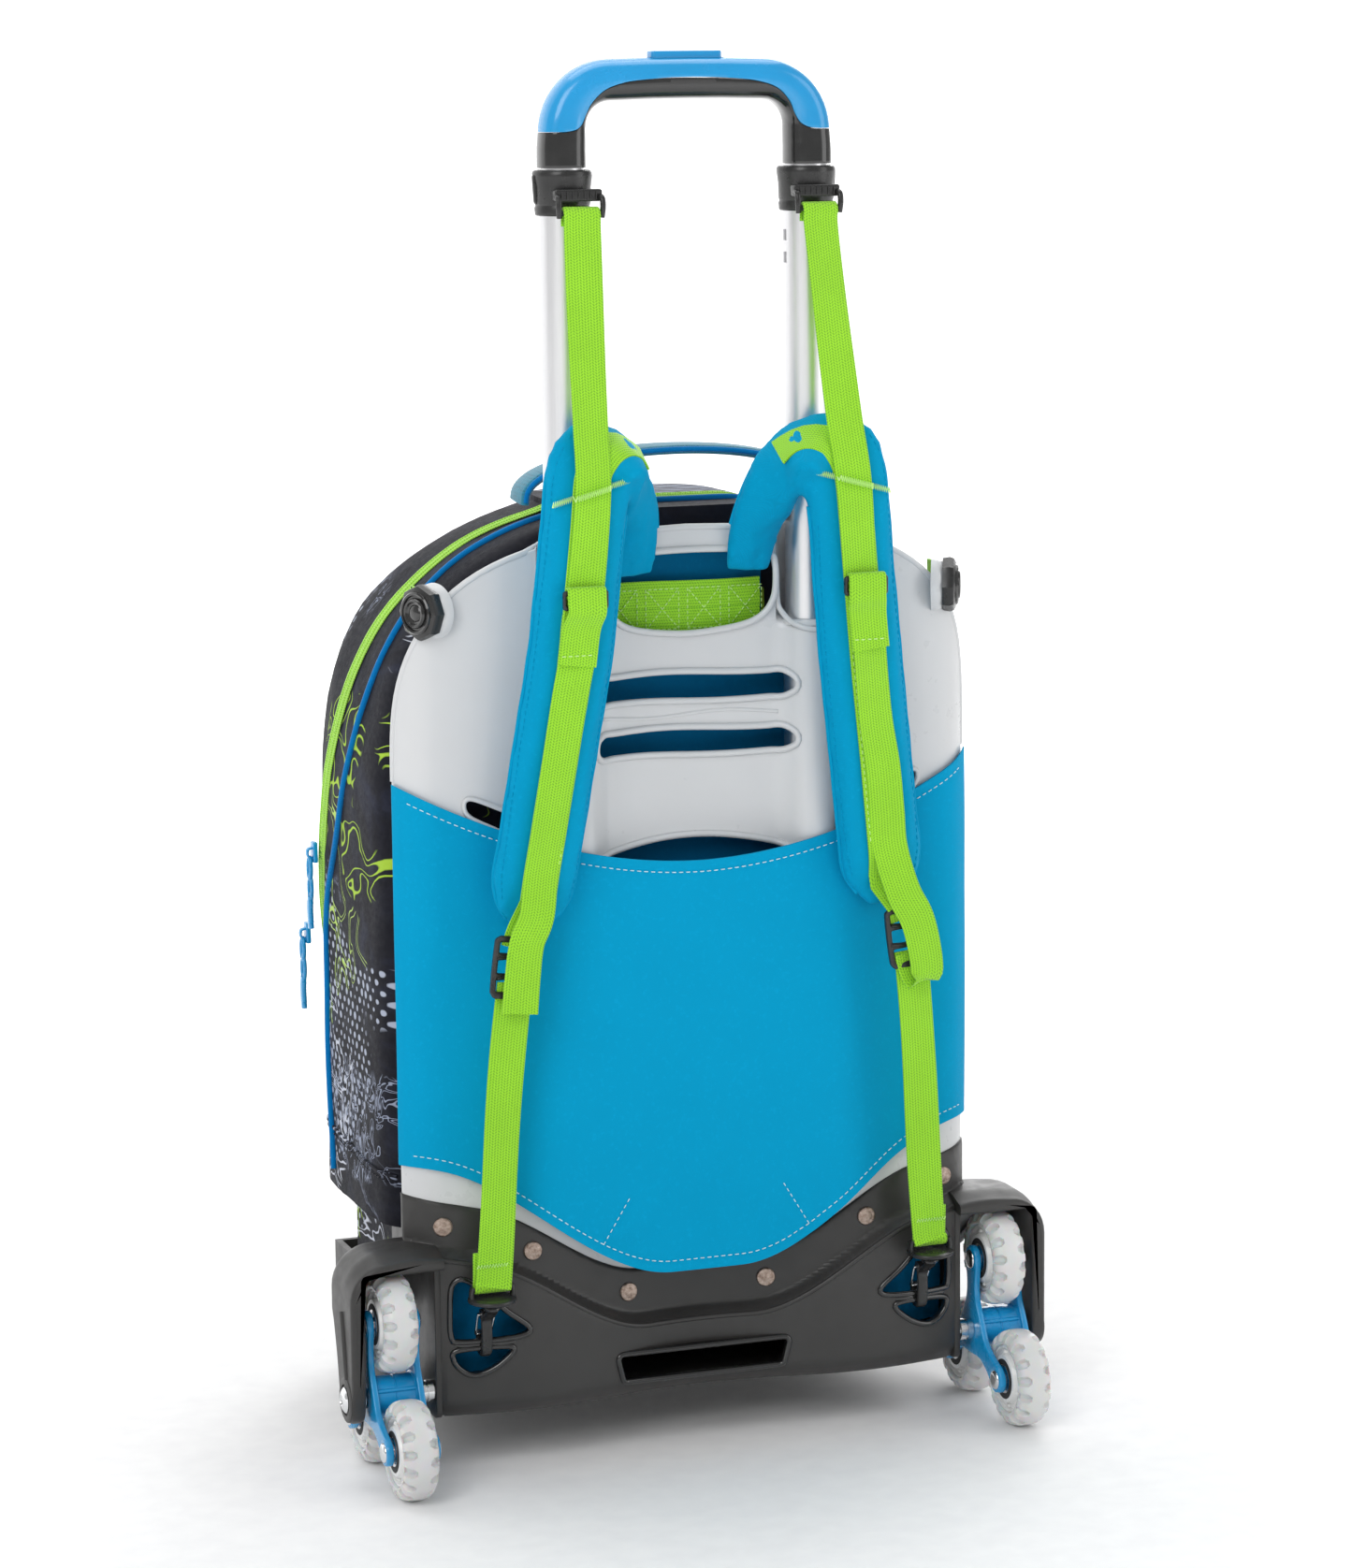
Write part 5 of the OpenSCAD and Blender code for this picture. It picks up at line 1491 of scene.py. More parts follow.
verts.append((0, cy, BAG_TOP - 0.1))
for k in range(COUNT):
    faces.append((top_ring + k, top_ring + (k + 1) % COUNT, c_top))
# lower part, between the wheel housings
low_w = WALL_IN - 10
inner_levels = [WALL_LINE - 1, WALL_LINE - 25, WALL_LINE - 50, BAG_LOW[2] + 6, BAG_LOW[2] + 0.5]
start = len(verts)
for z in inner_levels:
    shrink = 0.97 if z > BAG_LOW[2] + 10 else 0.95
    for k in range(COUNT):
        x, y, _ = verts[k]
        verts.append((max(-low_w, min(low_w, x)) * shrink / 0.97, min(y, BAG_FRONT - 26), z))
for k in range(COUNT):
    kk = (k + 1) % COUNT
    faces.append((start + k, start + kk, kk, k))
for i in range(len(inner_levels) - 1):
    for k in range(COUNT):
        kk = (k + 1) % COUNT
        a = start + i * COUNT
        faces.append((a + COUNT + k, a + COUNT + kk, a + kk, a + k))
a = start + (len(inner_levels) - 1) * COUNT
c_low = len(verts)
verts.append((0, 20, BAG_LOW[2] + 0.3))
for k in range(COUNT):
    faces.append((a + (k + 1) % COUNT, a + k, c_low))
bag = make("bag", verts, faces, PRINT, None, 60)
fix_normals(bag)


def bag_surface():
    me = bag.data
    return BVHTree.FromPolygons([v.co * 1000 for v in me.vertices], [tuple(p.vertices) for p in me.polygons])


TREE = bag_surface()


def side_point(y, z, s, out=0.0):
    """Point on the bag's side at a depth and height, moved out along the surface's normal."""
    centre = Vector((0, y, min(z, BAG_TOP - 150)))
    goal = Vector((s * 400, y, z + (z - centre.z) * 2.0)) if z > BAG_TOP - 150 else Vector((s * 400, y, z))
    direction = (goal - centre).normalized()
    hit, normal, _, _ = TREE.ray_cast(centre, direction)
    if hit is None:
        return None
    if normal.dot(direction) < 0:
        normal = -normal
    return hit + normal * out


def arch_path(y_of_z, z_start, out, n=120):
    """Path up the left side, over the top and down the right side of the bag, on its surface."""
    pts = []
    for i in range(n + 1):
        f = i / n
        # walk by height up the side, then by angle over the top
        if f < 0.5:
            g = f / 0.5
            s = -1
        else:
            g = (1 - f) / 0.5
            s = 1
        a = g * 90
        z_dir = z_start + (BAG_TOP - z_start) * math.sin(math.radians(a))
        base_z = BAG_TOP - 170
        if z_dir < base_z:
            y = y_of_z(z_dir)
            o = Vector((0, y, z_dir))
            d = Vector((s, 0, 0))
        else:
            t = (z_dir - base_z) / (BAG_TOP - base_z)
            t = math.degrees(math.asin(min(1, t)))
            ang = math.radians(t)
            y = y_of_z(base_z + (BAG_TOP - base_z) * math.sin(ang))
            o = Vector((0, y, base_z))
            d = Vector((s * math.cos(ang), 0, math.sin(ang)))
        hit, normal, _, _ = TREE.ray_cast(o, d)
        if hit is None:
            continue
        if normal.dot(d) < 0:
            normal = -normal
        flat = Vector((normal.x, 0, normal.z)).normalized()
        pts.append((hit + flat * out, flat))
    return pts


def on_arch(y_of_z, z_start, out, n=150):
    """Smoothed path of a tape over the bag, and its side directions."""
    pts = arch_path(y_of_z, z_start, out, n)
    path = soften([p for p, _ in pts], 3)
    return path, [normal.cross(t) for (_, normal), t in zip(pts, tangents(path))]


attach(bag, "frame")
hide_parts("bag_body")

Z_RING = ROOF_Z + 42


zp, zs = on_arch(zip_y, Z_RING, 0.9)
tape = sweep("zip_tape", zp, round_section(13.5, 0.9, n=2), LIME_EDGE, side=zs)
ribs = []
for off in (-3.3, 3.3):
    ribs.append(rod("zip_rib", [p + s_ * off for p, s_ in zip(zp, zs)], 1.15, LIME_EDGE, 8))
# coil teeth between the ribs
fine = resample(zp, 620)
verts, faces = [], []
for i in range(0, 619, 2):
    p, q = fine[i], fine[i + 1]
    k = min(len(zs) - 1, int(i / 620 * len(zs)))
    s_ = zs[k].normalized()
    t = (q - p).normalized()
    u = t.cross(s_).normalized()
    base = len(verts)
    # one tooth on each face, so the coil shows whichever way the tape turns
    for side in (1, -1):
        for du, half_t, half_s in ((-0.2, 0.5, 1.5), (0.9, 0.35, 1.2)):
            for dt, ds in ((-1, -1), (1, -1), (1, 1), (-1, 1)):
                verts.append(p + t * (dt * half_t) + s_ * (ds * half_s) + u * (du * side))
    for b in (base, base + 8):
        faces += [(b + j, b + (j + 1) % 4, b + 4 + (j + 1) % 4, b + 4 + j) for j in range(4)]
        faces.append((b + 4, b + 5, b + 6, b + 7))
teeth = make("zip_coil", verts, faces, LIME_EDGE, None, 40)
zipper = join("zipper", [tape, teeth] + ribs)
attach(zipper, "frame")
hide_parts("main_zipper")


def piping_y(z):
    """Runs beside the zip at the top and away from it lower down."""
    table = [(150, 56), (169, 63), (239, 70), (295, 59), (342, 29), (393, 5), (445, -14), (487, -20),
             (530, -30)]
    for (a, b), (c, d) in zip(table, table[1:]):
        if z <= c:
            t = max(0, (z - a) / (c - a))
            return b + (d - b) * t
    return table[-1][1]


pp, ps = on_arch(lambda z: min(piping_y(z), zip_y(z) - 9), Z_RING - 30, 1.0)
piping = rod("piping", pp, 1.9, PIPING, 10)
edge = sweep("piping_flange", [p + s_ * 1.6 for p, s_ in zip(pp, ps)], round_section(4.0, 0.8, n=2), PIPING,
             side=ps)
pipe = join("side_pipe", [piping, edge])
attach(pipe, "frame")
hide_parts("side_piping")

# horizontal seam low on the sides
seams = []
for s in (-1, 1):
    row = []
    for i in range(50):
        y = BAG_BACK + 14 + (BAG_FRONT - 45 - BAG_BACK - 14) * i / 49
        p = side_point(y, 160 + 3 * math.sin(y * 0.02), s, 0.5)
        if p:
            row.append(p)
    seams.append(rod("low_seam", row, 0.9, PRINT, 8))
    seams.append(stitches("seam_thread", [p + Vector((0, 0, -3.5)) for p in row], DARK_TAPE, 2.4, 1.2, 0.3,
                          lift=lambda q, s=s: Vector((s, 0, 0))))
seam = join("bag_seams", seams)
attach(seam, "frame")

# ------------------------------------------------------------------ harness
FOLD_Z = PANEL_TOP + 42
GRIP_REACH_Z = FOLD_Z - 11
PAD_PATH = [(76, -39, FOLD_Z, 46, 10), (74, -39.5, FOLD_Z - 22, 50, 13), (82, -36, FOLD_Z - 102, 52, 13),
            (92, -28, FOLD_Z - 172, 52, 13),
            (99, -22, FOLD_Z - 222, 50, 12), (101, -20, FOLD_Z - 250, 16, 8)]
LOCK_X, LOCK_Y = 113.0, AXLE_Y - 31
LOCK_LOW, LOCK_HIGH = box_mm("ladder_locks")
LOCK_Z = (LOCK_LOW[2] + LOCK_HIGH[2]) / 2
STRAP_END_Y, STRAP_END_Z = AXLE_Y - 25, 112.0
DISC_Z = 102.0


def pad_at(z):
    rows = PAD_PATH
    if z >= rows[0][2]:
        return rows[0]
    for a, b in zip(rows, rows[1:]):
        if a[2] >= z >= b[2]:
            t = (z - a[2]) / (b[2] - a[2])
            return tuple(p + (q - p) * t for p, q in zip(a, b))
    return rows[-1]


def settle(ob, voxel, pressure, cap, pinned=None, frames_n=18, smooth=2, shrink=-0.02):
    """Lets the cover fill out and wrinkle under a little pressure, with every point kept near its place."""
    modify(ob, "REMESH", mode="VOXEL", voxel_size=voxel * MM)
    apply_all(ob)
    me = ob.data
    home = [v.co.copy() for v in me.vertices]
    group = ob.vertex_groups.new(name="pin")
    for v in me.vertices:
        w = pinned(v.co * 1000) if pinned else 0.0
        if w > 0:
            group.add([v.index], w, "REPLACE")
    cloth = modify(ob, "CLOTH")
    st = cloth.settings
    st.quality = 6
    st.mass = 0.15
    st.tension_stiffness = 14
    st.compression_stiffness = 14
    st.shear_stiffness = 6
    st.bending_stiffness = 0.15
    st.use_pressure = True
    st.uniform_pressure_force = pressure
    st.shrink_min = shrink
    st.vertex_group_mass = "pin"
    st.effector_weights.gravity = 0
    cloth.collision_settings.use_collision = False
    cloth.point_cache.frame_start = 1
    cloth.point_cache.frame_end = frames_n
    for f in range(1, frames_n + 1):
        scene.frame_set(f)
    apply_all(ob)
    for v, h in zip(ob.data.vertices, home):
        d = (v.co - h)
        if d.length > cap * MM:
            v.co = h + d.normalized() * cap * MM
    scene.frame_set(1)
    ob.vertex_groups.clear()
    if smooth:
        modify(ob, "SMOOTH", factor=0.5, iterations=smooth)
        modify(ob, "SUBSURF", levels=1, render_levels=1)
        apply_all(ob)
    ob.data.materials.clear()
    ob.data.materials.append(PADCLOTH)
    resharp(ob, 70)


def build_pad(s):
    """One stuffed strap: up the front, over the fold and down behind to the anchor band."""
    rows = [(101, -20, FOLD_Z - 252, 15, 6), (100.5, -20.5, FOLD_Z - 246, 26, 8.5),
            (100, -21, FOLD_Z - 236, 44, 11), (99, -22, FOLD_Z - 222, 50.5, 12.5),
            (95.5, -25, FOLD_Z - 197, 52, 13), (92, -28, FOLD_Z - 172, 52, 13),
            (87, -32, FOLD_Z - 137, 52, 13), (82, -36, FOLD_Z - 102, 52, 13),
            (78, -38, FOLD_Z - 62, 51, 13), (74.5, -39.5, FOLD_Z - 26, 50, 13),
            (73, -39.0, FOLD_Z - 10, 49, 12)]
    up = (1, 0, 0.0)
    path = [((x, AXLE_Y + y, z), w, t, up) for x, y, z, w, t in rows]
    path += [((70.5, AXLE_Y - 38.5, FOLD_Z - 3), 47, 11, (0.97, 0.06, 0.18)),
             ((64, AXLE_Y - 37, FOLD_Z + 2), 45, 10.5, (0.80, 0.30, 0.45)),
             ((56, AXLE_Y - 34.5, FOLD_Z + 3.5), 43, 10, (0.50, 0.62, 0.55)),
             ((48, AXLE_Y - 31, FOLD_Z + 1), 40, 10, (0.15, 0.82, 0.50)),
             ((42, AXLE_Y - 25, FOLD_Z - 9), 36, 10, (-0.30, 0.85, 0.30)),
             ((37.5, AXLE_Y - 16, FOLD_Z - 24), 33, 10, (-0.75, 0.62, 0.10)),
             ((34, AXLE_Y - 4, FOLD_Z - 42), 31, 9.5, (-0.97, 0.20, 0)),
             ((32.5, AXLE_Y + 3, FOLD_Z - 58), 29, 7.5, (-1, 0, 0)),
             ((31.5, AXLE_Y + 8, FOLD_Z - 68), 27, 4.5, (-1, 0, 0))]
    n = 90
    centre = spline([p[0] for p in path], n)
    run = [0.0]
    for a, b in zip(path, path[1:]):
        run.append(run[-1] + math.dist(a[0], b[0]))
    sides, scale = [], []
    for i in range(n + 1):
        s_at = run[-1] * i / n
        j = 0
        while j < len(run) - 2 and run[j + 1] < s_at:
            j += 1
        t = (s_at - run[j]) / (run[j + 1] - run[j])
        w = path[j][1] + (path[j + 1][1] - path[j][1]) * t
        th = path[j][2] + (path[j + 1][2] - path[j][2]) * t
        sd = Vector(path[j][3]).lerp(Vector(path[j + 1][3]), t)
        sides.append(sd)
        scale.append((w / 50.0, th / 12.0))
    sec = round_section(50.0, 9.5, 4.2, 4, crown=1.6)

    def gather(i, j, r):
        f = i / n
        u = sec[j][0] / 25.0
        end = smooth_step((f - 0.86) / 0.12)
        pleat = end * 1.5 * math.sin(u * 9.0 + 0.6) * (1 if sec[j][1] > 0 else -1)
        quilt = 0.35 * noise.noise(Vector((u * 2.0, f * 14.0, s * 3.0)))
        return Vector((0, pleat + quilt, 0))
    ob = sweep("pad", centre, sec, PADCLOTH, side=sides, scale=scale, angle=70, sag=gather)
    if s < 0:
        flip_x(ob)
    ob.data.update()
    settle(ob, 3.6, 3.2, 2.6, pinned=lambda p: smooth_step((FOLD_Z - 240 - p.z) / 8), smooth=1)
    # the lowered grip passes behind the fold
    for v in ob.data.vertices:
        if v.co.z > GRIP_REACH_Z * MM:
            v.co.y = min(v.co.y, (AXLE_Y - 9.8) * MM)
    ob.data.update()
    tree = BVHTree.FromPolygons([v.co * 1000 for v in ob.data.vertices],
                                [tuple(p.vertices) for p in ob.data.polygons])

    def skin(q, out, lift):
        """Point on the cover where a line from outside towards q meets it, lifted off by a little."""
        hit, _, _, _ = tree.ray_cast(q + out * 22, -out)
        return (hit if hit is not None else q) + out * lift
    # piped seams along both edges, and rows of quilting stitches
    fr = frames(centre, sides)
    trims = []
    for edge in (-1, 1):
        rail = []
        for i in range(2, n - 6 if edge > 0 else 58):
            t, sd, nrm = fr[i]
            k = scale[i]
            q = centre[i] + sd * (edge * 25.2 * k[0])
            near = tree.find_nearest(Vector((q.x * s, q.y, q.z)))[0]
            rail.append(near)
        trims.append(rod("pad_seam", soften(rail, 3), 1.3, PADCLOTH, 8))
    thread_rows = []
    for edge in (-1, 1):
        rail = []
        for i in range(5, n - 22 if edge > 0 else 56):
            t, sd, nrm = fr[i]
            k = scale[i]
            out = nrm * (1 if fr[30][2].y < 0 else -1)
            q = centre[i] + sd * (edge * 20.4 * k[0])
            rail.append(skin(Vector((q.x * s, q.y, q.z)), Vector((out.x * s, out.y, out.z)), 0.15))
        thread_rows.append(stitches("pad_thread", rail, PADCLOTH, 2.6, 1.4, 0.28))
    trim = join("pad_trim", trims + thread_rows)
    for v in trim.data.vertices:
        if v.co.z > GRIP_REACH_Z * MM:
            v.co.y = min(v.co.y, (AXLE_Y - 9.0) * MM)
    return ob, trim, centre, fr, scale, tree


PADS = {}
for side_name, s in (("left", -1), ("right", 1)):
    pad, trim, centre, fr, scale, tree = build_pad(s)
    PADS[side_name] = (centre, fr, scale, tree)
    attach(pad, "frame")
    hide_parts("shoulder_pad_" + side_name)
    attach(trim, "frame")

# webbing sewn on the pads: from the ladder locks up the front and over the fold
parts = []
for s in (-1, 1):
    centre, fr, scale, tree = PADS["left" if s < 0 else "right"]
    line, sides = [], []
    over = next(i for i, q in enumerate(centre) if i > 40 and q.x < 44)
    for i in range(4, over):
        t, sd, nrm = fr[i]
        out = nrm * (1 if fr[30][2].y < 0 else -1)
        out = Vector((out.x * s, out.y, out.z))
        lift = 0.0
        for off in (-9, -5, 0, 5, 9):
            q = centre[i] + sd * off
            q = Vector((q.x * s, q.y, q.z))
            hit, _, _, _ = tree.ray_cast(q + out * 22, -out)
            if hit is not None:
                lift = max(lift, (hit - q).dot(out))
        q = centre[i]
        line.append(Vector((q.x * s, q.y, q.z)) + out * (max(lift, 4.0 * scale[i][1]) + 0.8))
        sides.append(Vector((sd.x * s, sd.y, sd.z)))
    line = soften(line, 4)
    lock_top = [Vector((s * (LOCK_X - 1.5), LOCK_Y + 0.4, LOCK_Z + 10)),
                Vector((s * (LOCK_X - 4.5), LOCK_Y - 1.4, LOCK_Z + 19))]
    line = lock_top + line
    sides = [Vector((s, 0, 0.15))] * 2 + sides
    parts.append(ribbon("pad_web", line, LIME, WEB_W, 1.4, side=sides))
    row = [p + Vector((8.6 * s, -0.9, 0)) for p in line[8:56]]
    row2 = [p + Vector((-8.6 * s, -0.9, 0)) for p in line[8:56]]
    parts += [stitches("web_thread", row, LIME_THREAD, 2.4, 1.4, 0.26),
              stitches("web_thread", row2, LIME_THREAD, 2.4, 1.4, 0.26)]
webs = join("pad_webs", parts)
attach(webs, "frame")
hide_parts("pad_webbings")


def pad_front(z, lift):
    """Point in front of the pad's cover, with room for the webbing that is sewn on it."""
    x, y, _, w, t = pad_at(z)
    front = AXLE_Y + y - t / 2
    for key, s in (("left", -1), ("right", 1)):
        for off in (-9, 0, 9):
            hit, _, _, _ = PADS[key][3].ray_cast(Vector((s * x + off, front - 40, z)), Vector((0, 1, 0)))
            if hit is not None:
                front = min(front, hit.y)
    return Vector((x, front - max(0.6, lift - 2.0), z))


def bar_tack(p, width, mat, dense=0.55, tall=2.2, side=Vector((1, 0, 0))):
    """Zigzag of thread across a strap."""
    n_z = int(width / dense)
    pts = []
    for i in range(n_z + 1):
        f = i / n_z - 0.5
        pts.append(p + side * (f * width) + Vector((0, 0, tall / 2 if i % 2 else -tall / 2)))
    return rod("tack", pts, 0.34, mat, 5)


# upper webbings: from the clips to the keepers
UP_LOW = box_mm("upper_webbings")[0][2]
parts = []
for s in (-1, 1):
    x0 = s * CLIP_X
    y0 = CLIP_Y - 3
    pts = [(x0, y0 + 2.9, CLIP_Z - 7), (x0, y0 + 2.7, CLIP_Z - 1), (x0, y0 + 1.2, CLIP_Z + 2.2),
           (x0, y0 - 1.2, CLIP_Z + 2.2), (x0, y0 - 3.0, CLIP_Z - 1.5),
           (x0, y0 - 2.8, CLIP_Z - 9)]
    mid = pad_front(FOLD_Z - 15, 5.2)
    low_p = pad_front(487, 4.4)
    for f in (0.25, 0.5, 0.75):
        a = Vector((x0, y0 - 2.8, CLIP_Z - 9))
        b = Vector((s * (mid.x - 2), mid.y, mid.z))
        p = a.lerp(b, f) + Vector((0, 1.6 * math.sin(math.pi * f), 0))
        pts.append(tuple(p))
    pts += [(s * (mid.x - 1.5), mid.y, mid.z), (s * (low_p.x - 1.0), low_p.y, low_p.z)]
    for z in (470, 458, UP_LOW + 1):
        q = pad_front(z, 4.6)
        pts.append((s * (q.x + 0.5), q.y, z))
    path = spline(pts, 120)
    sides = []
    for i in range(len(path)):
        f = i / (len(path) - 1)
        sides.append(Vector((1, 0.10 * s * math.sin(f * 9), 0.0)))
    parts.append(ribbon("upper_web", path, LIME, WEB_W, 1.4, side=sides))
    # the folded end closes round the keeper's bar, so only the keeper's ends show
    k_low, k_high = box_mm("strap_sliders")
    ky, kz = (k_low[1] + k_high[1]) / 2, (k_low[2] + k_high[2]) / 2
    xs = [pad_front(z, 4.6) for z in (kz, 465, UP_LOW + 1)]
    fold = spline([(s * xs[0].x, ky + 0.5, kz + 6.4), (s * xs[0].x, ky - 2.4, kz + 5.6),
                   (s * xs[0].x, ky - 3.1, kz), (s * xs[0].x, ky - 2.9, kz - 7),
                   (s * (xs[1].x + 0.3), xs[1].y - 3.1, 465),
                   (s * (xs[2].x + 0.5), xs[2].y - 3.0, UP_LOW + 1)], 60)
    parts.append(ribbon("upper_fold", fold, LIME, WEB_W + 1.2, 1.4, side=[Vector((1, 0, 0))] * len(fold)))
    parts.append(bar_tack(Vector((x0, y0 - 3.7, CLIP_Z - 19)), 18, LIME_THREAD, 0.7, 1.6))
    end = fold[-7]
    parts.append(stitches("fold_thread", [end + Vector((-9, -0.9, 1)), end + Vector((9, -0.9, 1))],
                          LIME_THREAD, 2.2, 1.0, 0.35))
upper = join("upper_straps", parts)
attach(upper, "frame")
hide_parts("upper_webbings")
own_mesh(upper)

# bar tacks across the pads at the fold
TACK_W = 44
parts = []
for s in (-1, 1):
    p = pad_front(FOLD_Z - 15, 0)
    side = Vector((0.96, 0, -0.26 * s))
    half = []
    for i in range(81):
        across = (i / 80 - 0.5) * TACK_W
        bulge = 6.0 * smooth_step((10.5 - abs(across)) / 1.0) * 0.9
        half.append(Vector((s * (p.x - 1), p.y - 0.6 - bulge, p.z)) + side * across
                    + Vector((0, 0, 1.3 if i % 2 else -1.3)))
    parts.append(rod("fold_tack", half, 0.5, LIME_THREAD, 6))
tacks = join("fold_tacks", parts)
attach(tacks, "frame")

# keepers
SL_LOW, SL_HIGH = box_mm("strap_sliders")
parts = []
for s in (-1, 1):
    x = (SL_LOW[0] + SL_LOW[0] + 25) / -2 * s
    y = (SL_LOW[1] + SL_HIGH[1]) / 2
    z = (SL_LOW[2] + SL_HIGH[2]) / 2
    loop = rounded_loop([(-12.4, -5.3), (12.4, -5.3), (12.4, 5.3), (-12.4, 5.3)], 2.2)
    hole = rounded_loop([(-10.6, -2.6), (-10.6, 2.6), (10.6, 2.6), (10.6, -2.6)], 0.8)
    bar = plate("keeper", [loop, hole], 3.2, BLACK, 0.9, 3)
    to_front(bar, 0)
    shift(bar, x, y, z)
    parts.append(bar)
sliders = join("keepers", parts)
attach(sliders, "frame")
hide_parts("strap_sliders")

# tails: out of the keepers, down over the pads to the ladder locks
parts = []
for s in (-1, 1):
    lean = 1.5 if s > 0 else 0.0
    pts = []
    for z in (SL_HIGH[2] - 6, 462, 450, 430, 405, 380, 355, 334):
        q = pad_front(z, 4.5 if z < 448 else 5.9)
        pts.append((s * (q.x + 0.6 + (lean if z < 400 else 0)), q.y, z))
    if s < 0:
        pts += [(s * 103, LOCK_Y - 6.5, 312), (s * 109, LOCK_Y - 7.2, LOCK_Z + 14),
                (s * 111.5, LOCK_Y - 6.8, LOCK_Z - 4), (s * 113, LOCK_Y - 5.8, LOCK_Z - 24)]
    else:
        pts += [(s * 107, LOCK_Y - 6.0, 310), (s * 115, LOCK_Y - 6.6, LOCK_Z + 10),
                (s * 119.5, LOCK_Y - 6.6, LOCK_Z - 8), (s * 121, LOCK_Y - 5.6, LOCK_Z - 21),
                (s * 118.5, LOCK_Y - 2.8, LOCK_Z - 24.5), (s * 115, LOCK_Y - 1.0, LOCK_Z - 17),
                (s * 113.5, LOCK_Y - 0.6, LOCK_Z - 9)]
    path = spline(pts, 110)
    sides = []
    for i in range(len(path)):
        f = i / (len(path) - 1)
        sides.append(Vector((1, 0.12 * s * math.sin(f * 7 + 0.5), 0.05 * s)))
    parts.append(ribbon("tail", path, LIME, WEB_W - 0.4, 1.4, side=sides))
tails = join("tails", parts)
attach(tails, "frame")
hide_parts("tail_webbings")

# ladder locks
parts = []
for s in (-1, 1):
    outer = rounded_loop([(-13.3, -14), (-11.5, -17), (11.5, -17), (13.3, -14), (13.3, 15), (10.5, 17),
                          (-10.5, 17), (-13.3, 15)], 2.5)
    holes_ = [rounded_loop([(-10.4, z0), (-10.4, z1), (10.4, z1), (10.4, z0)], 1.0)
              for z0, z1 in ((-13.2, -6.2), (-3.4, 4.4), (7.6, 13.6))]
    fr_ = plate("lock", [outer] + holes_, 3.4, BLACK, 1.0, 3)
    to_front(fr_, 0)
    slice_up(fr_, (), [-12, -8, -4, 0, 4, 8, 12])
    bend(fr_, lambda x, y, z: (x, y - 1.4 * (z / 17) ** 2 + 0.5, z))
    resharp(fr_, 35)
    place(fr_, Matrix.Translation((s * LOCK_X * MM, LOCK_Y * MM,
                                   LOCK_Z * MM)) @ Matrix.Rotation(math.radians(-7 * s), 4, "Y"))
    parts.append(fr_)
    for z in (-4.8, 6.0):
        parts.append(cross_rod("lock_bar", s * LOCK_X, LOCK_Y - 0.6, LOCK_Z + z, 11, 1.3, BLACK, 10, 0.2))
locks = join("locks", parts)
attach(locks, "frame")
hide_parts("ladder_locks")

# lower webbings: lock to swivel, with a loop and a tack at the swivel
parts = []
for s in (-1, 1):
    a = Vector((s * (LOCK_X + 0.8), LOCK_Y - 0.2, LOCK_Z - 8))
    b = Vector((s * BAR_X, STRAP_END_Y, STRAP_END_Z))
    pts = []
    for i in range(13):
        f = i / 12
        sway = Vector((0.9 * math.sin(f * 5.0) * s, 1.4 * math.sin(math.pi * f), 0))
        pts.append(a.lerp(b + Vector((0, -0.9, 0)), f) + sway)
    pts += [b + Vector((0, -1.9, -3.2)), b + Vector((0, 0, -5.6)), b + Vector((0, 1.9, -3.0)),
            b + Vector((0, 1.3, 4)), b + Vector((0, 0.8, 16))]
    path = spline(pts, 120)
    sides = [Vector((1, 0.06 * s * math.sin(i / 14), 0)) for i in range(len(path))]
    parts.append(ribbon("lower_web", path, LIME, WEB_W, 1.4, side=sides))
    parts.append(bar_tack(b + Vector((0, -1.9, 9)), 17, LIME_THREAD, 0.8, 1.8))
lower = join("lower_straps", parts)
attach(lower, "frame")
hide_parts("lower_webbings")

# swivels
parts = []
for s in (-1, 1):
    c = (s * BAR_X, STRAP_END_Y, DISC_Z)
    parts.append(turn("disc", [(2, -1.8), (11.5, -1.7), (13, -0.9), (13.3, 0), (13, 0.9), (11.2, 1.6),
                               (8, 1.3), (5, 1.9), (0.4, 2.0)], c, (0, 0, 1), BLACK, 56))
    parts.append(turn("neck", [(3.8, -1.6), (3.5, -2.6), (4.6, -3.6), (4.9, -4.8), (4.2, -6.0), (2.8, -6.6)],
                      c, (0, 0, 1), GLOSS_BLACK, 40))
    for t in (-1, 1):
        parts.append(sweep("ear", spline([(s * BAR_X + t * 11.2, STRAP_END_Y, DISC_Z + 0.5),
                                          (s * BAR_X + t * 11.6, STRAP_END_Y, DISC_Z + 4),
                                          (s * BAR_X + t * 10.8, STRAP_END_Y, DISC_Z + 7.6)], 10),
                                          round_section(4.4, 2.2, 1.0, 3), BLACK, side=(0, 1, 0)))
    parts.append(cross_rod("ear_bar", s * BAR_X, STRAP_END_Y, DISC_Z + 6, 11, 1.5, BLACK, 10))
swivels = join("swivels", parts)
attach(swivels, "frame")
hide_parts("hook_swivels")
BAR_Y = face(BAR_X) - 9.25
HOOK_Y = BAR_Y - 4.9
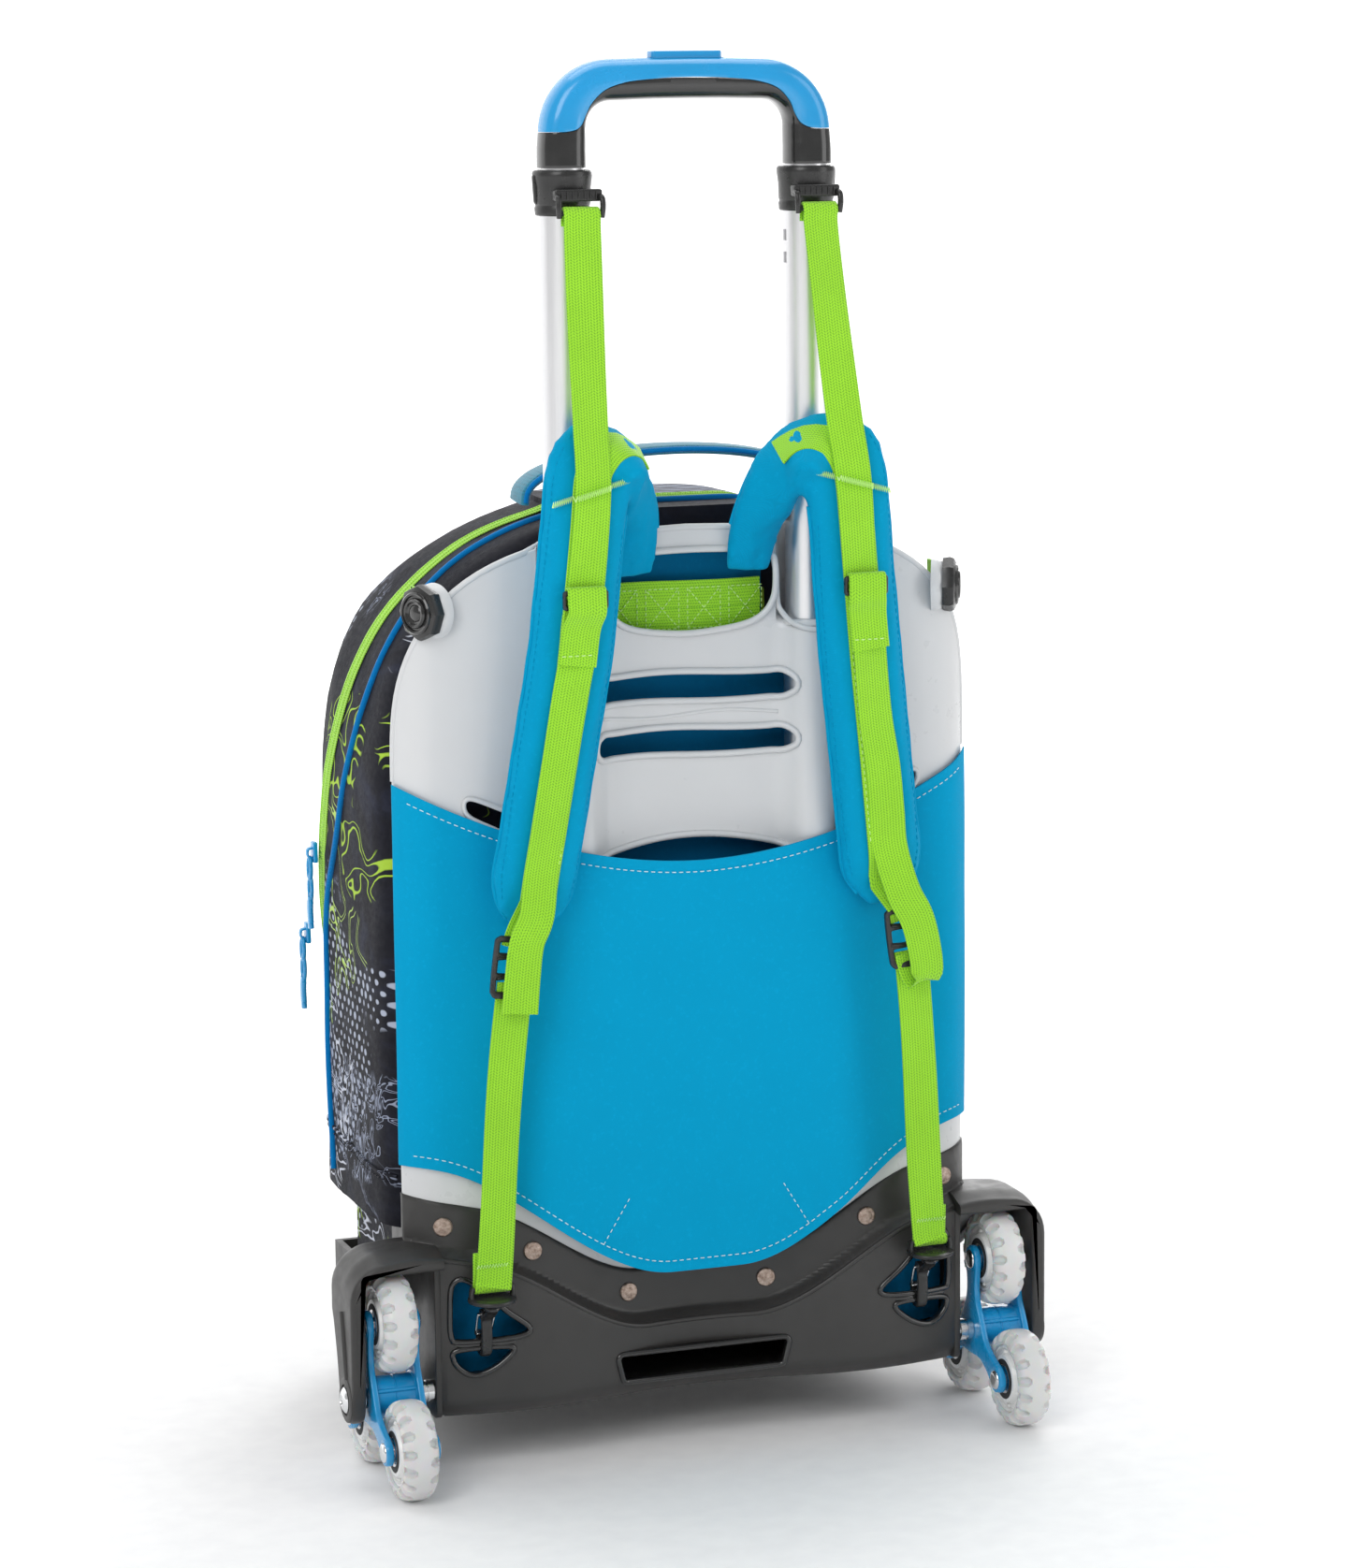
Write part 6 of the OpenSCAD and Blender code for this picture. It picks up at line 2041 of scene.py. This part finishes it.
for side_name, s in (("left", -1), ("right", 1)):
    x = s * BAR_X
    pts = [(x, STRAP_END_Y, DISC_Z - 7), (x, (STRAP_END_Y + HOOK_Y) / 2, DISC_Z - 10.5),
           (x, HOOK_Y, BAR_Z + 15), (x, HOOK_Y - 0.4, BAR_Z + 7), (x, HOOK_Y + 0.1, BAR_Z)]
    for k in range(1, 7):
        a_ = math.radians(180 + 180 * k / 6)
        pts.append((x, BAR_Y + 5.2 * math.cos(a_), BAR_Z + 5.2 * math.sin(a_)))
    pts.append((x, BAR_Y + 5.2, BAR_Z + 6.3))
    path = spline(pts, 60)
    hook = sweep("hook", path, round_section(6.0, 3.4, 1.4, 4), BLACK, side=(1, 0, 0), angle=50)
    hub = turn("hook_hub", [(0.9, -3.4), (3.0, -3.3), (3.1, -2.6), (3.1, 2.6), (3.0, 3.3), (0.9, 3.4)],
               (x, HOOK_Y, BAR_Z + 18), (1, 0, 0), BLACK, 32)
    ob = join("snap_" + side_name, [hook, hub])
    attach(ob, "frame")
    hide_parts("snap_hook_" + side_name)
    end_y, end_z = BAR_Y + 2.3, BAR_Z + 5.0
    parts = []
    wire = [(x - 4.4, HOOK_Y, BAR_Z + 18), (x - 4.7, HOOK_Y + 1.0, BAR_Z + 16.5),
            (x - 4.5, (HOOK_Y + end_y) / 2, (BAR_Z + 18 + end_z) / 2), (x - 4.3, end_y - 0.8, end_z + 1),
            (x - 3.4, end_y, end_z), (x, end_y + 0.2, end_z - 0.1), (x + 3.4, end_y, end_z),
            (x + 4.3, end_y - 0.8, end_z + 1),
            (x + 4.5, (HOOK_Y + end_y) / 2, (BAR_Z + 18 + end_z) / 2), (x + 4.7, HOOK_Y + 1.0, BAR_Z + 16.5),
            (x + 4.4, HOOK_Y, BAR_Z + 18)]
    parts.append(rod("gate_wire", spline(wire, 60), 0.75, STEEL, 10))
    parts.append(cross_rod("gate_pin", x, HOOK_Y, BAR_Z + 18, 5.2, 0.8, STEEL, 10))
    gate = join("gate_wire_" + side_name, parts)
    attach(gate, "gate_" + side_name)
    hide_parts("hook_gate_" + side_name)

# anchor band behind the hand opening
low, high = box_mm("harness_band")
band = []
for z0 in (low[2] + 7.4, low[2] + 22.6):
    path = spline([(low[0] + 1, low[1] + 1.4, z0), (low[0] / 2, low[1] + 0.6, z0 + 0.4),
                   (0, low[1] + 0.3, z0), (high[0] / 2, low[1] + 0.6, z0 - 0.3),
                   (high[0] - 1, low[1] + 1.4, z0)], 40)
    band.append(ribbon("band", path, LIME, 15.4, 1.6, side=(0, 0, 1)))
yb = low[1] - 0.5
for cx in (-36, -12, 12, 36):
    w2, h2 = 9.5, 11
    z_mid = (low[2] + high[2]) / 2
    corners = [Vector((cx - w2, yb, z_mid - h2)), Vector((cx + w2, yb, z_mid - h2)),
               Vector((cx + w2, yb, z_mid + h2)), Vector((cx - w2, yb, z_mid + h2))]
    for i_ in range(4):
        band.append(stitches("box_thread", [corners[i_], corners[(i_ + 1) % 4]], LIME_THREAD, 2.0, 0.9, 0.3))
    band.append(stitches("x_thread", [corners[0], corners[2]], LIME_THREAD, 2.0, 0.9, 0.3))
    band.append(stitches("x_thread", [corners[1], corners[3]], LIME_THREAD, 2.0, 0.9, 0.3))
band = join("anchor_band", band)
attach(band, "frame")
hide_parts("harness_band")


# ------------------------------------------------------------------ sleeve
def sleeve_face(x):
    s = smooth_step((abs(x) - TUBE_X - 8) / 42)
    flat = TUBE_Y - (OUTER_R + 2.9) - 1.8
    return (1 - s) * flat + s * (face(x) - 2.2)


def sleeve_y(x, z):
    y = sleeve_face(x)
    zt, zb = sleeve_top_edge(x), sleeve_low_edge(x)
    f = (z - zb) / max(1, zt - zb)
    drape = noise.noise(Vector((x * 0.012, z * 0.007, 1.7))) * 1.5 + noise.noise(Vector((x * 0.03, z * 0.018,
            5.2))) * 0.5
    pull = math.sin(math.pi * min(1, max(0, f)))
    # shallow pulls that fan out from the lower corners and from the dart
    for cx in (-1, 1):
        d = math.hypot(x - cx * 62, z - (sleeve_low_edge(62) + 6))
        ang = math.atan2(z - sleeve_low_edge(62), x - cx * 62)
        drape += 0.9 * math.exp(-d / 55) * math.sin(ang * 7)
    return y - 0.6 + drape * (0.35 + 0.65 * pull) - 0.8 * pull


NX, NZ = 120, 84
verts, uvs = [], []
for layer, off in ((0, 0.0), (1, 1.1)):
    for i in range(NX + 1):
        x = -HALF_W * 1.006 + 2 * HALF_W * 1.006 * i / NX
        zt, zb = sleeve_top_edge(x), sleeve_low_edge(x)
        for j in range(NZ + 1):
            f = j / NZ
            z = zb + (zt - zb) * f
            edge = min(f, 1 - f) * (zt - zb)
            edge_x = min(x + HALF_W, HALF_W - x)
            puff = 0.55 * (1 - smooth_step((min(edge, edge_x + 3) - 1.0) / 5.0))
            dent = 0.45 * math.exp(-((min(edge, 50) - 6.2) / 0.9) ** 2)
            y = sleeve_y(x, z) + (dent - puff if layer == 0 else off)
            verts.append((x, y, z))
            uvs.append((x * MM, z * MM))
M = (NX + 1) * (NZ + 1)
W = NZ + 1
faces = two_layers(NX, NZ)
for i in range(NX):
    a = i * W
    faces.append((a, M + a, M + a + W, a + W))
    b = i * W + NZ
    faces.append((b, b + W, M + b + W, M + b))
for j in range(NZ):
    faces.append((j, j + 1, M + j + 1, M + j))
    b = NX * W + j
    faces.append((b, M + b, M + b + 1, b + 1))
sleeve = make("sleeve", verts, faces, CLOTH, uvs, 70)
fix_normals(sleeve)
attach(sleeve, "frame")
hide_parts("lumbar_sleeve")


def sleeve_row(edge_fn, inset, x0=-HALF_W + 5, x1=HALF_W - 5, n=110):
    out = []
    for i in range(n + 1):
        x = x0 + (x1 - x0) * i / n
        z = edge_fn(x) + inset
        out.append(Vector((x, sleeve_y(x, z) - 0.25, z)))
    return out


rows = [stitches("hem_thread", sleeve_row(sleeve_top_edge, -6.2), PALE_THREAD, 2.5, 1.5, 0.30),
        stitches("hem_thread", sleeve_row(sleeve_low_edge, 6.2), PALE_THREAD, 2.5, 1.5, 0.30)]
for s in (-1, 1):
    dart = [Vector((s * (60 - 16 * f), 0, sleeve_low_edge(60) + 6 + 26 * f)) for f in (0, 0.25, 0.5, 0.75, 1)]
    dart = [Vector((p.x, sleeve_y(p.x, p.z) - 0.3, p.z)) for p in dart]
    rows.append(stitches("dart_thread", dart, PALE_THREAD, 2.2, 1.5, 0.28))
hems = join("sleeve_threads", rows)
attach(hems, "frame")
# x positions of narrow columns across the sleeve's front
COLUMNS = 200
across = [-HALF_W + 2 * HALF_W * i / COLUMNS for i in range(COLUMNS + 1)]

# ------------------------------------------------------------------ lining behind the slots
low, high = box_mm("back_lining")
NXL, NZL = 60, 60
verts = []
for layer in (0, 1):
    for i in range(NXL + 1):
        x = low[0] + (high[0] - low[0]) * i / NXL
        for j in range(NZL + 1):
            z = low[2] + (high[2] - low[2]) * j / NZL
            half = 48 + (high[0] - 48) * (1 - smooth_step((z - SOCKET_Z + 6) / 6))
            xx = x * half / high[0]
            fold = 1.1 * noise.noise(Vector((xx * 0.03, z * 0.02,
                    8.0))) + 0.5 * noise.noise(Vector((xx * 0.09, z * 0.05, 3.0)))
            verts.append((xx, low[1] + 0.4 + fold * (0.5 if z < SOCKET_Z else 0.3) + (0.5 if layer else 0),
                          z))
lining = make("lining", verts, two_layers(NXL, NZL), LINING, None, 60)
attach(lining, "frame")
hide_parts("back_lining")

# ------------------------------------------------------------------ carry handle
low, high = box_mm("carry_handle")
yc = (low[1] + high[1]) / 2
arc = []
for k in range(25):
    a_ = math.pi * k / 24
    arc.append((84 * math.cos(a_), yc + 2.0 * math.sin(2 * a_), low[2] + 0.5 + 25.5 * math.sin(a_) ** 0.8))
path = spline(arc, 110)
handle = sweep("handle", path, round_section(23.0, 5.0, 2.2, 4, crown=0.5), TEAL_KNIT, side=(0, 1, 0),
               angle=60)
rims = [rod("handle_rim", [p + Vector((0, t * 11.2, 0.3)) for p in path], 1.5, PIPING, 8) for t in (-1, 1)]
handle = join("carry", [handle] + rims)
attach(handle, "frame")
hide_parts("carry_handle")

# ------------------------------------------------------------------ zip sliders and pulls
for i_, name in enumerate(("upper", "lower")):
    pl, ph = box_mm("zip_pull_" + name)
    x = (pl[0] + ph[0]) / 2
    y = (pl[1] + ph[1]) / 2
    z = ph[2] - 2.2
    parts = []
    ring = [Vector((x, y + 3.0 * math.cos(2 * math.pi * k / 28),
                    z - 4.2 + 6.2 * math.sin(2 * math.pi * k / 28))) for k in range(28)]
    parts.append(rod("ring", ring, 1.25, BLUE, 10, closed=True))
    ring = [Vector((x + 0.2, y + 3.2 * math.cos(2 * math.pi * k / 28),
                    z - 15.5 + 6.6 * math.sin(2 * math.pi * k / 28))) for k in range(28)]
    parts.append(rod("ring", ring, 1.15, BLUE, 10, closed=True))
    strap = spline([(x, y, z - 20.5), (x - 0.3, y + 0.4, z - 28), (x, y, z - 38.8)], 24)
    sc = [(1.0 + 0.22 * abs(math.sin(k * 1.1)) if 3 < k < 20 else 0.9, 1) for k in range(25)]
    parts.append(sweep("cord_end", strap, round_section(5.6, 2.9, 1.3, 4), BLUE, side=(0, 1, 0), scale=sc,
                       angle=60))
    pull = join("pull_cord_" + name, parts)
    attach(pull, "pull_" + name)
    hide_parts("zip_pull_" + name)
sh = box_mm("zip_sliders")[1]
parts = []
for name in ("upper", "lower"):
    pl, ph = box_mm("zip_pull_" + name)
    y = (pl[1] + ph[1]) / 2
    z = ph[2] - 2.2
    body = plate("slider", [rounded_loop([(y - 4.5, z - 1), (y + 4.5, z - 1), (y + 3.4, z + 11),
                                          (y - 3.4, z + 11)], 1.8)], 2.6, BLUE, 0.7, 3)
    to_side(body, sh[0] - 0.6)
    parts.append(body)
    lug = spline([(sh[0] - 1.6, y, z + 7.5), (sh[0] - 4.2, y, z + 6.6), (sh[0] - 4.5, y, z + 3.2),
                  (sh[0] - 2.0, y, z + 1.4)], 16)
    parts.append(sweep("lug", lug, round_section(4.0, 1.3, 0.6, 3), BLUE, side=(0, 1, 0)))
zs_ = join("slider_bodies", parts)
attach(zs_, "frame")
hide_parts("zip_sliders")

# ------------------------------------------------------------------ front pocket and its zip
low, high = box_mm("front_pocket")


def pocket_half(z, inset):
    return arch_x(z, 0.56 * BAG_HALF - inset, 210, 330 - inset, 2.5, 0.4)


verts = []
NR, NA = 14, 96
pz0, pz1 = BAG_LOW[2] + 30, 329.0
zs_list = [pz0 + (pz1 - pz0) * (0.5 - 0.5 * math.cos(math.pi * k / 40)) for k in range(41)]
loop = [(pocket_half(z, 0), z) for z in zs_list] + [(-pocket_half(z, 0), z) for z in reversed(zs_list)]
loop = [(p.x, p.y) for p in resample([Vector((x, z, 0)) for x, z in loop + [loop[0]]], NA)[:-1]]
cz = (pz0 + pz1) / 2
for r in range(NR + 1):
    f = 1 - r / NR
    for x, z in loop:
        xx, zz = x * f, cz + (z - cz) * f
        crown = (high[1] - 1.5 - low[1]) * (1 - f ** 7)
        lump = 1.6 * noise.noise(Vector((xx * 0.02, zz * 0.02, 2.0))) * smooth_step((1 - f) / 0.2)
        verts.append((xx, low[1] - 2 + min(crown + 2, high[1] - low[1] + 0.5) - abs(lump), zz))
pocket = make("pocket", verts, quads(NR + 1, NA), PRINT, None, 60)
fix_normals(pocket)
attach(pocket, "frame")
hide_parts("front_pocket")
zl = box_mm("pocket_zipper")[0]
line = [(pocket_half(z, 13), z)
        for z in [BAG_LOW[2] + 62 + (316 - BAG_LOW[2] - 62) * math.sin(math.radians(90 * k / 30))
                  for k in range(31)]]
line = line + [(-x, z) for x, z in reversed(line)]
path = resample([Vector((x, zl[1] + 0.2, z)) for x, z in line], 160)
zp_ = sweep("pocket_tape", path, round_section(8.0, 1.2, n=2), LIME_EDGE,
            side=[Vector((0, 1, 0)).cross(t) for t in tangents(path)])
rb = rod("pocket_coil", [p + Vector((0, 0.8, 0)) for p in path], 1.2, LIME_EDGE, 8)
pz = join("pocket_zip", [zp_, rb])
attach(pz, "frame")
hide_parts("pocket_zipper")

# ------------------------------------------------------------------ CAD pieces that stay, with their finish
for node, mat in (("outer_tubes", TUBE), ("mid_tubes", TUBE), ("upper_tubes", TUBE), ("release_rods", STEEL),
                  ("front_feet", RUBBER), ("base_tray", BASE)):
    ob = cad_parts[node]
    ob.data.materials.clear()
    ob.data.materials.append(mat)
    if node in ("base_tray", "front_feet"):
        modify(ob, "BEVEL", width=1.6 * MM, segments=3, limit_method="ANGLE", angle_limit=math.radians(50))


# ------------------------------------------------------------------ floor, light and camera
def build_stage():
    m = Mat("floor")
    fine = m.noise(60, 3)
    base = m.mix(m.range(fine, 0.3, 0.7), (0.86, 0.86, 0.865), (0.90, 0.90, 0.90))
    x, y, z = m.split(m.obj())
    far = m.math("SQRT", m.math("ADD", m.math("MULTIPLY", x, x),
                                m.math("ADD", m.math("MULTIPLY", y, y), m.math("MULTIPLY", z, z))))
    # painted light: the floor and its backdrop glow more the further they are from the middle, lifting the
    # far floor and backdrop to white while the floor near the object keeps its shadow
    m.shade(base=base, rough=0.75, normal=m.bump(fine, 0.0002, 0.1), spec=0.15,
            glow=m.range(far, 0.42, 1.7, 0.0, 0.62), glow_color=(1, 1, 1))
    verts, faces = [], []
    prof = [(-9000, 0), (2600, 0)]
    for k in range(1, 13):
        a = math.radians(90 * k / 12)
        prof.append((2600 + 1600 * math.sin(a), 1600 - 1600 * math.cos(a)))
    prof.append((4200, 9000))
    for y, z in prof:
        verts += [(-9000, y, z - 0.1), (9000, y, z - 0.1)]
    faces = [(2 * i, 2 * i + 1, 2 * i + 3, 2 * i + 2) for i in range(len(prof) - 1)]
    floor = make("floor", verts, faces, m.mat, None, 60)
    world = bpy.data.worlds.new("studio")
    scene.world = world
    world.use_nodes = True
    world.node_tree.nodes["Background"].inputs[0].default_value = (1, 1, 1, 1)
    world.node_tree.nodes["Background"].inputs[1].default_value = 0.52

    def area(name, at, target, size, power, color=(1, 1, 1)):
        data = bpy.data.lights.new(name, "AREA")
        data.shape = "RECTANGLE"
        data.size, data.size_y = size
        data.energy = power
        data.color = color
        ob = bpy.data.objects.new(name, data)
        scene.collection.objects.link(ob)
        ob.location = at
        ob.rotation_euler = (Vector(target) - Vector(at)).to_track_quat("-Z", "Y").to_euler()
        return ob

    area("key", (-1.7, -1.9, 2.1), (0, 0, 0.4), (1.4, 1.8), 31)
    area("fill", (2.1, -1.6, 1.2), (0, 0, 0.35), (1.2, 2.0), 13)
    area("top", (0.1, 0.5, 2.6), (0, 0, 0.3), (2.2, 1.6), 22)
    area("rim", (1.4, 1.9, 1.4), (0, 0, 0.4), (1.0, 1.6), 14)


build_stage()
a, e, roll = math.radians(19.85), math.radians(8.86), math.radians(-0.53)
cam_data = bpy.data.cameras.new("camera")
cam_data.sensor_fit = "VERTICAL"
cam_data.sensor_height = 36.0
cam_data.lens = 101.4
cam_data.shift_x = -0.0165
cam_data.shift_y = -0.032
cam_data.clip_end = 60
cam = bpy.data.objects.new("camera", cam_data)
scene.collection.objects.link(cam)
scene.camera = cam
fwd = Vector((math.sin(a) * math.cos(e), math.cos(a) * math.cos(e), -math.sin(e)))

target = Vector((0, (AXLE_Y - 12.0) * MM, 0.4))
cam.location = target - fwd * 2.3836
quat = fwd.to_track_quat("-Z", "Y")
cam.rotation_mode = "QUATERNION"
cam.rotation_quaternion = quat @ Matrix.Rotation(roll, 4, "Z").to_quaternion()
scene.view_settings.view_transform = "Standard"
scene.view_settings.look = "None"
scene.view_settings.exposure = 0.0
